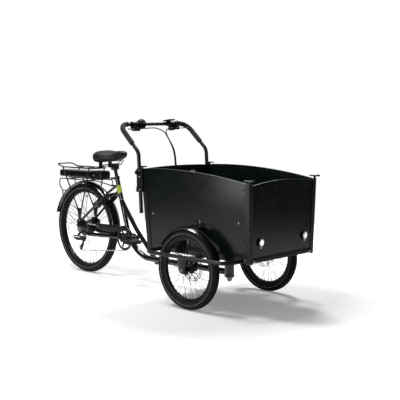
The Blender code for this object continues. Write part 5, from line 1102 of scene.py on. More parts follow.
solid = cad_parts["saddle"]
cushion = bpy.data.objects.new("saddle_cushion", solid.data.copy())
bpy.context.scene.collection.objects.link(cushion)
remesh = cushion.modifiers.new("even_faces", "REMESH")
remesh.mode = "VOXEL"
remesh.voxel_size = FACE_SIZE
even_mesh = meshed(cushion)
cushion.modifiers.clear()
cushion.data = even_mesh
at_rest = coordinates(even_mesh)
NOSE_START, NOSE_TIP = place((0.345, 0, 0))[0], at_rest[:, 0].max()
SADDLE_TOP = at_rest[:, 2].max()
held = cushion.vertex_groups.new(name="underside")
low_ones = np.nonzero(at_rest[:, 2] < at_rest[:, 2].min() + 0.012 + 0.09
                      * np.clip(at_rest[:, 0] - at_rest[:, 0].min(), 0, 1))[0]
held.add(low_ones.tolist(), 1.0, "REPLACE")
cloth = cushion.modifiers.new("tight_cover", "CLOTH")
cloth.settings.vertex_group_mass = "underside"
cloth.settings.use_pressure = True
cloth.settings.uniform_pressure_force = 4.0
cloth.settings.effector_weights.gravity = 0.0
cloth.settings.quality = 6
cloth.settings.tension_stiffness = 25.0
cloth.settings.compression_stiffness = 25.0
cloth.point_cache.frame_start, cloth.point_cache.frame_end = 1, STEPS
for step in range(1, STEPS + 1):
    bpy.context.scene.frame_set(step)
blown = coordinates(meshed(cushion))
bpy.context.scene.frame_set(1)
cushion.modifiers.clear()
shift = blown - at_rest
far = np.linalg.norm(shift, axis=1, keepdims=True)
moved = at_rest + shift * np.minimum(1, COVER_MOVE / np.maximum(far, 1e-9))
even_mesh.vertices.foreach_set("co", moved.astype(np.float32).ravel())
even_mesh.update()
print("cushion moved by up to", round(float(far.max()) * 1000, 1), "mm")
fine = cushion.modifiers.new("finer", "SUBSURF")
fine.levels = fine.render_levels = 1
skin_points = coordinates(even_mesh)
even_mesh.vertices.foreach_set("co", slimmed(skin_points).astype(np.float32).ravel())
even_mesh.update()
even_mesh.shade_smooth()
even_mesh.materials.clear()
even_mesh.materials.append(vinyl)
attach(cushion, "saddle_set")
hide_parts("saddle")

# %% Saddle seam and shell
SEAM_SLOPE, SEAM_REACH = 0.022 / 0.258, 0.004


def outline_at(level, inset=0.0, count=96):
    """The cushion's outline near a height that rises toward the nose: the farthest point in each
    direction, smoothed with its neighbours."""
    rise = SEAM_SLOPE * (skin_points[:, 0] - skin_points[:, 0].min())
    near = skin_points[np.abs(skin_points[:, 2] - level - rise) < SEAM_REACH]
    centre = np.array([(near[:, 0].min() + near[:, 0].max()) / 2 - 0.03, 0.0])
    ray = near[:, :2] - centre
    where = np.floor((np.arctan2(ray[:, 1], ray[:, 0]) % (2 * math.pi)) / (2 * math.pi) * count)
    reach = np.zeros(count)
    np.maximum.at(reach, where.astype(int), np.linalg.norm(ray, axis=1))
    known = reach > 0
    reach = np.interp(np.arange(count), np.arange(count)[known], reach[known], period=count)
    kernel = np.array([1, 2, 3, 2, 1]) / 9
    reach = sum(w * np.roll(reach, k - 2) for k, w in enumerate(kernel)) - inset
    t = (np.arange(count) + 0.5) / count * 2 * math.pi
    flat = centre + reach[:, None] * np.stack([np.cos(t), np.sin(t)], -1)
    lift = level + SEAM_SLOPE * (flat[:, 0] - skin_points[:, 0].min())
    return np.concatenate([flat, lift[:, None]], -1)


welt = outline_at(0.851)
piece("saddle_welt", swept(slimmed(welt), circle(0.0022, 10), UP, loop=True), rubber, "saddle_set")
rings = np.stack([outline_at(0.8505, 0.003), outline_at(0.844, 0.004), outline_at(0.8395, 0.01),
                  outline_at(0.8385, 0.022)])
shell_points, shell_faces = skin(rings)
piece("saddle_shell", (slimmed(shell_points), shell_faces), moulded, "saddle_set")

# %% [markdown]
# ## The chain drive
#
# The chain is the piece that most quickly looks false, so every link is made: pairs of plates
# with a waist, joined by rollers, alternately inner and outer. Its path is a belt round four
# toothed wheels. A straight run touches two circles where its direction is square to both radii,
# which gives each touching point; the belt is then cut into steps of one pitch, 12.7 mm.

# %% Chain path
PITCH = 0.0127
CHAIN_Y = -0.0513
SPROCKET_TEETH = (28, 24, 22, 20, 18, 16, 14)


def pitch_radius(teeth):
    """The circle through a wheel's pins: half a pitch over the sine of half a tooth's angle."""
    return PITCH / 2 / math.sin(math.pi / teeth)


# Centre, radius, and the sense in which the chain goes round, seen with forward to the right
GUIDE, TENSION = np.array([0.03, 0.262]), np.array([-0.012, 0.186])
RING_TEETH = 40
WHEELS = [((0.0, REAR_Z), pitch_radius(18), -1),  # the sprocket in use
          ((CRANK_X, CRANK_Z), pitch_radius(RING_TEETH), -1),  # the chainring
          (TENSION, 0.0185, -1), (GUIDE, 0.0185, 1)]  # the derailleur's two wheels


def belt(wheels):
    """Straight runs touch where they are square to the radius; arcs join them in small steps."""
    centres = np.array([w[0] for w in wheels])
    radii = np.array([w[1] * w[2] for w in wheels])
    ahead = np.roll(centres, -1, 0) - centres
    reach = np.linalg.norm(ahead, axis=1)
    level = (radii - np.roll(radii, -1)) / reach
    run = unit(ahead)
    down = np.stack([run[:, 1], -run[:, 0]], -1)
    square = level[:, None] * run + np.sqrt(1 - level**2)[:, None] * down
    leave = np.arctan2(*(square * np.sign(radii)[:, None]).T[::-1])
    arrive = np.arctan2(*(np.roll(square, 1, 0) * np.sign(radii)[:, None]).T[::-1])
    parts = []
    for centre, radius, first, last in zip(centres, radii, arrive, leave):
        sense = np.sign(radius)
        sweep = (sense * (last - first)) % (2 * math.pi)
        t = first + sense * np.linspace(0, sweep, max(3, int(sweep / 0.1)))
        parts.append(centre + abs(radius) * np.stack([np.cos(t), np.sin(t)], -1))
    return np.concatenate(parts)


loop = belt(WHEELS)
loop = np.concatenate([loop, loop[:1]])
far = distances(loop)
links = int(round(far[-1] / PITCH / 2)) * 2
at = np.linspace(0, far[-1], links + 1)
pins = np.stack([np.interp(at, far, loop[:, 0]), np.full(links + 1, CHAIN_Y),
                 np.interp(at, far, loop[:, 1])], -1)
pins = place(pins)
print(links, "links, pitch", round(far[-1] / links * 1000, 2), "mm")

# %% Chain links
t = np.linspace(0.62, 2 * math.pi - 0.62, 8)
eye = np.stack([-np.cos(t), -np.sin(t)], -1) * 0.0042
link_outline = np.concatenate([(PITCH / 2, 0) - eye, eye - (PITCH / 2, 0)])
order = np.argsort(np.arctan2(link_outline[:, 1], link_outline[:, 0]))
link_outline = link_outline[order]
plate_in = slab(link_outline, 0.0011, 0.0019, 0.0002, Y, 1)
plate_out = slab(link_outline, 0.0021, 0.0029, 0.0002, Y, 1)
roller = turned([(-0.0011, 0.0039), (0.0011, 0.0039)], (-PITCH / 2, 0, 0), SIDE, 10)
rivet = turned([(-0.0032, 0.0016), (0.0032, 0.0016)], (-PITCH / 2, 0, 0), SIDE, 8)
both_ends = shifts([(0, 0, 0), (PITCH, 0, 0)])
inner_link = together(pair(plate_in), copies(roller, both_ends))
outer_link = together(pair(plate_out), copies(rivet, both_ends))
ahead = pins[1:] - pins[:-1]
seats = framed((pins[1:] + pins[:-1]) / 2, ahead, np.broadcast_to(SIDE, ahead.shape))
piece("chain_links", together(copies(inner_link, seats[::2]), copies(outer_link, seats[1::2])),
      bright, "frame", ["chain"])

# %% [markdown]
# ### Toothed wheels
#
# A sprocket is a thin steel ring whose edge rises and falls once a tooth, so its outline is a
# circle whose radius follows a flattened wave. Seven of them sit on the freehub, each smaller than
# the last; the chainring is the same ring with forty teeth, bolted to a spider of five arms.

# %% Sprockets, chainring and cranks
def toothed(teeth, steps=8):
    """A closed outline whose radius follows a wave with rounded peaks, one per tooth."""
    t = np.arange(teeth * steps) * 2 * math.pi / (teeth * steps)
    wave = np.cos(teeth * t)
    wave = np.sign(wave) * np.abs(wave) ** 0.7
    radius = pitch_radius(teeth) - 0.0008 + 0.0027 * wave
    return np.stack([radius * np.cos(t), radius * np.sin(t)], -1)


def ringed(outline, bore, low, high):
    """A flat ring: the outer outline and a bore with as many points, joined by rings of quads."""
    inner = unit(outline) * bore
    layers = np.zeros((4, len(outline), 3))
    for row, (edge, level) in enumerate(((inner, low), (outline, low), (outline, high),
                                         (inner, high))):
        layers[row][:, [X, Z]] = edge
        layers[row][:, Y] = level
    return skin(layers, loop=True)


FIRST_SPROCKET, SPROCKET_STEP = -0.0345, -0.0042
levels = FIRST_SPROCKET + SPROCKET_STEP * np.arange(len(SPROCKET_TEETH))
stack = [ringed(toothed(teeth), 0.0168, y - 0.0009, y + 0.0009) for teeth,
         y in zip(SPROCKET_TEETH, levels)]
freehub = turned([(-0.0305, 0.007), (-0.0305, 0.018), (-0.033, 0.021), (-0.033, 0.024),
                  (-0.0605, 0.024), (-0.0605, 0.018), (-0.063, 0.016), (-0.0647, 0.012),
                  (-0.0647, 0.007)], ORIGIN, SIDE, 40, loop=True)
piece("cassette_sprockets", copies(together(*stack), shifts([REAR_AXLE])), bright, "cassette",
      ["cassette"])
piece("cassette_body", copies(freehub, shifts([REAR_AXLE])), dark, "cassette")

# Cranks: forged arms that taper towards the pedal, their edges well rounded
CRANK_TURN, CRANK_LENGTH = math.radians(2.0), 0.172


def crank_run(sign):
    """The direction from the axle to a side's pedal: the left crank is half a turn on."""
    angle = CRANK_TURN + (0 if sign < 0 else math.pi)
    return np.array([math.cos(angle), 0, math.sin(angle)])


t = np.linspace(0, math.pi, 15)
boss = np.stack([-0.018 * np.sin(t), 0.018 * np.cos(t)], -1)
eye = np.stack([CRANK_LENGTH + 0.0125 * np.sin(t), -0.0125 * np.cos(t)], -1)
arm_outline = np.concatenate([boss, [[0.03, -0.0125], [0.1, -0.0102]], eye,
                              [[0.1, 0.0102], [0.03, 0.0125]]])
arm = slab(arm_outline, 0.0662, 0.08, 0.0022, Y, 3)
cap = turned([(0.079, 0.0), (0.079, 0.012), (0.0812, 0.0118), (0.0826, 0.0095), (0.083, 0.0)],
             ORIGIN, SIDE, 32)
spindle = turned([(0.079, 0.0), (0.079, 0.0088), (0.0815, 0.0088), (0.0815, 0.0048),
                  (0.164, 0.0044), (0.165, 0.0)], (CRANK_LENGTH, 0, 0), SIDE, 24)
for side, sign in SIDES:
    move = framed(BOTTOM_BRACKET[None], crank_run(sign)[None], np.array([[0.0, sign, 0.0]]))
    piece("crank_arm_" + side, copies(arm, move), dark, "cranks", ["crank_" + side])
    piece("crank_cap_" + side, copies(cap, move), moulded, "cranks")
    piece("pedal_spindle_" + side, copies(spindle, move), bright, "cranks")
axle = turned([(-0.0665, 0.0), (-0.0665, 0.012), (-0.035, 0.012), (-0.035, 0.021), (0.035, 0.021),
               (0.035, 0.012), (0.0665, 0.012), (0.0665, 0.0)], BOTTOM_BRACKET, SIDE, 40)
piece("crank_axle_cups", axle, dark, "cranks")

ring_teeth = ringed(toothed(RING_TEETH), 0.064, -0.0012, 0.0012)
spider = [ringed(circle(0.066, 120), 0.061, -0.002, 0.002)]
spider_arm = np.array([[0.016, -0.0085], [0.064, -0.0065], [0.064, 0.0065], [0.016, 0.0085]])
spider.append(copies(slab(spider_arm, -0.0026, 0.0026, 0.0008), around(5, SIDE, ORIGIN, 36)))
spider.append(turned([(-0.015, 0.0125), (-0.015, 0.0185), (-0.003, 0.0235), (0.004, 0.0235),
                      (0.004, 0.0125)], ORIGIN, SIDE, 40, loop=True))
ring_centre = BOTTOM_BRACKET + (0, CHAIN_Y, 0)
ring_move = shifts(ring_centre)
piece("chainring_teeth", copies(ring_teeth, ring_move), dark, "cranks")
piece("chainring_spider", copies(together(*spider), ring_move), dark, "cranks")
stud = turned([(-0.0042, 0.0), (-0.0042, 0.0042), (-0.003, 0.0048), (0.003, 0.0048),
               (0.0042, 0.0042), (0.0042, 0.0)], (0.0635, 0, 0), SIDE, 16)
piece("chainring_bolts", copies(stud, around(5, SIDE, ring_centre, 36)), bright, "cranks")

# %% Pedals
cage = [slab(box_section(0.094, 0.024, 0.006, 3), y, y + 0.0087, 0.0016) for y in (0.0803, 0.165)]
rails = [slab(box_section(0.011, 0.023, 0.003, 3) + (x, 0), 0.088, 0.166, 0.001)
         for x in (-0.0415, 0.0415)]
core = slab(box_section(0.028, 0.021, 0.006, 3), 0.088, 0.166, 0.001)
rib = slab(box_section(0.024, 0.003, 0.001, 2), -0.0105, 0.0105, 0.0006, Z)
ribs = copies(rib, shifts([(x, y, 0) for x in (-0.026, 0.026) for y in (0.108, 0.127, 0.146)]))
tread = turned([(0, 0.0012), (0.0014, 0.0009)], (0, 0, 0.0112), UP, 6)
treads = copies(tread, shifts([(x, y, 0) for x in (-0.0415, -0.012, 0.012, 0.0415)
                               for y in np.arange(0.093, 0.164, 0.0094)]))
pedal = together(*cage, *rails, core, ribs, treads)
for side, sign in SIDES:
    move = shifts(BOTTOM_BRACKET + CRANK_LENGTH * crank_run(sign))
    made = pedal if sign > 0 else mirrored(pedal)
    piece("pedal_body_" + side, copies(made, move), moulded, "pedal_" + side, ["pedal_" + side])
print("drive pieces done")

# %% [markdown]
# ## The rear frame
#
# The frame is brazed from round steel tubes. A tube is a circle carried along a path of straight
# runs and round bends, so its highlight runs on without a break through each bend. Where two
# tubes meet, a bead of weld is laid round the thinner one: a low ring that catches a small light
# and hides the hard crossing line.

# %% Tube shapes
HERE = shifts([place(ORIGIN)])


def tube(points, radius, bend=None, up=SIDE, steps=24, loop=False):
    """A round tube through the points, bent to a radius at each corner, in scene places."""
    points = np.asarray(points, float)
    if loop:
        middle = (points[:1] + points[-1:]) / 2
        path = bent(np.concatenate([middle, points, middle]), bend, 10)[:-1]
    else:
        path = points if bend is None else bent(points, bend, 10)
    return swept(place(path), circle(radius, steps), up, loop=loop)


def spun(profile, spot, axis, steps=40, loop=False):
    """A turned profile whose centre is given from below the rear axle."""
    return turned(profile, place(spot), axis, steps, loop)


def plate(outline, low, high, edge=0.001, through=Y):
    """A slab whose outline is given from below the rear axle."""
    points, faces = slab(outline, low, high, edge, through)
    return place(points), faces


def bead(spot, axis, radius, width=0.0045):
    """A weld bead: a low round ring about a tube, its height half its width."""
    t = np.linspace(0, math.pi, 7)
    ring = np.stack([width * np.cos(t), radius - 0.0008 + width * 0.55 * np.sin(t)], -1)
    under = [(-width, radius - 0.003), (width, radius - 0.003)]
    return spun(np.concatenate([ring, under]), spot, axis, 32, loop=True)


def arc(centre, radius, first, last, steps=40):
    """Points (ahead, up) on part of a circle, by degrees."""
    t = np.radians(np.linspace(first, last, steps))
    return np.stack([centre[0] + radius * np.cos(t), centre[1] + radius * np.sin(t)], -1)

# %% Main tube, upper tube and seat tube
BRACKET, MAIN_Z = np.array([CRANK_X, 0.0, CRANK_Z]), 0.18
CLAMP, KINGPIN = (0.322, 0, 0.728), (FRONT_X, 0, 0)
main = tube([BRACKET, (0.571, 0, 0.218), (0.655, 0, MAIN_Z), (1.43, 0, MAIN_Z)], 0.021, 0.14)
shell = [(-0.034, 0.018), (-0.034, 0.0218), (-0.0332, 0.0225), (0.0332, 0.0225), (0.034, 0.0218),
         (0.034, 0.018)]
cups = [(0.0338, 0.0088), (0.0338, 0.0195), (0.0362, 0.02), (0.0372, 0.019), (0.0372, 0.0088)]
cup = spun(cups, BRACKET, SIDE, 40, loop=True)
head = [(0.15, 0.0128), (0.15, 0.0316), (0.1512, 0.033), (0.16, 0.033), (0.1612, 0.0318),
        (0.2508, 0.0318), (0.252, 0.033), (0.2608, 0.033), (0.262, 0.0316), (0.262, 0.0128)]
hanger = slab(box_section(0.032, 0.033, 0.004, 3) + (0.768, 0.1635), -0.012, 0.012, 0.0015)
piece("main_tube_steel", together(main, spun(shell, BRACKET, SIDE, 56, loop=True),
                                  spun(head, KINGPIN, UP, 64, loop=True), copies(hanger, HERE),
                                  bead((0.497, 0, 0.286), (0.735, 0, -0.678), 0.021),
                                  bead((1.4118, 0, MAIN_Z), AHEAD, 0.021)), enamel, "frame",
      ["main_tube"])
piece("bearing_cups", pair(cup), ground, "frame")

upper_start = BRACKET + 0.285 * SEAT_RUN
upper = tube([upper_start, (0.445, 0, 0.512), (0.555, 0, 0.376), (0.757, 0, 0.175)], 0.016, 0.3)
seat_end = BRACKET + 0.4618 * SEAT_RUN
seat = tube([BRACKET + 0.012 * SEAT_RUN, seat_end - 0.0004 * SEAT_RUN], 0.0165)
clamp_ring = [(-0.02, 0.0166), (-0.02, 0.0196), (-0.019, 0.0205), (-0.003, 0.0205),
              (-0.002, 0.0196), (-0.002, 0.0166)]
ears = plate(box_section(0.02, 0.013, 0.003, 3) + (0.3245, 0.728), 0.0022, 0.011, 0.0012)
skewer = rods(place((0.322, -0.036, 0.728)), place((0.322, 0.014, 0.728)), 0.0028, 14)
nut = spun([(0.011, 0.0), (0.011, 0.0056), (0.016, 0.0056), (0.0172, 0.004), (0.0172, 0.0)], CLAMP,
           SIDE, 6)
clamp_ring = spun(clamp_ring, seat_end, SEAT_RUN, 48, loop=True)
welds = together(bead(upper_start + (0.004, 0, -0.006), (0.6, 0, -0.8), 0.016),
                 bead((0.7425, 0, 0.1895), (0.71, 0, -0.7), 0.016),
                 bead(BRACKET + 0.0255 * SEAT_RUN, SEAT_RUN, 0.0165))
piece("seat_tube_steel", together(upper, seat, clamp_ring, pair(ears), welds), enamel, "frame",
      ["seat_tube"])
piece("seat_clamp_skewer", together(skewer, nut), bright, "frame")
sleeve = [(0.3385, 0.0166), (0.3385, 0.017), (0.3945, 0.017), (0.3945, 0.0166)]
piece("lime_sleeve", spun(sleeve, BRACKET, SEAT_RUN, 48, loop=True), band, "frame")

# The quick-release lever: a cam disc with a flat handle that curves away from the tube
cam = [(-0.007, 0.0), (-0.007, 0.0072), (-0.0062, 0.008), (0.0062, 0.008), (0.007, 0.0072),
       (0.007, 0.0)]
handle = swept(place(curved([(0.322, -0.0285, 0.728), (0.338, -0.0292, 0.728),
                             (0.356, -0.0286, 0.728), (0.371, -0.0272, 0.728)], 8)),
               box_section(0.0035, 0.0095, 0.0015, 3), UP)
piece("clamp_handle", together(spun(cam, (0.322, -0.0265, 0.728), UP, 32), handle), dark,
      "seat_clamp_lever", ["seat_clamp_lever"])

# %% [markdown]
# ## Stays, dropouts and the rear axle
#
# Four thin stays hold the wheel. The seat stays are round and bend in at the top; the chain stays
# are flattened to slip past the wheel, an oval section on the same kind of path. Both end in plate
# dropouts cut from 6 mm steel, which hold the axle with its washers and nuts.

# %% Stays
STAY_TOP, STAY_KNEE = np.array([0.36, 0.02, 0.672]), np.array([0.3, 0.046, 0.622])
STAY_FOOT = np.array([0.016, 0.068, 0.402])
stay_run = unit(STAY_FOOT - STAY_KNEE)
stay = tube([STAY_TOP, STAY_KNEE, STAY_FOOT], 0.009, 0.07)
bridge_at = STAY_KNEE + 0.06 * (STAY_FOOT - STAY_KNEE)
bridge = rods(place(bridge_at * (1, -1, 1)), place(bridge_at), 0.0065, 20)
normal = unit(np.array([STAY_FOOT[2] - STAY_KNEE[2], 0.0, STAY_KNEE[0] - STAY_FOOT[0]]))
pivot = STAY_KNEE + 0.467 * (STAY_FOOT - STAY_KNEE)
stud = rods(place(pivot - 0.004 * normal), place(pivot + 0.013 * normal), 0.005, 18)
foot_weld = bead(STAY_FOOT - 0.006 * stay_run, stay_run, 0.009, 0.004)
top_run = unit(STAY_KNEE - STAY_TOP)
top_weld = bead(STAY_TOP + 0.006 * top_run, top_run, 0.009)
both_stays = pair(together(stay, stud, foot_weld, top_weld))
piece("seat_stays_steel", together(both_stays, bridge), enamel, "frame", ["seat_stays"])
lower = bent([(0.466, 0.026, 0.304), (0.412, 0.0365, 0.306), (0.345, 0.046, 0.308),
              (0.1, 0.068, 0.303), (0.03, 0.068, 0.312)], 0.06, 8)
lower = swept(place(lower), circle(0.01, 24, 1.5), UP)
dropout = [(-0.034, 0.322), (-0.02, 0.308), (0.0, 0.3), (0.056, 0.3), (0.068, 0.31), (0.075, 0.33),
           (0.071, 0.362), (0.066, 0.392), (0.052, 0.402), (0.034, 0.405), (0.002, 0.405),
           (-0.006, 0.411), (-0.02, 0.409), (-0.034, 0.404), (-0.037, 0.362)]
dropout = plate(dropout, 0.065, 0.071, 0.001)
spacer = spun([(0.0386, 0.0), (0.0386, 0.0108), (0.0394, 0.0115), (0.066, 0.0115), (0.066, 0.0)],
              (0, 0, REAR_Z), SIDE, 40)
eye = spun([(-0.086, 0.0), (-0.086, 0.0084), (-0.0852, 0.009), (-0.068, 0.009), (-0.068, 0.0)],
           (-0.004, 0, 0.296), SIDE, 32)
cross = rods(place((0.368, -0.042, 0.304)), place((0.368, 0.042, 0.304)), 0.007, 20)
piece("chain_stays_steel", together(pair(together(lower, dropout)), spacer, eye, cross), enamel,
      "frame", ["chain_stays"])
washer = spun([(0.0708, 0.0062), (0.0708, 0.0112), (0.0722, 0.0112), (0.0722, 0.0062)],
              (0, 0, REAR_Z), SIDE, 32, loop=True)
axle_nut = spun([(0.0722, 0.0), (0.0722, 0.0096), (0.0736, 0.0098), (0.078, 0.0096),
                 (0.0789, 0.0084), (0.0789, 0.0)], (0, 0, REAR_Z), SIDE, 6)
axle_end = spun([(0.078, 0.0), (0.078, 0.006), (0.0872, 0.006), (0.088, 0.005), (0.088, 0.0)],
                (0, 0, REAR_Z), SIDE, 24)
piece("rear_axle_nuts", pair(together(washer, axle_nut, axle_end)), bright, "frame")

# %% [markdown]
# ## Rim brakes, ring lock and rear fender
#
# Two arms pivot on studs brazed to the stays, each with a long rubber pad facing the rim. Behind
# them a horseshoe lock straddles the tyre. The fender is one strip of rolled steel: a shallow arch
# in section, with a wire rolled into both edges, carried round part of a circle.

# %% Brake arms and lock
def stay_frame(shape, spot):
    """Turns (down the stay, sideways, out from it) into scene places, for a part on a stay."""
    flat = unit(np.array([normal[2], 0.0, -normal[0]]))
    turn = np.stack([flat, (0.0, 1.0, 0.0), normal], -1)
    return shape[0] @ turn.T + place(spot), shape[1]


for side, sign in SIDES[::-1]:
    y = pivot[1]
    arm = slab(np.array([(-0.009, -0.006), (0.03, -0.0062), (0.07, -0.0052), (0.108, -0.004),
                         (0.11, 0.0), (0.108, 0.004), (0.07, 0.0052), (0.03, 0.0062),
                         (-0.009, 0.006), (-0.0105, 0.0)]), 0.0136, 0.0214, 0.0014, Z, 3)
    boss = turned([(0.013, 0.0), (0.013, 0.0076), (0.0225, 0.0076), (0.0238, 0.0062),
                   (0.0238, 0.0)], ORIGIN, UP, 28)
    screw = turned([(0.0238, 0.0), (0.0238, 0.004), (0.0256, 0.0036), (0.0262, 0.0)], ORIGIN, UP,
                   20)
    holder = rods((0.025, -0.017, 0.0175), (0.025, 0.006, 0.0175), 0.0033, 14)
    pad = slab(box_section(0.0118, 0.0376, 0.0034, 3) + (0.025, 0.006), 0.017 - y, 0.0286 - y,
               0.0016, Y, 2)
    on_stay = lambda shape: stay_frame(shape if sign > 0 else mirrored(shape),
                                       pivot * (1, sign, 1))
    body = "rear_brake_arm_" + side
    piece("brake_arm_" + side, together(*[on_stay(s) for s in (arm, boss, holder)]), powder, body,
          ["rear_brake_arm_" + side])
    piece("brake_arm_screw_" + side, on_stay(screw), bright, body)
    piece("brake_pad_" + side, on_stay(pad), rubber, body)

lock_run = -unit(np.array([stay_run[0], 0.0, stay_run[2]]))
lock_out = np.array([-lock_run[2], 0.0, lock_run[0]])
tip = np.array([(0.262, 0.056), (0.258, 0.052), (0.258, 0.042), (0.262, 0.038)])
horse = np.concatenate([arc((0.375, 0.0), 0.056, -90, 90, 30), tip,
                        arc((0.375, 0.0), 0.038, 90, -90, 30), tip[::-1] * (1, -1)])
lock = slab(horse, 0.012, 0.033, 0.004, Z, 4)
cylinder = turned([(-0.069, 0.0), (-0.069, 0.0082), (-0.0675, 0.0095), (-0.05, 0.0095),
                   (-0.05, 0.0)], (0.335, 0.0, 0.0225), SIDE, 32)
keyhole = slab(box_section(0.0016, 0.0066, 0.0007, 2) + (0.335, 0.0225), -0.0694, -0.0688, 0.0002)
lug = slab(box_section(0.013, 0.084, 0.003, 3) + (0.391, 0.0), 0.03, 0.0385, 0.0015, Z)
turn = np.stack([lock_run, (0.0, 1.0, 0.0), lock_out], -1)
on_stays = lambda shape: (shape[0] @ turn.T + REAR_AXLE, shape[1])
piece("ring_lock_body", together(on_stays(lock), on_stays(cylinder), on_stays(lug)), moulded,
      "frame", ["ring_lock"])
piece("ring_lock_keyhole", on_stays(keyhole), bright, "frame")

# %% Fender shapes
def fender(centre, half, radius, first, last, steps=72):
    """An arched strip 1.6 mm thick, spun from first to last degrees, with rolled edges. Its width
    narrows at both ends as a quarter circle does."""
    y = np.linspace(-1, 1, 21)
    rise = radius - 0.013 * np.abs(y) ** 2.4
    outer = np.stack([half * y, rise], -1)
    inner = np.stack([half * y * 0.965, rise - 0.0016], -1)[::-1]
    profile = np.concatenate([outer, inner])
    t = np.radians(np.linspace(first, last, steps))[:, None]
    ends = np.clip(np.minimum(t - t[0], t[-1] - t) * radius / 0.014, 0, 1)
    narrow = 0.62 + 0.38 * np.sqrt(1 - (1 - ends) ** 2)
    y, r = profile[None, :, 0] * narrow, profile[None, :, 1] + 0 * t
    strip = skin(np.stack([r * np.cos(t), y, r * np.sin(t)], -1) + centre)
    side = half * narrow[:, 0]
    edge = np.stack([(radius - 0.0134) * np.cos(t[:, 0]), side - 0.0006, (radius - 0.0134)
                     * np.sin(t[:, 0])], -1)
    wire = swept(edge, circle(0.0016, 10), SIDE)
    return together(strip, copies(pair(wire), shifts(centre)))


rear_strip = fender(REAR_AXLE, 0.036, 0.3574, -8, 158)
stays = tube([(-0.029, 0.0741, 0.378), (-0.12, 0.064, 0.424), (-0.306, 0.0355, 0.513)], 0.0025,
             0.3, steps=12)
stay_screw = spun([(0.0712, 0.0), (0.0712, 0.0046), (0.079, 0.0046), (0.0802, 0.0034),
                   (0.0802, 0.0)], (-0.029, 0, 0.378), SIDE, 6)
piece("rear_fender_steel", together(rear_strip, pair(stays)), enamel, "frame", ["rear_fender"])
piece("rear_fender_screws", pair(stay_screw), bright, "frame")
flap = np.array([(-0.323, 0.48), (-0.3285, 0.482), (-0.3395, 0.455), (-0.348, 0.431),
                 (-0.344, 0.43), (-0.3355, 0.455)])
piece("mud_flap", plate(flap, -0.027, 0.027, 0.0008), rubber, "frame")

# %% Front fenders
BRACKET_AT, BRACKET_WIDE, SHELF_END = 1.4657, 0.05, TRACK_HALF - 0.018
for side, hub in FRONT_HUBS.items():
    strip = fender(hub, 0.031, 0.263, 17, 150, 60)
    face = post_face(0.545) - 0.003
    shelf = plate(box_section(BRACKET_WIDE, SHELF_END - face, 0.003, 2)
                  + (BRACKET_AT, (SHELF_END + face) / 2), 0.5045, 0.5071, 0.0006, Z)
    upright = plate(box_section(BRACKET_WIDE, 0.044, 0.006, 3) + (BRACKET_AT, 0.526), face,
                    face + 0.0028, 0.0006)
    screws = together(*[spun([(face + 0.002, 0.0), (face + 0.002, 0.0048), (face + 0.0052, 0.0044),
                              (face + 0.006, 0.0)], (u, 0, 0.532), SIDE, 20)
                        for u in (1.45, 1.481)])
    strut = rods(place((1.6802, TRACK_HALF + 0.0275, 0.3441)), place((1.6762, 0.43, 0.3447)),
                 0.0025, 12)
    brackets = together(shelf, upright, strut)
    if side == "right":
        brackets, screws = mirrored(brackets), mirrored(screws)
    piece("front_fender_steel_" + side, together(strip, brackets), enamel, "front_carriage",
          ["front_fender_" + side])
    piece("front_fender_screws_" + side, screws, dark, "front_carriage")
print("fenders done")

# %% [markdown]
# ## Rack and battery
#
# The rack is welded from 10 mm and 8 mm rod: a loop on top that kicks up at the tail, four legs
# down to plates at the dropouts, and a lower pair of rails that runs round the battery to the
# seat tube. The battery slides in from behind. Its case is one moulding with a rounded section,
# carried straight along and drawn in at both ends; a groove round it marks where its two shells
# are welded, and the lock, the charging cap and a row of charge lamps sit on it.

# %% Rack
def crossbars(ahead, half, up, radius, sides=14):
    """Straight rods from side to side, at each distance ahead."""
    ends = np.array([(x, half, up) for x in ahead])
    return rods(place(ends * (1, -1, 1)), place(ends), radius, sides)


TAIL, DECK, SHELF = 0.815, 0.793, 0.705
top_loop = tube([(-0.272, -0.07, TAIL), (-0.197, -0.07, DECK), (0.158, -0.07, DECK),
                 (0.158, 0.07, DECK), (-0.197, 0.07, DECK), (-0.272, 0.07, TAIL)], 0.005,
                (0.028, 0.06, 0.028, 0.028, 0.06, 0.028), UP, 16, loop=True)
top_bars = crossbars((-0.06, 0.05), 0.069, DECK, 0.0031)
rear_leg = tube([(-0.193, 0.0733, 0.791), (-0.014, 0.0763, 0.486), (0.001, 0.0763, 0.392)], 0.005,
                0.06, SIDE, 16)
front_leg = tube([(0.122, 0.0733, 0.791), (0.028, 0.0763, 0.485), (0.009, 0.0763, 0.393)], 0.005,
                 0.06, SIDE, 16)
gusset = np.array([(-0.016, 0.492), (-0.011, 0.462), (-0.006, 0.43), (-0.004, 0.392), (0.0, 0.388),
                   (0.009, 0.388), (0.013, 0.392), (0.02, 0.43), (0.025, 0.461), (0.03, 0.492)])
gusset = plate(gusset, 0.0743, 0.0793, 0.001)
rail = tube([(0.296, 0.003, 0.672), (0.215, 0.074, SHELF), (-0.236, 0.074, SHELF),
             (-0.236, 0.074, 0.65), (-0.24, 0.0425, 0.608), (-0.243, 0.0425, 0.576)], 0.004,
            (0.06, 0.025, 0.045, 0.045), (0.25, 1.0, -0.8), 14)
low_bars = crossbars((-0.1427, 0.101), 0.0735, SHELF, 0.0032)
hoop = crossbars((-0.24,), 0.043, 0.6073, 0.0036)
lug = plate(np.array([(0.284, 0.666), (0.372, 0.6645), (0.372, 0.68), (0.284, 0.678)]), -0.003,
            0.003, 0.0008)
piece("rack_rods", together(top_loop, top_bars, pair(together(rear_leg, front_leg, gusset, rail)),
                            low_bars, hoop, lug), powder, "frame", ["rack"])
leg_bolt = spun([(0.079, 0.0), (0.079, 0.005), (0.083, 0.0048), (0.084, 0.0034), (0.084, 0.0)],
                (0.004, 0, 0.398), SIDE, 6)
piece("rack_bolts", pair(leg_bolt), bright, "frame")
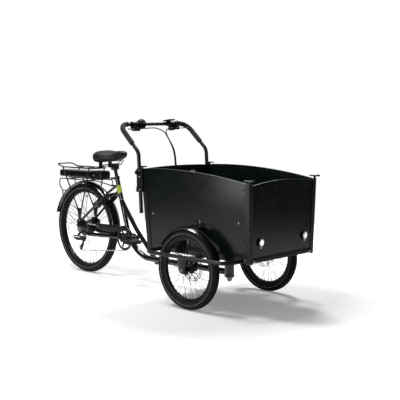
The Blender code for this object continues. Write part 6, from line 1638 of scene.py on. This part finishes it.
print("rack", round(float(np.ptp(top_loop[0][:, 0])), 3), "m long")

# %% Battery and its holder
CASE_TAIL, CASE_LENGTH, CASE_ROUND = -0.262, 0.3738, 0.012
along = np.concatenate([0.03 * np.linspace(0, 1, 9)[:-1] ** 1.4, np.linspace(0.03, 0.985, 24),
                        [0.993, 0.998, 1.0]])
case_x = CASE_TAIL + CASE_LENGTH * along
case_line = np.stack([case_x, 0 * case_x, 0 * case_x + 0.74415], -1)
draw = np.clip((case_x - CASE_TAIL) / CASE_ROUND, 0, 1)
draw = 0.84 + 0.16 * np.sqrt(1 - (1 - draw) ** 2)
draw[-3:] = (0.998, 0.992, 0.975)
case = swept(place(case_line), box_section(0.112, 0.0535, 0.0155, 6), UP, draw)
piece("battery_shell", case, polished, "battery", ["battery_case"])
seam_line = np.array([(-0.258, 0.0563, 0.74), (0.11, 0.0563, 0.74)])
seam = swept(place(seam_line), box_section(0.0012, 0.001, 0.0003, 2), UP)
grip_slot = slab(box_section(0.058, 0.018, 0.0085, 6) + (0.0, 0.744), 0.0, 0.0016, 0.0006, X)
grip_slot = copies(grip_slot, shifts(place((-0.2632, 0, 0))))
rim_line = np.pad(box_section(0.062, 0.022, 0.0105, 6), ((0, 0), (1, 0)))
grip_rim = swept(rim_line + place((-0.2622, 0, 0.744)), circle(0.0012, 8), AHEAD, loop=True)
cap = plate(box_section(0.03, 0.02, 0.006, 5) + (-0.19, 0.744), -0.0577, -0.0552, 0.0008)
piece("battery_trim", together(pair(seam), grip_slot, grip_rim, cap), moulded, "battery")
lamps = spun([(-0.0568, 0.0), (-0.0568, 0.0014), (-0.0556, 0.0016), (-0.0556, 0.0)], ORIGIN, SIDE,
             12)
lamps = copies(lamps, shifts([(u, 0, 0.752) for u in (-0.15, -0.142, -0.134, -0.126)]))
# Charge lamps that are off: a grey green translucent plastic
charge = finish("charge_lamp", "black_plastic", "#47604a", 0.3)
tint(charge, noise_of(charge, 2, 1), "#3e5641", "#527056")
piece("charge_lamps", lamps, charge, "battery")

hold_x = np.concatenate([[0.112, 0.1124, 0.1134], np.linspace(0.116, 0.214, 8), 0.214 + 0.014
                         * np.sin(np.linspace(0.12, math.pi / 2, 10))])
hold_line = np.stack([hold_x, 0 * hold_x, 0 * hold_x + 0.742], -1)
hold_draw = np.sqrt(1 - np.clip((hold_x - 0.206) / 0.0235, 0, 1) ** 2) * 0.45 + 0.55
hold_draw[:3] = (0.965, 0.99, 0.998)
holder_box = swept(place(hold_line), box_section(0.1, 0.068, 0.016, 6), UP, hold_draw)
tray = plate(box_section(0.322, 0.042, 0.006, 4) + (-0.039, 0.0), 0.7085, 0.7169, 0.0012, Z)
lock = spun([(-0.0495, 0.0), (-0.0495, 0.0085), (-0.053, 0.008), (-0.054, 0.0062), (-0.054, 0.0)],
            (0.146, 0, 0.745), SIDE, 32)
ribs = copies(slab(box_section(0.0016, 0.044, 0.0007, 2) + (0, 0.744), -0.0504, 0.0504, 0.0003),
              shifts(place([(u, 0, 0) for u in (0.176, 0.182, 0.188, 0.194)])))
piece("battery_holder_shell", together(holder_box, tray, ribs), moulded, "frame",
      ["battery_holder"])
key = plate(box_section(0.0016, 0.0064, 0.0007, 2) + (0.146, 0.745), -0.0545, -0.0538, 0.0002)
piece("battery_lock", lock, ground, "frame")
piece("battery_keyhole", key, dark, "frame")

# %% [markdown]
# ## Seat post, rails and dampers
#
# The post is black here, with one bolt through a cradle at its head that grips the saddle's two
# rails. Under the wide rear of the saddle stand two rubber dampers, ribbed like a bellows so that
# they can be squeezed; a turned profile with a wavy side gives them.

# %% Seat post
post_head = BRACKET + SEAT_RUN * ((0.803 - 0.3) / SEAT_RUN[2])
post = tube([BRACKET + 0.28 * SEAT_RUN, post_head], 0.0127, steps=32)
cradle = spun([(-0.03, 0.0), (-0.03, 0.012), (-0.028, 0.0148), (-0.018, 0.0155), (0.018, 0.0155),
               (0.028, 0.0148), (0.03, 0.012), (0.03, 0.0)], post_head, SIDE, 40)
jaw = plate(box_section(0.03, 0.018, 0.005, 4) + (post_head[0], 0.821), -0.0285, 0.0285, 0.002)
upper_jaw = plate(box_section(0.026, 0.008, 0.003, 3) + (post_head[0], 0.8318), -0.0285, 0.0285,
                  0.0015)
saddle_rail = tube([(0.222, 0.045, 0.812), (0.255, 0.022, 0.8265), (0.37, 0.022, 0.8265),
                    (0.412, 0.01, 0.862)], 0.0035, 0.02, SIDE, 14)
rear_bar = crossbars((0.222,), 0.045, 0.811, 0.0035)
z = np.linspace(0.804, 0.848, 45)
waves = 0.0138 + 0.0018 * np.cos(np.linspace(0, 4, 45) * 2 * math.pi)
damper = np.concatenate([[(0.8, 0.0), (0.8, 0.015), (0.8012, 0.016), (0.8034, 0.016)],
                         np.stack([z, waves], -1), [(0.8486, 0.016), (0.85, 0.015), (0.85, 0.0)]])
piece("seat_post_steel", together(post, cradle, jaw, upper_jaw, pair(saddle_rail), rear_bar), dark,
      "saddle_set", ["seatpost"])
piece("saddle_dampers", pair(spun(damper, (0.222, 0.045, 0), UP, 40)), rubber, "saddle_set")
cradle_bolt = spun([(0.029, 0.0), (0.029, 0.0052), (0.0335, 0.005), (0.0345, 0.0036),
                    (0.0345, 0.0)], post_head, SIDE, 6)
piece("cradle_bolts", pair(cradle_bolt), bright, "saddle_set")
print("seat post head", post_head.round(3))

# %% [markdown]
# ## Chain guard and derailleur
#
# The guard is a thin moulding that follows the upper run of the chain and wraps the front of the
# chainring, with a lip turned in over the links. The derailleur is a parallelogram of two cast
# links between a fixed and a moving knuckle; below it a sprung cage holds two toothed wheels that
# keep the chain tight. A loop of housing brings its cable from the chain stay.

# %% Chain guard
outer = arc((CRANK_X, CRANK_Z), 0.096, 97, -11, 40)
inner = arc((CRANK_X, CRANK_Z), 0.07, -11, 112, 40)
outline = np.concatenate([[(0.352, 0.3385), (0.19, 0.35), (0.184, 0.354), (0.178, 0.385),
                           (0.182, 0.3904)], outer, inner])
wall = slab(outline, -0.0625, -0.0596, 0.0009)
crest = np.concatenate([[(0.181, 0.3893)], arc((CRANK_X, CRANK_Z), 0.0948, 97, 24, 30)])
crest = np.stack([crest[:, 0], np.full(len(crest), -0.0537), crest[:, 1]], -1)
lid = swept(crest, box_section(0.016, 0.0022, 0.001, 2), UP)
tab_at = BRACKET + 0.0967 * SEAT_RUN
tab = rods((tab_at[0], -0.06, tab_at[2]), (tab_at[0], -0.012, tab_at[2]), 0.0028, 14)
piece("chain_guard_shell", copies(together(wall, lid, tab), HERE), moulded, "frame",
      ["chain_guard"])
guard_screws = spun([(-0.0645, 0.0), (-0.0645, 0.003), (-0.0634, 0.0046), (-0.0622, 0.0046),
                     (-0.0622, 0.0)], ORIGIN, SIDE, 18)
spots = [(tab_at[0], 0, tab_at[2]), (0.2, 0, 0.371)]
piece("chain_guard_screws", copies(guard_screws, shifts(spots)), bright, "frame")

# %% Derailleur
at_guide = (GUIDE[0], 0, GUIDE[1])
link = lambda points, low, high, edge: slab(points, low, high, edge, Y, 3)
outer_link = link([(-0.067, 0.257), (-0.03, 0.2465), (0.014, 0.248), (0.024, 0.256), (0.02, 0.266),
                   (-0.02, 0.27), (-0.066, 0.27), (-0.071, 0.264)], -0.083, -0.0765, 0.002)
upper_link = link([(-0.07, 0.274), (-0.02, 0.2745), (0.014, 0.2725), (0.03, 0.274), (0.034, 0.281),
                   (0.012, 0.286), (-0.02, 0.286), (-0.069, 0.284)], -0.0815, -0.0712, 0.002)
knuckle = link([(0.006, 0.256), (0.018, 0.247), (0.04, 0.248), (0.052, 0.258), (0.056, 0.268),
                (0.05, 0.278), (0.038, 0.283), (0.016, 0.2845), (0.004, 0.276)], -0.083, -0.07,
               0.003)
barrel = spun([(-0.0725, 0.0), (-0.0725, 0.01), (-0.0715, 0.011), (-0.059, 0.011),
               (-0.0582, 0.0102), (-0.0582, 0.0041), (-0.044, 0.0041), (-0.044, 0.0)], at_guide,
              SIDE, 40)
body_shape = copies(together(outer_link, upper_link, knuckle), HERE)
piece("derailleur_links", together(body_shape, barrel), powder, "derailleur", ["derailleur_body"])
pin_head = spun([(-0.084, 0.0), (-0.084, 0.0026), (-0.0832, 0.0034), (-0.0822, 0.0034),
                 (-0.0822, 0.0)], ORIGIN, SIDE, 20)
pin_spots = [(-0.06, 0, 0.264), (-0.06, 0, 0.279), (0.015, 0, 0.2575), (0.02, 0, 0.278),
             (0.03, 0, 0.264)]
piece("derailleur_pins", copies(pin_head, shifts(pin_spots)), bright, "derailleur")

run = unit(TENSION - GUIDE)
heading = math.degrees(math.atan2(run[1], run[0]))
waist = np.array([-run[1], run[0]]) * 0.0065
middle = (GUIDE + TENSION) / 2
cage_side = np.concatenate([arc(GUIDE, 0.01, heading + 90, heading + 270, 16), [middle - waist],
                            arc(TENSION, 0.01, heading - 90, heading + 90, 16), [middle + waist]])
cage = [slab(cage_side, CHAIN_Y + y, CHAIN_Y + y + 0.0013, 0.0003) for y in (-0.0062, 0.0049)]
piece("derailleur_cage_plates", copies(together(*cage), HERE), dark, "derailleur_cage",
      ["derailleur_cage"])


def jockey(spot, teeth=11):
    """A plastic wheel whose rim rises and falls once for each tooth, between two shields."""
    t = np.linspace(0, 2 * math.pi, teeth * 12, endpoint=False)
    reach = 0.0142 + 0.002 * np.clip(np.cos(teeth * t) * 1.6, -1, 1)
    rim = spot + reach[:, None] * np.stack([np.cos(t), np.sin(t)], -1)
    return slab(rim, CHAIN_Y - 0.0015, CHAIN_Y + 0.0015, 0.0004)


wheels = copies(together(jockey(GUIDE), jockey(TENSION)), HERE)
hub = [(-0.005, 0.0042), (-0.005, 0.0076), (-0.003, 0.0084), (0.003, 0.0084), (0.005, 0.0076),
       (0.005, 0.0042)]
hubs = together(*[spun(hub, (spot[0], CHAIN_Y, spot[1]), SIDE, 28, loop=True)
                  for spot in (GUIDE, TENSION)])
piece("jockey_wheels", together(wheels, hubs), moulded, "derailleur_cage")
axle = spun([(-0.0072, 0.0), (-0.0072, 0.0034), (-0.0062, 0.0042), (0.0062, 0.0042),
             (0.0072, 0.0034), (0.0072, 0.0)], (TENSION[0], CHAIN_Y, TENSION[1]), SIDE, 20)
piece("cage_axle", axle, bright, "derailleur_cage")

# %% Shift cable
def corded(name, route, radius, body, up=UP, stands_for=(), sides=12):
    """A cable: a circle of the housing's thickness carried along its route."""
    made = piece(name, swept(route, circle(radius, sides), up), housing, body, stands_for)
    return made


shift_route = curved(place([(0.12, -0.0784, 0.301), (0.062, -0.085, 0.33), (0.02, -0.0872, 0.352),
                            (-0.016, -0.0875, 0.364), (-0.055, -0.087, 0.373),
                            (-0.101, -0.085, 0.368), (-0.128, -0.0825, 0.335),
                            (-0.12, -0.08, 0.292), (-0.096, -0.077, 0.27),
                            (-0.0715, -0.0765, 0.262)]), 8)
corded("shift_housing", shift_route, 0.0022, "frame", SIDE, ["shift_cable"])

# %% [markdown]
# ## The steered chassis
#
# One loop of tube runs round the box and outside both front wheels, so each wheel is held on both
# sides: by a plate on the loop and by a plate under the inner rail. A square beam joins the rails
# over the steering pivot. Everything is tube, plate and nut, so the shapes are the same swept
# circles, rounded slabs and turned profiles as before.

# %% Loop, rails and beam
LOOP_Y, LOOP_Z, LOOP_RADIUS, RAIL_Y = 0.43, 0.33, 0.0125, 0.28
loop_tube = tube([(1.106, -LOOP_Y, LOOP_Z), (1.106, LOOP_Y, LOOP_Z), (1.8, LOOP_Y, LOOP_Z),
                  (1.8, -LOOP_Y, LOOP_Z)], LOOP_RADIUS, 0.07, UP, 24, loop=True)
HUB_SPOT = (FRONT_X, 0, FRONT_Z)
by_axle = lambda points, y0, y1: plate(np.array(points) + (FRONT_X, 0), y0, y1, 0.0009)
outer_plate = by_axle([(-0.04, 0.332), (-0.037, 0.316), (-0.027, 0.25), (-0.021, 0.236),
                       (-0.008, 0.23), (0.008, 0.23), (0.021, 0.236), (0.027, 0.25),
                       (0.037, 0.316), (0.04, 0.332)], 0.43, 0.435)
piece("chassis_loop_steel", together(loop_tube, pair(outer_plate)), powder, "front_carriage",
      ["chassis_loop"])
outer_end = spun([(0.4345, 0.0), (0.4345, 0.0108), (0.4358, 0.0108), (0.436, 0.0094),
                  (0.4422, 0.0095), (0.443, 0.0084), (0.443, 0.006), (0.4472, 0.006),
                  (0.448, 0.005), (0.448, 0.0)], HUB_SPOT, SIDE, 6)
thread = spun([(0.3138, 0.0), (0.3138, 0.0052), (0.3146, 0.006), (0.447, 0.006), (0.448, 0.005),
               (0.448, 0.0)], HUB_SPOT, SIDE, 28)
inner_nut = spun([(0.3132, 0.0), (0.3132, 0.0084), (0.314, 0.0095), (0.3214, 0.0095),
                  (0.3214, 0.0)], HUB_SPOT, SIDE, 6)
piece("front_axles", pair(together(outer_end, thread, inner_nut)), bright, "front_carriage")

inner_rail = rods(place((1.1175, RAIL_Y, LOOP_Z)), place((1.7885, RAIL_Y, LOOP_Z)), LOOP_RADIUS,
                  24)
beam = swept(place([(FRONT_X, y, 0.3236) for y in np.linspace(-0.2805, 0.2805, 8)]),
             box_section(0.04, 0.0368, 0.004, 4), UP)
inner_plate = by_axle([(-0.034, 0.3169), (-0.052, 0.31), (-0.07, 0.3), (-0.072, 0.286),
                       (-0.07, 0.272), (-0.04, 0.248), (-0.022, 0.2325), (0.0, 0.23),
                       (0.022, 0.2325), (0.029, 0.27), (0.034, 0.3169)], 0.3218, 0.3268)
shelf = plate(box_section(0.068, 0.0498, 0.004, 3) + (FRONT_X, 0.3019), 0.3119, 0.3168, 0.0009, Z)
saddle_block = by_axle([(-0.034, 0.3119), (0.034, 0.3119), (0.032, 0.329), (-0.032, 0.329)], 0.272,
                       0.288)
race = spun([(0.2624, 0.0), (0.2624, 0.0295), (0.264, 0.03), (0.305, 0.03), (0.306, 0.029),
             (0.306, 0.0)], KINGPIN, UP, 56)
web = slab(np.array([(0.03, 0.306), (0.03, 0.29), (0.036, 0.29), (0.095, 0.306)]), -0.003, 0.003,
           0.0006, X)
webs = copies(pair(web), shifts(place(KINGPIN)))
wheel_carriers = pair(together(inner_rail, inner_plate, shelf, saddle_block))
piece("undercarriage_steel", together(beam, race, webs, wheel_carriers), powder, "front_carriage",
      ["undercarriage"])
pivot_pin = spun([(0.122, 0.0), (0.122, 0.0112), (0.1236, 0.0125), (0.1285, 0.0125),
                  (0.1285, 0.0)], KINGPIN, UP, 32)
pivot_nut = spun([(0.128, 0.0), (0.128, 0.0165), (0.13, 0.018), (0.1425, 0.018), (0.1425, 0.0)],
                 KINGPIN, UP, 6)
pivot_washer = spun([(0.1425, 0.0), (0.1425, 0.0225), (0.1434, 0.0232), (0.1484, 0.0232),
                     (0.1494, 0.0222), (0.1494, 0.0)], KINGPIN, UP, 40)
piece("pivot_nut", together(pivot_pin, pivot_nut, pivot_washer), bright, "front_carriage")

# %% [markdown]
# ## Disc brakes
#
# A disc is a ring of ground stainless steel, pierced so that water and dust can leave it, on six
# swept arms that carry it to the hub. The ring here is two thin hoops joined by slanted webs, so
# the holes are true openings. The caliper is a cast body in two halves, bolted together across
# the disc, with a hose bolt at its end.

# %% Discs and calipers
DISC_Y, DISC_HALF = 0.33925, 0.00095


def hoop_of(r0, r1, steps):
    """A flat hoop as thick as the disc, between two radii."""
    return turned([(-DISC_HALF, r0), (-DISC_HALF, r1), (DISC_HALF, r1), (DISC_HALF, r0)], ORIGIN,
                  SIDE, steps, loop=True)


hoops = [hoop_of(0.0592, 0.0638, 144), hoop_of(0.073, 0.08, 144)]
web = slab([(0.063, -0.0014), (0.0738, 0.0016), (0.0738, 0.0044), (0.063, 0.0014)], -DISC_HALF,
           DISC_HALF, 0.0001)
t = np.linspace(0, 1, 12)
spine = np.stack([0.0185 + 0.042 * t, 0.014 * np.sin(t * 1.5)], -1)
arm = np.concatenate([spine - (0, 0.0036), (spine + (0, 0.0036))[::-1]])
arm = slab(arm, -DISC_HALF, DISC_HALF, 0.0001)
rotor = together(*hoops, copies(web, around(36)), copies(arm, around(6)),
                 hoop_of(0.019, 0.0235, 64))
rotor_bolt = turned([(-0.003, 0.0), (-0.003, 0.0024), (-0.0022, 0.0034), (-0.0008, 0.0034),
                     (-0.0008, 0.0)], (0.0212, 0, 0), SIDE, 16)
rotor_bolts = copies(rotor_bolt, around(6, SIDE, ORIGIN, 30))
half_low = slab(np.array([(-0.092, 0.268), (-0.086, 0.262), (-0.056, 0.262), (-0.048, 0.27),
                          (-0.048, 0.296), (-0.058, 0.306), (-0.084, 0.306), (-0.092, 0.298)]),
                0.3238, 0.3374, 0.0024, Y, 3)
half_high = slab(np.array([(-0.09, 0.27), (-0.085, 0.264), (-0.058, 0.264), (-0.05, 0.272),
                           (-0.05, 0.294), (-0.059, 0.304), (-0.083, 0.304), (-0.09, 0.296)]),
                 0.3412, 0.3498, 0.0024, Y, 3)
rib = slab(box_section(0.01, 0.038, 0.003, 3) + (-0.0865, 0.284), 0.336, 0.343, 0.001)
caliper = copies(together(half_low, half_high, rib), shifts(place(KINGPIN)))
caliper_bolts = together(*[spun([(0.349, 0.0), (0.349, 0.0034), (0.352, 0.0034), (0.3526, 0.0028),
                                 (0.3526, 0.0)], (FRONT_X - 0.07 + du, 0, 0.284 + dz), SIDE, 20)
                           for du, dz in ((-0.012, -0.012), (0.012, 0.012))])
hose_route = curved(place([(FRONT_X - 0.088, 0.33, 0.3), (1.34, 0.322, 0.309),
                           (1.322, 0.304, 0.31), (1.3, 0.293, 0.3125), (1.24, 0.29, 0.316)]), 10)
for side, sign in SIDES[::-1]:
    spot = shifts(FRONT_AXLE + (0, sign * DISC_Y, 0))
    disc, bolts = (rotor, rotor_bolts) if sign > 0 else (mirrored(rotor), mirrored(rotor_bolts))
    piece("disc_" + side, copies(disc, spot), ground, "front_wheel_" + side,
          ["brake_disc_" + side])
    piece("disc_bolts_" + side, copies(bolts, spot), dark, "front_wheel_" + side)
piece("brake_calipers", pair(caliper), powder, "front_carriage")
piece("caliper_bolts", pair(caliper_bolts), bright, "front_carriage")
for side, sign in SIDES[::-1]:
    corded("brake_hose_" + side, hose_route * (1, sign, 1), 0.0025, "front_carriage")

# %% [markdown]
# ## Cables from the handlebar
#
# Brake hoses and switch cables leave each lever, meet under the middle of the bar and run down
# together behind the box. They are held only at their ends, so they bow under their own weight.
# Each is a smooth curve through a few points. These meshes are tied to no body; their places are
# baked into the mesh.

# %% Cables
bar = lambda rows: [(BAR_X + dx, y, BAR_Z + dz) for dx, y, dz in rows]
right_points = bar([(0.0202, -0.17, -0.024), (0.029, -0.118, -0.028), (0.036, -0.06, -0.026),
                    (0.042, -0.02, -0.028), (0.054, 0.015, -0.04), (0.075, 0.033, -0.059),
                    (0.1, 0.041, -0.094)])
left_points = bar([(0.0202, 0.165, -0.028), (0.029, 0.118, -0.03), (0.051, 0.072, -0.042),
                   (0.072, 0.05, -0.064), (0.102, 0.0415, -0.098)])
trunk_points = bar([(0.084, 0.04, -0.076), (0.099, 0.042, -0.092), (0.119, 0.042, -0.12),
                    (0.144, 0.043, -0.163), (0.165, 0.038, -0.208), (0.18, 0.03, -0.258),
                    (0.194, 0.022, -0.309)])
trunk_points += [(0.95, 0.018, 0.7), (0.972, 0.012, 0.43), (0.98, 0.012, 0.345),
                 (1.0, 0.012, 0.306), (1.05, 0.012, 0.301), (1.096, 0.012, 0.327)]
for side, points, apart, stands_for in (
        ("right", right_points + trunk_points[1:], -0.0042, ["handlebar_cables"]),
        ("left", left_points + trunk_points[2:], 0.0042, [])):
    in_trunk = np.clip(np.arange(len(points)) - 5, 0, 1)[:, None]
    route = curved(place(np.array(points) + in_trunk * (0, apart, 0)), 10)
    cable = corded("cable_" + side, route, 0.0038, None, (0.3, 0.2, 1), stands_for, 14)
    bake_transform(cable)

# %% [markdown]
# ## The boards and corner posts
#
# Flat plywood and straight angle steel are already right in the CAD, down to the curved top edges
# and the screw heads, so these nine nodes keep their meshes and only get a finish. Giving a node
# that stays just a material keeps its edges exactly where the joints and the checks expect them.

# %% Dress the kept nodes
FINISHES = {filmed: "panel_left panel_right panel_front panel_rear box_floor",
            powder: "post_front_left post_front_right post_rear_left post_rear_right"}
for stuff, names in FINISHES.items():
    for name in names.split():
        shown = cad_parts[name]
        shown.data.materials.clear()
        shown.data.materials.append(stuff)
print("dressed", sum(len(names.split()) for names in FINISHES.values()), "nodes")

# %% [markdown]
# ## The studio
#
# A product picture of a black machine is mostly a picture of what its surfaces reflect. Here two
# broad lamps hang high on either side of it, so the tops of the tubes carry white lines, each
# lamp lights the other one's shadow, and only the floor right under the box is dark. The floor is
# white by its own colour and fades to pure white away from the wheels, so it has no edge. The air
# lights the machine only a little, and reflections see it as a real room: white behind the machine
# and dim elsewhere. A dim card stands beside the machine just outside the picture: the side panel
# mirrors its edge, which gives the long board its slow change of tone. A narrow strip next to it
# draws one bright line down each upright tube. The lamps stay at a level where a pale paint keeps
# its tone.

# %% Floor
FLOOR_RADIUS, WHITE_FROM, WHITE_TO = 3.6, 1.25, 2.2
# Camera rays see the paper's own glow, dimmer among the wheels; a mirror sees hardly any of it
GLOW_AMONG_WHEELS, GLOW_IN_MIRRORS = 0.21, 0.04
floor_mesh = bpy.data.meshes.new("studio_floor")
edge = np.pad(circle(FLOOR_RADIUS, 96), ((0, 0), (0, 1)))
floor_mesh.from_pydata(edge.tolist(), [], [list(range(96))])
studio_floor = bpy.data.objects.new("studio_floor", floor_mesh)
bpy.context.scene.collection.objects.link(studio_floor)
# Seamless paper: matt and white, lit by its own glow as well, so that it has no edge
paper = finish("white_paper", None, "#f4f4f4", 0.9)
ray = node(paper, "ShaderNodeLightPath")
spot = node(paper, "ShaderNodeVectorMath",
            [(0, node(paper, "ShaderNodeTexCoord").outputs["Object"])], operation="LENGTH")
near_glow = node(paper, "ShaderNodeMapRange", [("Value", spot.outputs["Value"])],
                 From_Min=WHITE_FROM, From_Max=WHITE_TO, To_Min=GLOW_AMONG_WHEELS, To_Max=1.0)
direct = node(paper, "ShaderNodeMath", [(0, ray.outputs["Is Camera Ray"]),
                                        (1, ray.outputs["Is Transmission Ray"])],
              operation="MAXIMUM")
direct = node(paper, "ShaderNodeMath", [(0, direct.outputs[0]), (1, near_glow.outputs["Result"])],
              operation="MULTIPLY")
glow = node(paper, "ShaderNodeMath", [(0, ray.outputs["Is Glossy Ray"]), (1, GLOW_IN_MIRRORS),
                                      (2, direct.outputs[0])], operation="MULTIPLY_ADD")
shader_of(paper).inputs["Emission Color"].default_value = (1, 1, 1, 1)
connect(paper, glow.outputs[0], "Emission Strength")
studio_floor.data.materials.append(paper)

# %% Air
# Strengths of the air: as light, as a mirror sees it, and as it sees the white behind the machine
AMBIENT, ROOM, WHITE_BEHIND = 0.2, 0.045, 0.8
away_from_camera = (-0.6923, 0.7217, 0.0)
world = bpy.data.worlds.new("studio_air")
bpy.context.scene.world = world
world.use_nodes = True
air = world.node_tree.nodes["Background"]
seen_toward = node(world, "ShaderNodeTexCoord").outputs["Generated"]
cosine = node(world, "ShaderNodeVectorMath", [(0, seen_toward), (1, away_from_camera)],
              operation="DOT_PRODUCT")
behind = node(world, "ShaderNodeMapRange", [("Value", cosine.outputs["Value"])], From_Min=0.3,
              From_Max=0.85, To_Max=WHITE_BEHIND)
room = node(world, "ShaderNodeMath", [(0, behind.outputs["Result"]), (1, ROOM)], operation="ADD")
ray = node(world, "ShaderNodeLightPath")
in_mirror = [("Value", ray.outputs["Is Glossy Ray"]), ("To Max", room.outputs[0])]
mirrored_room = node(world, "ShaderNodeMapRange", in_mirror, To_Min=AMBIENT)
direct = node(world, "ShaderNodeMath", [(0, ray.outputs["Is Camera Ray"]),
                                        (1, ray.outputs["Is Transmission Ray"])],
              operation="MAXIMUM")
level = node(world, "ShaderNodeMath", [(0, mirrored_room.outputs["Result"]),
                                       (1, direct.outputs[0])], operation="MAXIMUM")
world.node_tree.links.new(level.outputs[0], air.inputs["Strength"])
air.inputs["Color"].default_value = (1, 1, 1, 1)

# %% Lamps
FAINT = 20


def lamp(name, spot, target, width, height, watts):
    """A soft box at spot, facing target. The camera doesn't see it, and a faint one is only there
    to be mirrored."""
    light = bpy.data.lights.new(name, "AREA")
    light.shape = "RECTANGLE"
    light.size, light.size_y = width, height
    light.energy = watts
    made = bpy.data.objects.new(name, light)
    made.location = spot
    made.rotation_euler = Vector(np.asarray(target) - spot).to_track_quat("-Z", "Y").to_euler()
    made.visible_camera = False
    made.visible_diffuse = watts > FAINT
    bpy.context.scene.collection.objects.link(made)


middle = np.array([0.2, 0.0, 0.5])
lamp("key_box", middle + 2.8 * np.array([-0.32, -0.36, 1.0]), middle, 0.9, 0.9, 84)
lamp("back_box", middle + 2.7 * np.array([-0.2, 0.6, 1.0]), middle, 0.9, 0.9, 80)
card = place((0.87, -1.6, 0.88))
lamp("side_card", card, card + SIDE, 0.7, 0.85, 6.0)
strip = place((1.3, -2.4, 0.9))
lamp("tube_strip", strip, strip + (-0.4, 1, 0), 0.12, 1.4, 15)
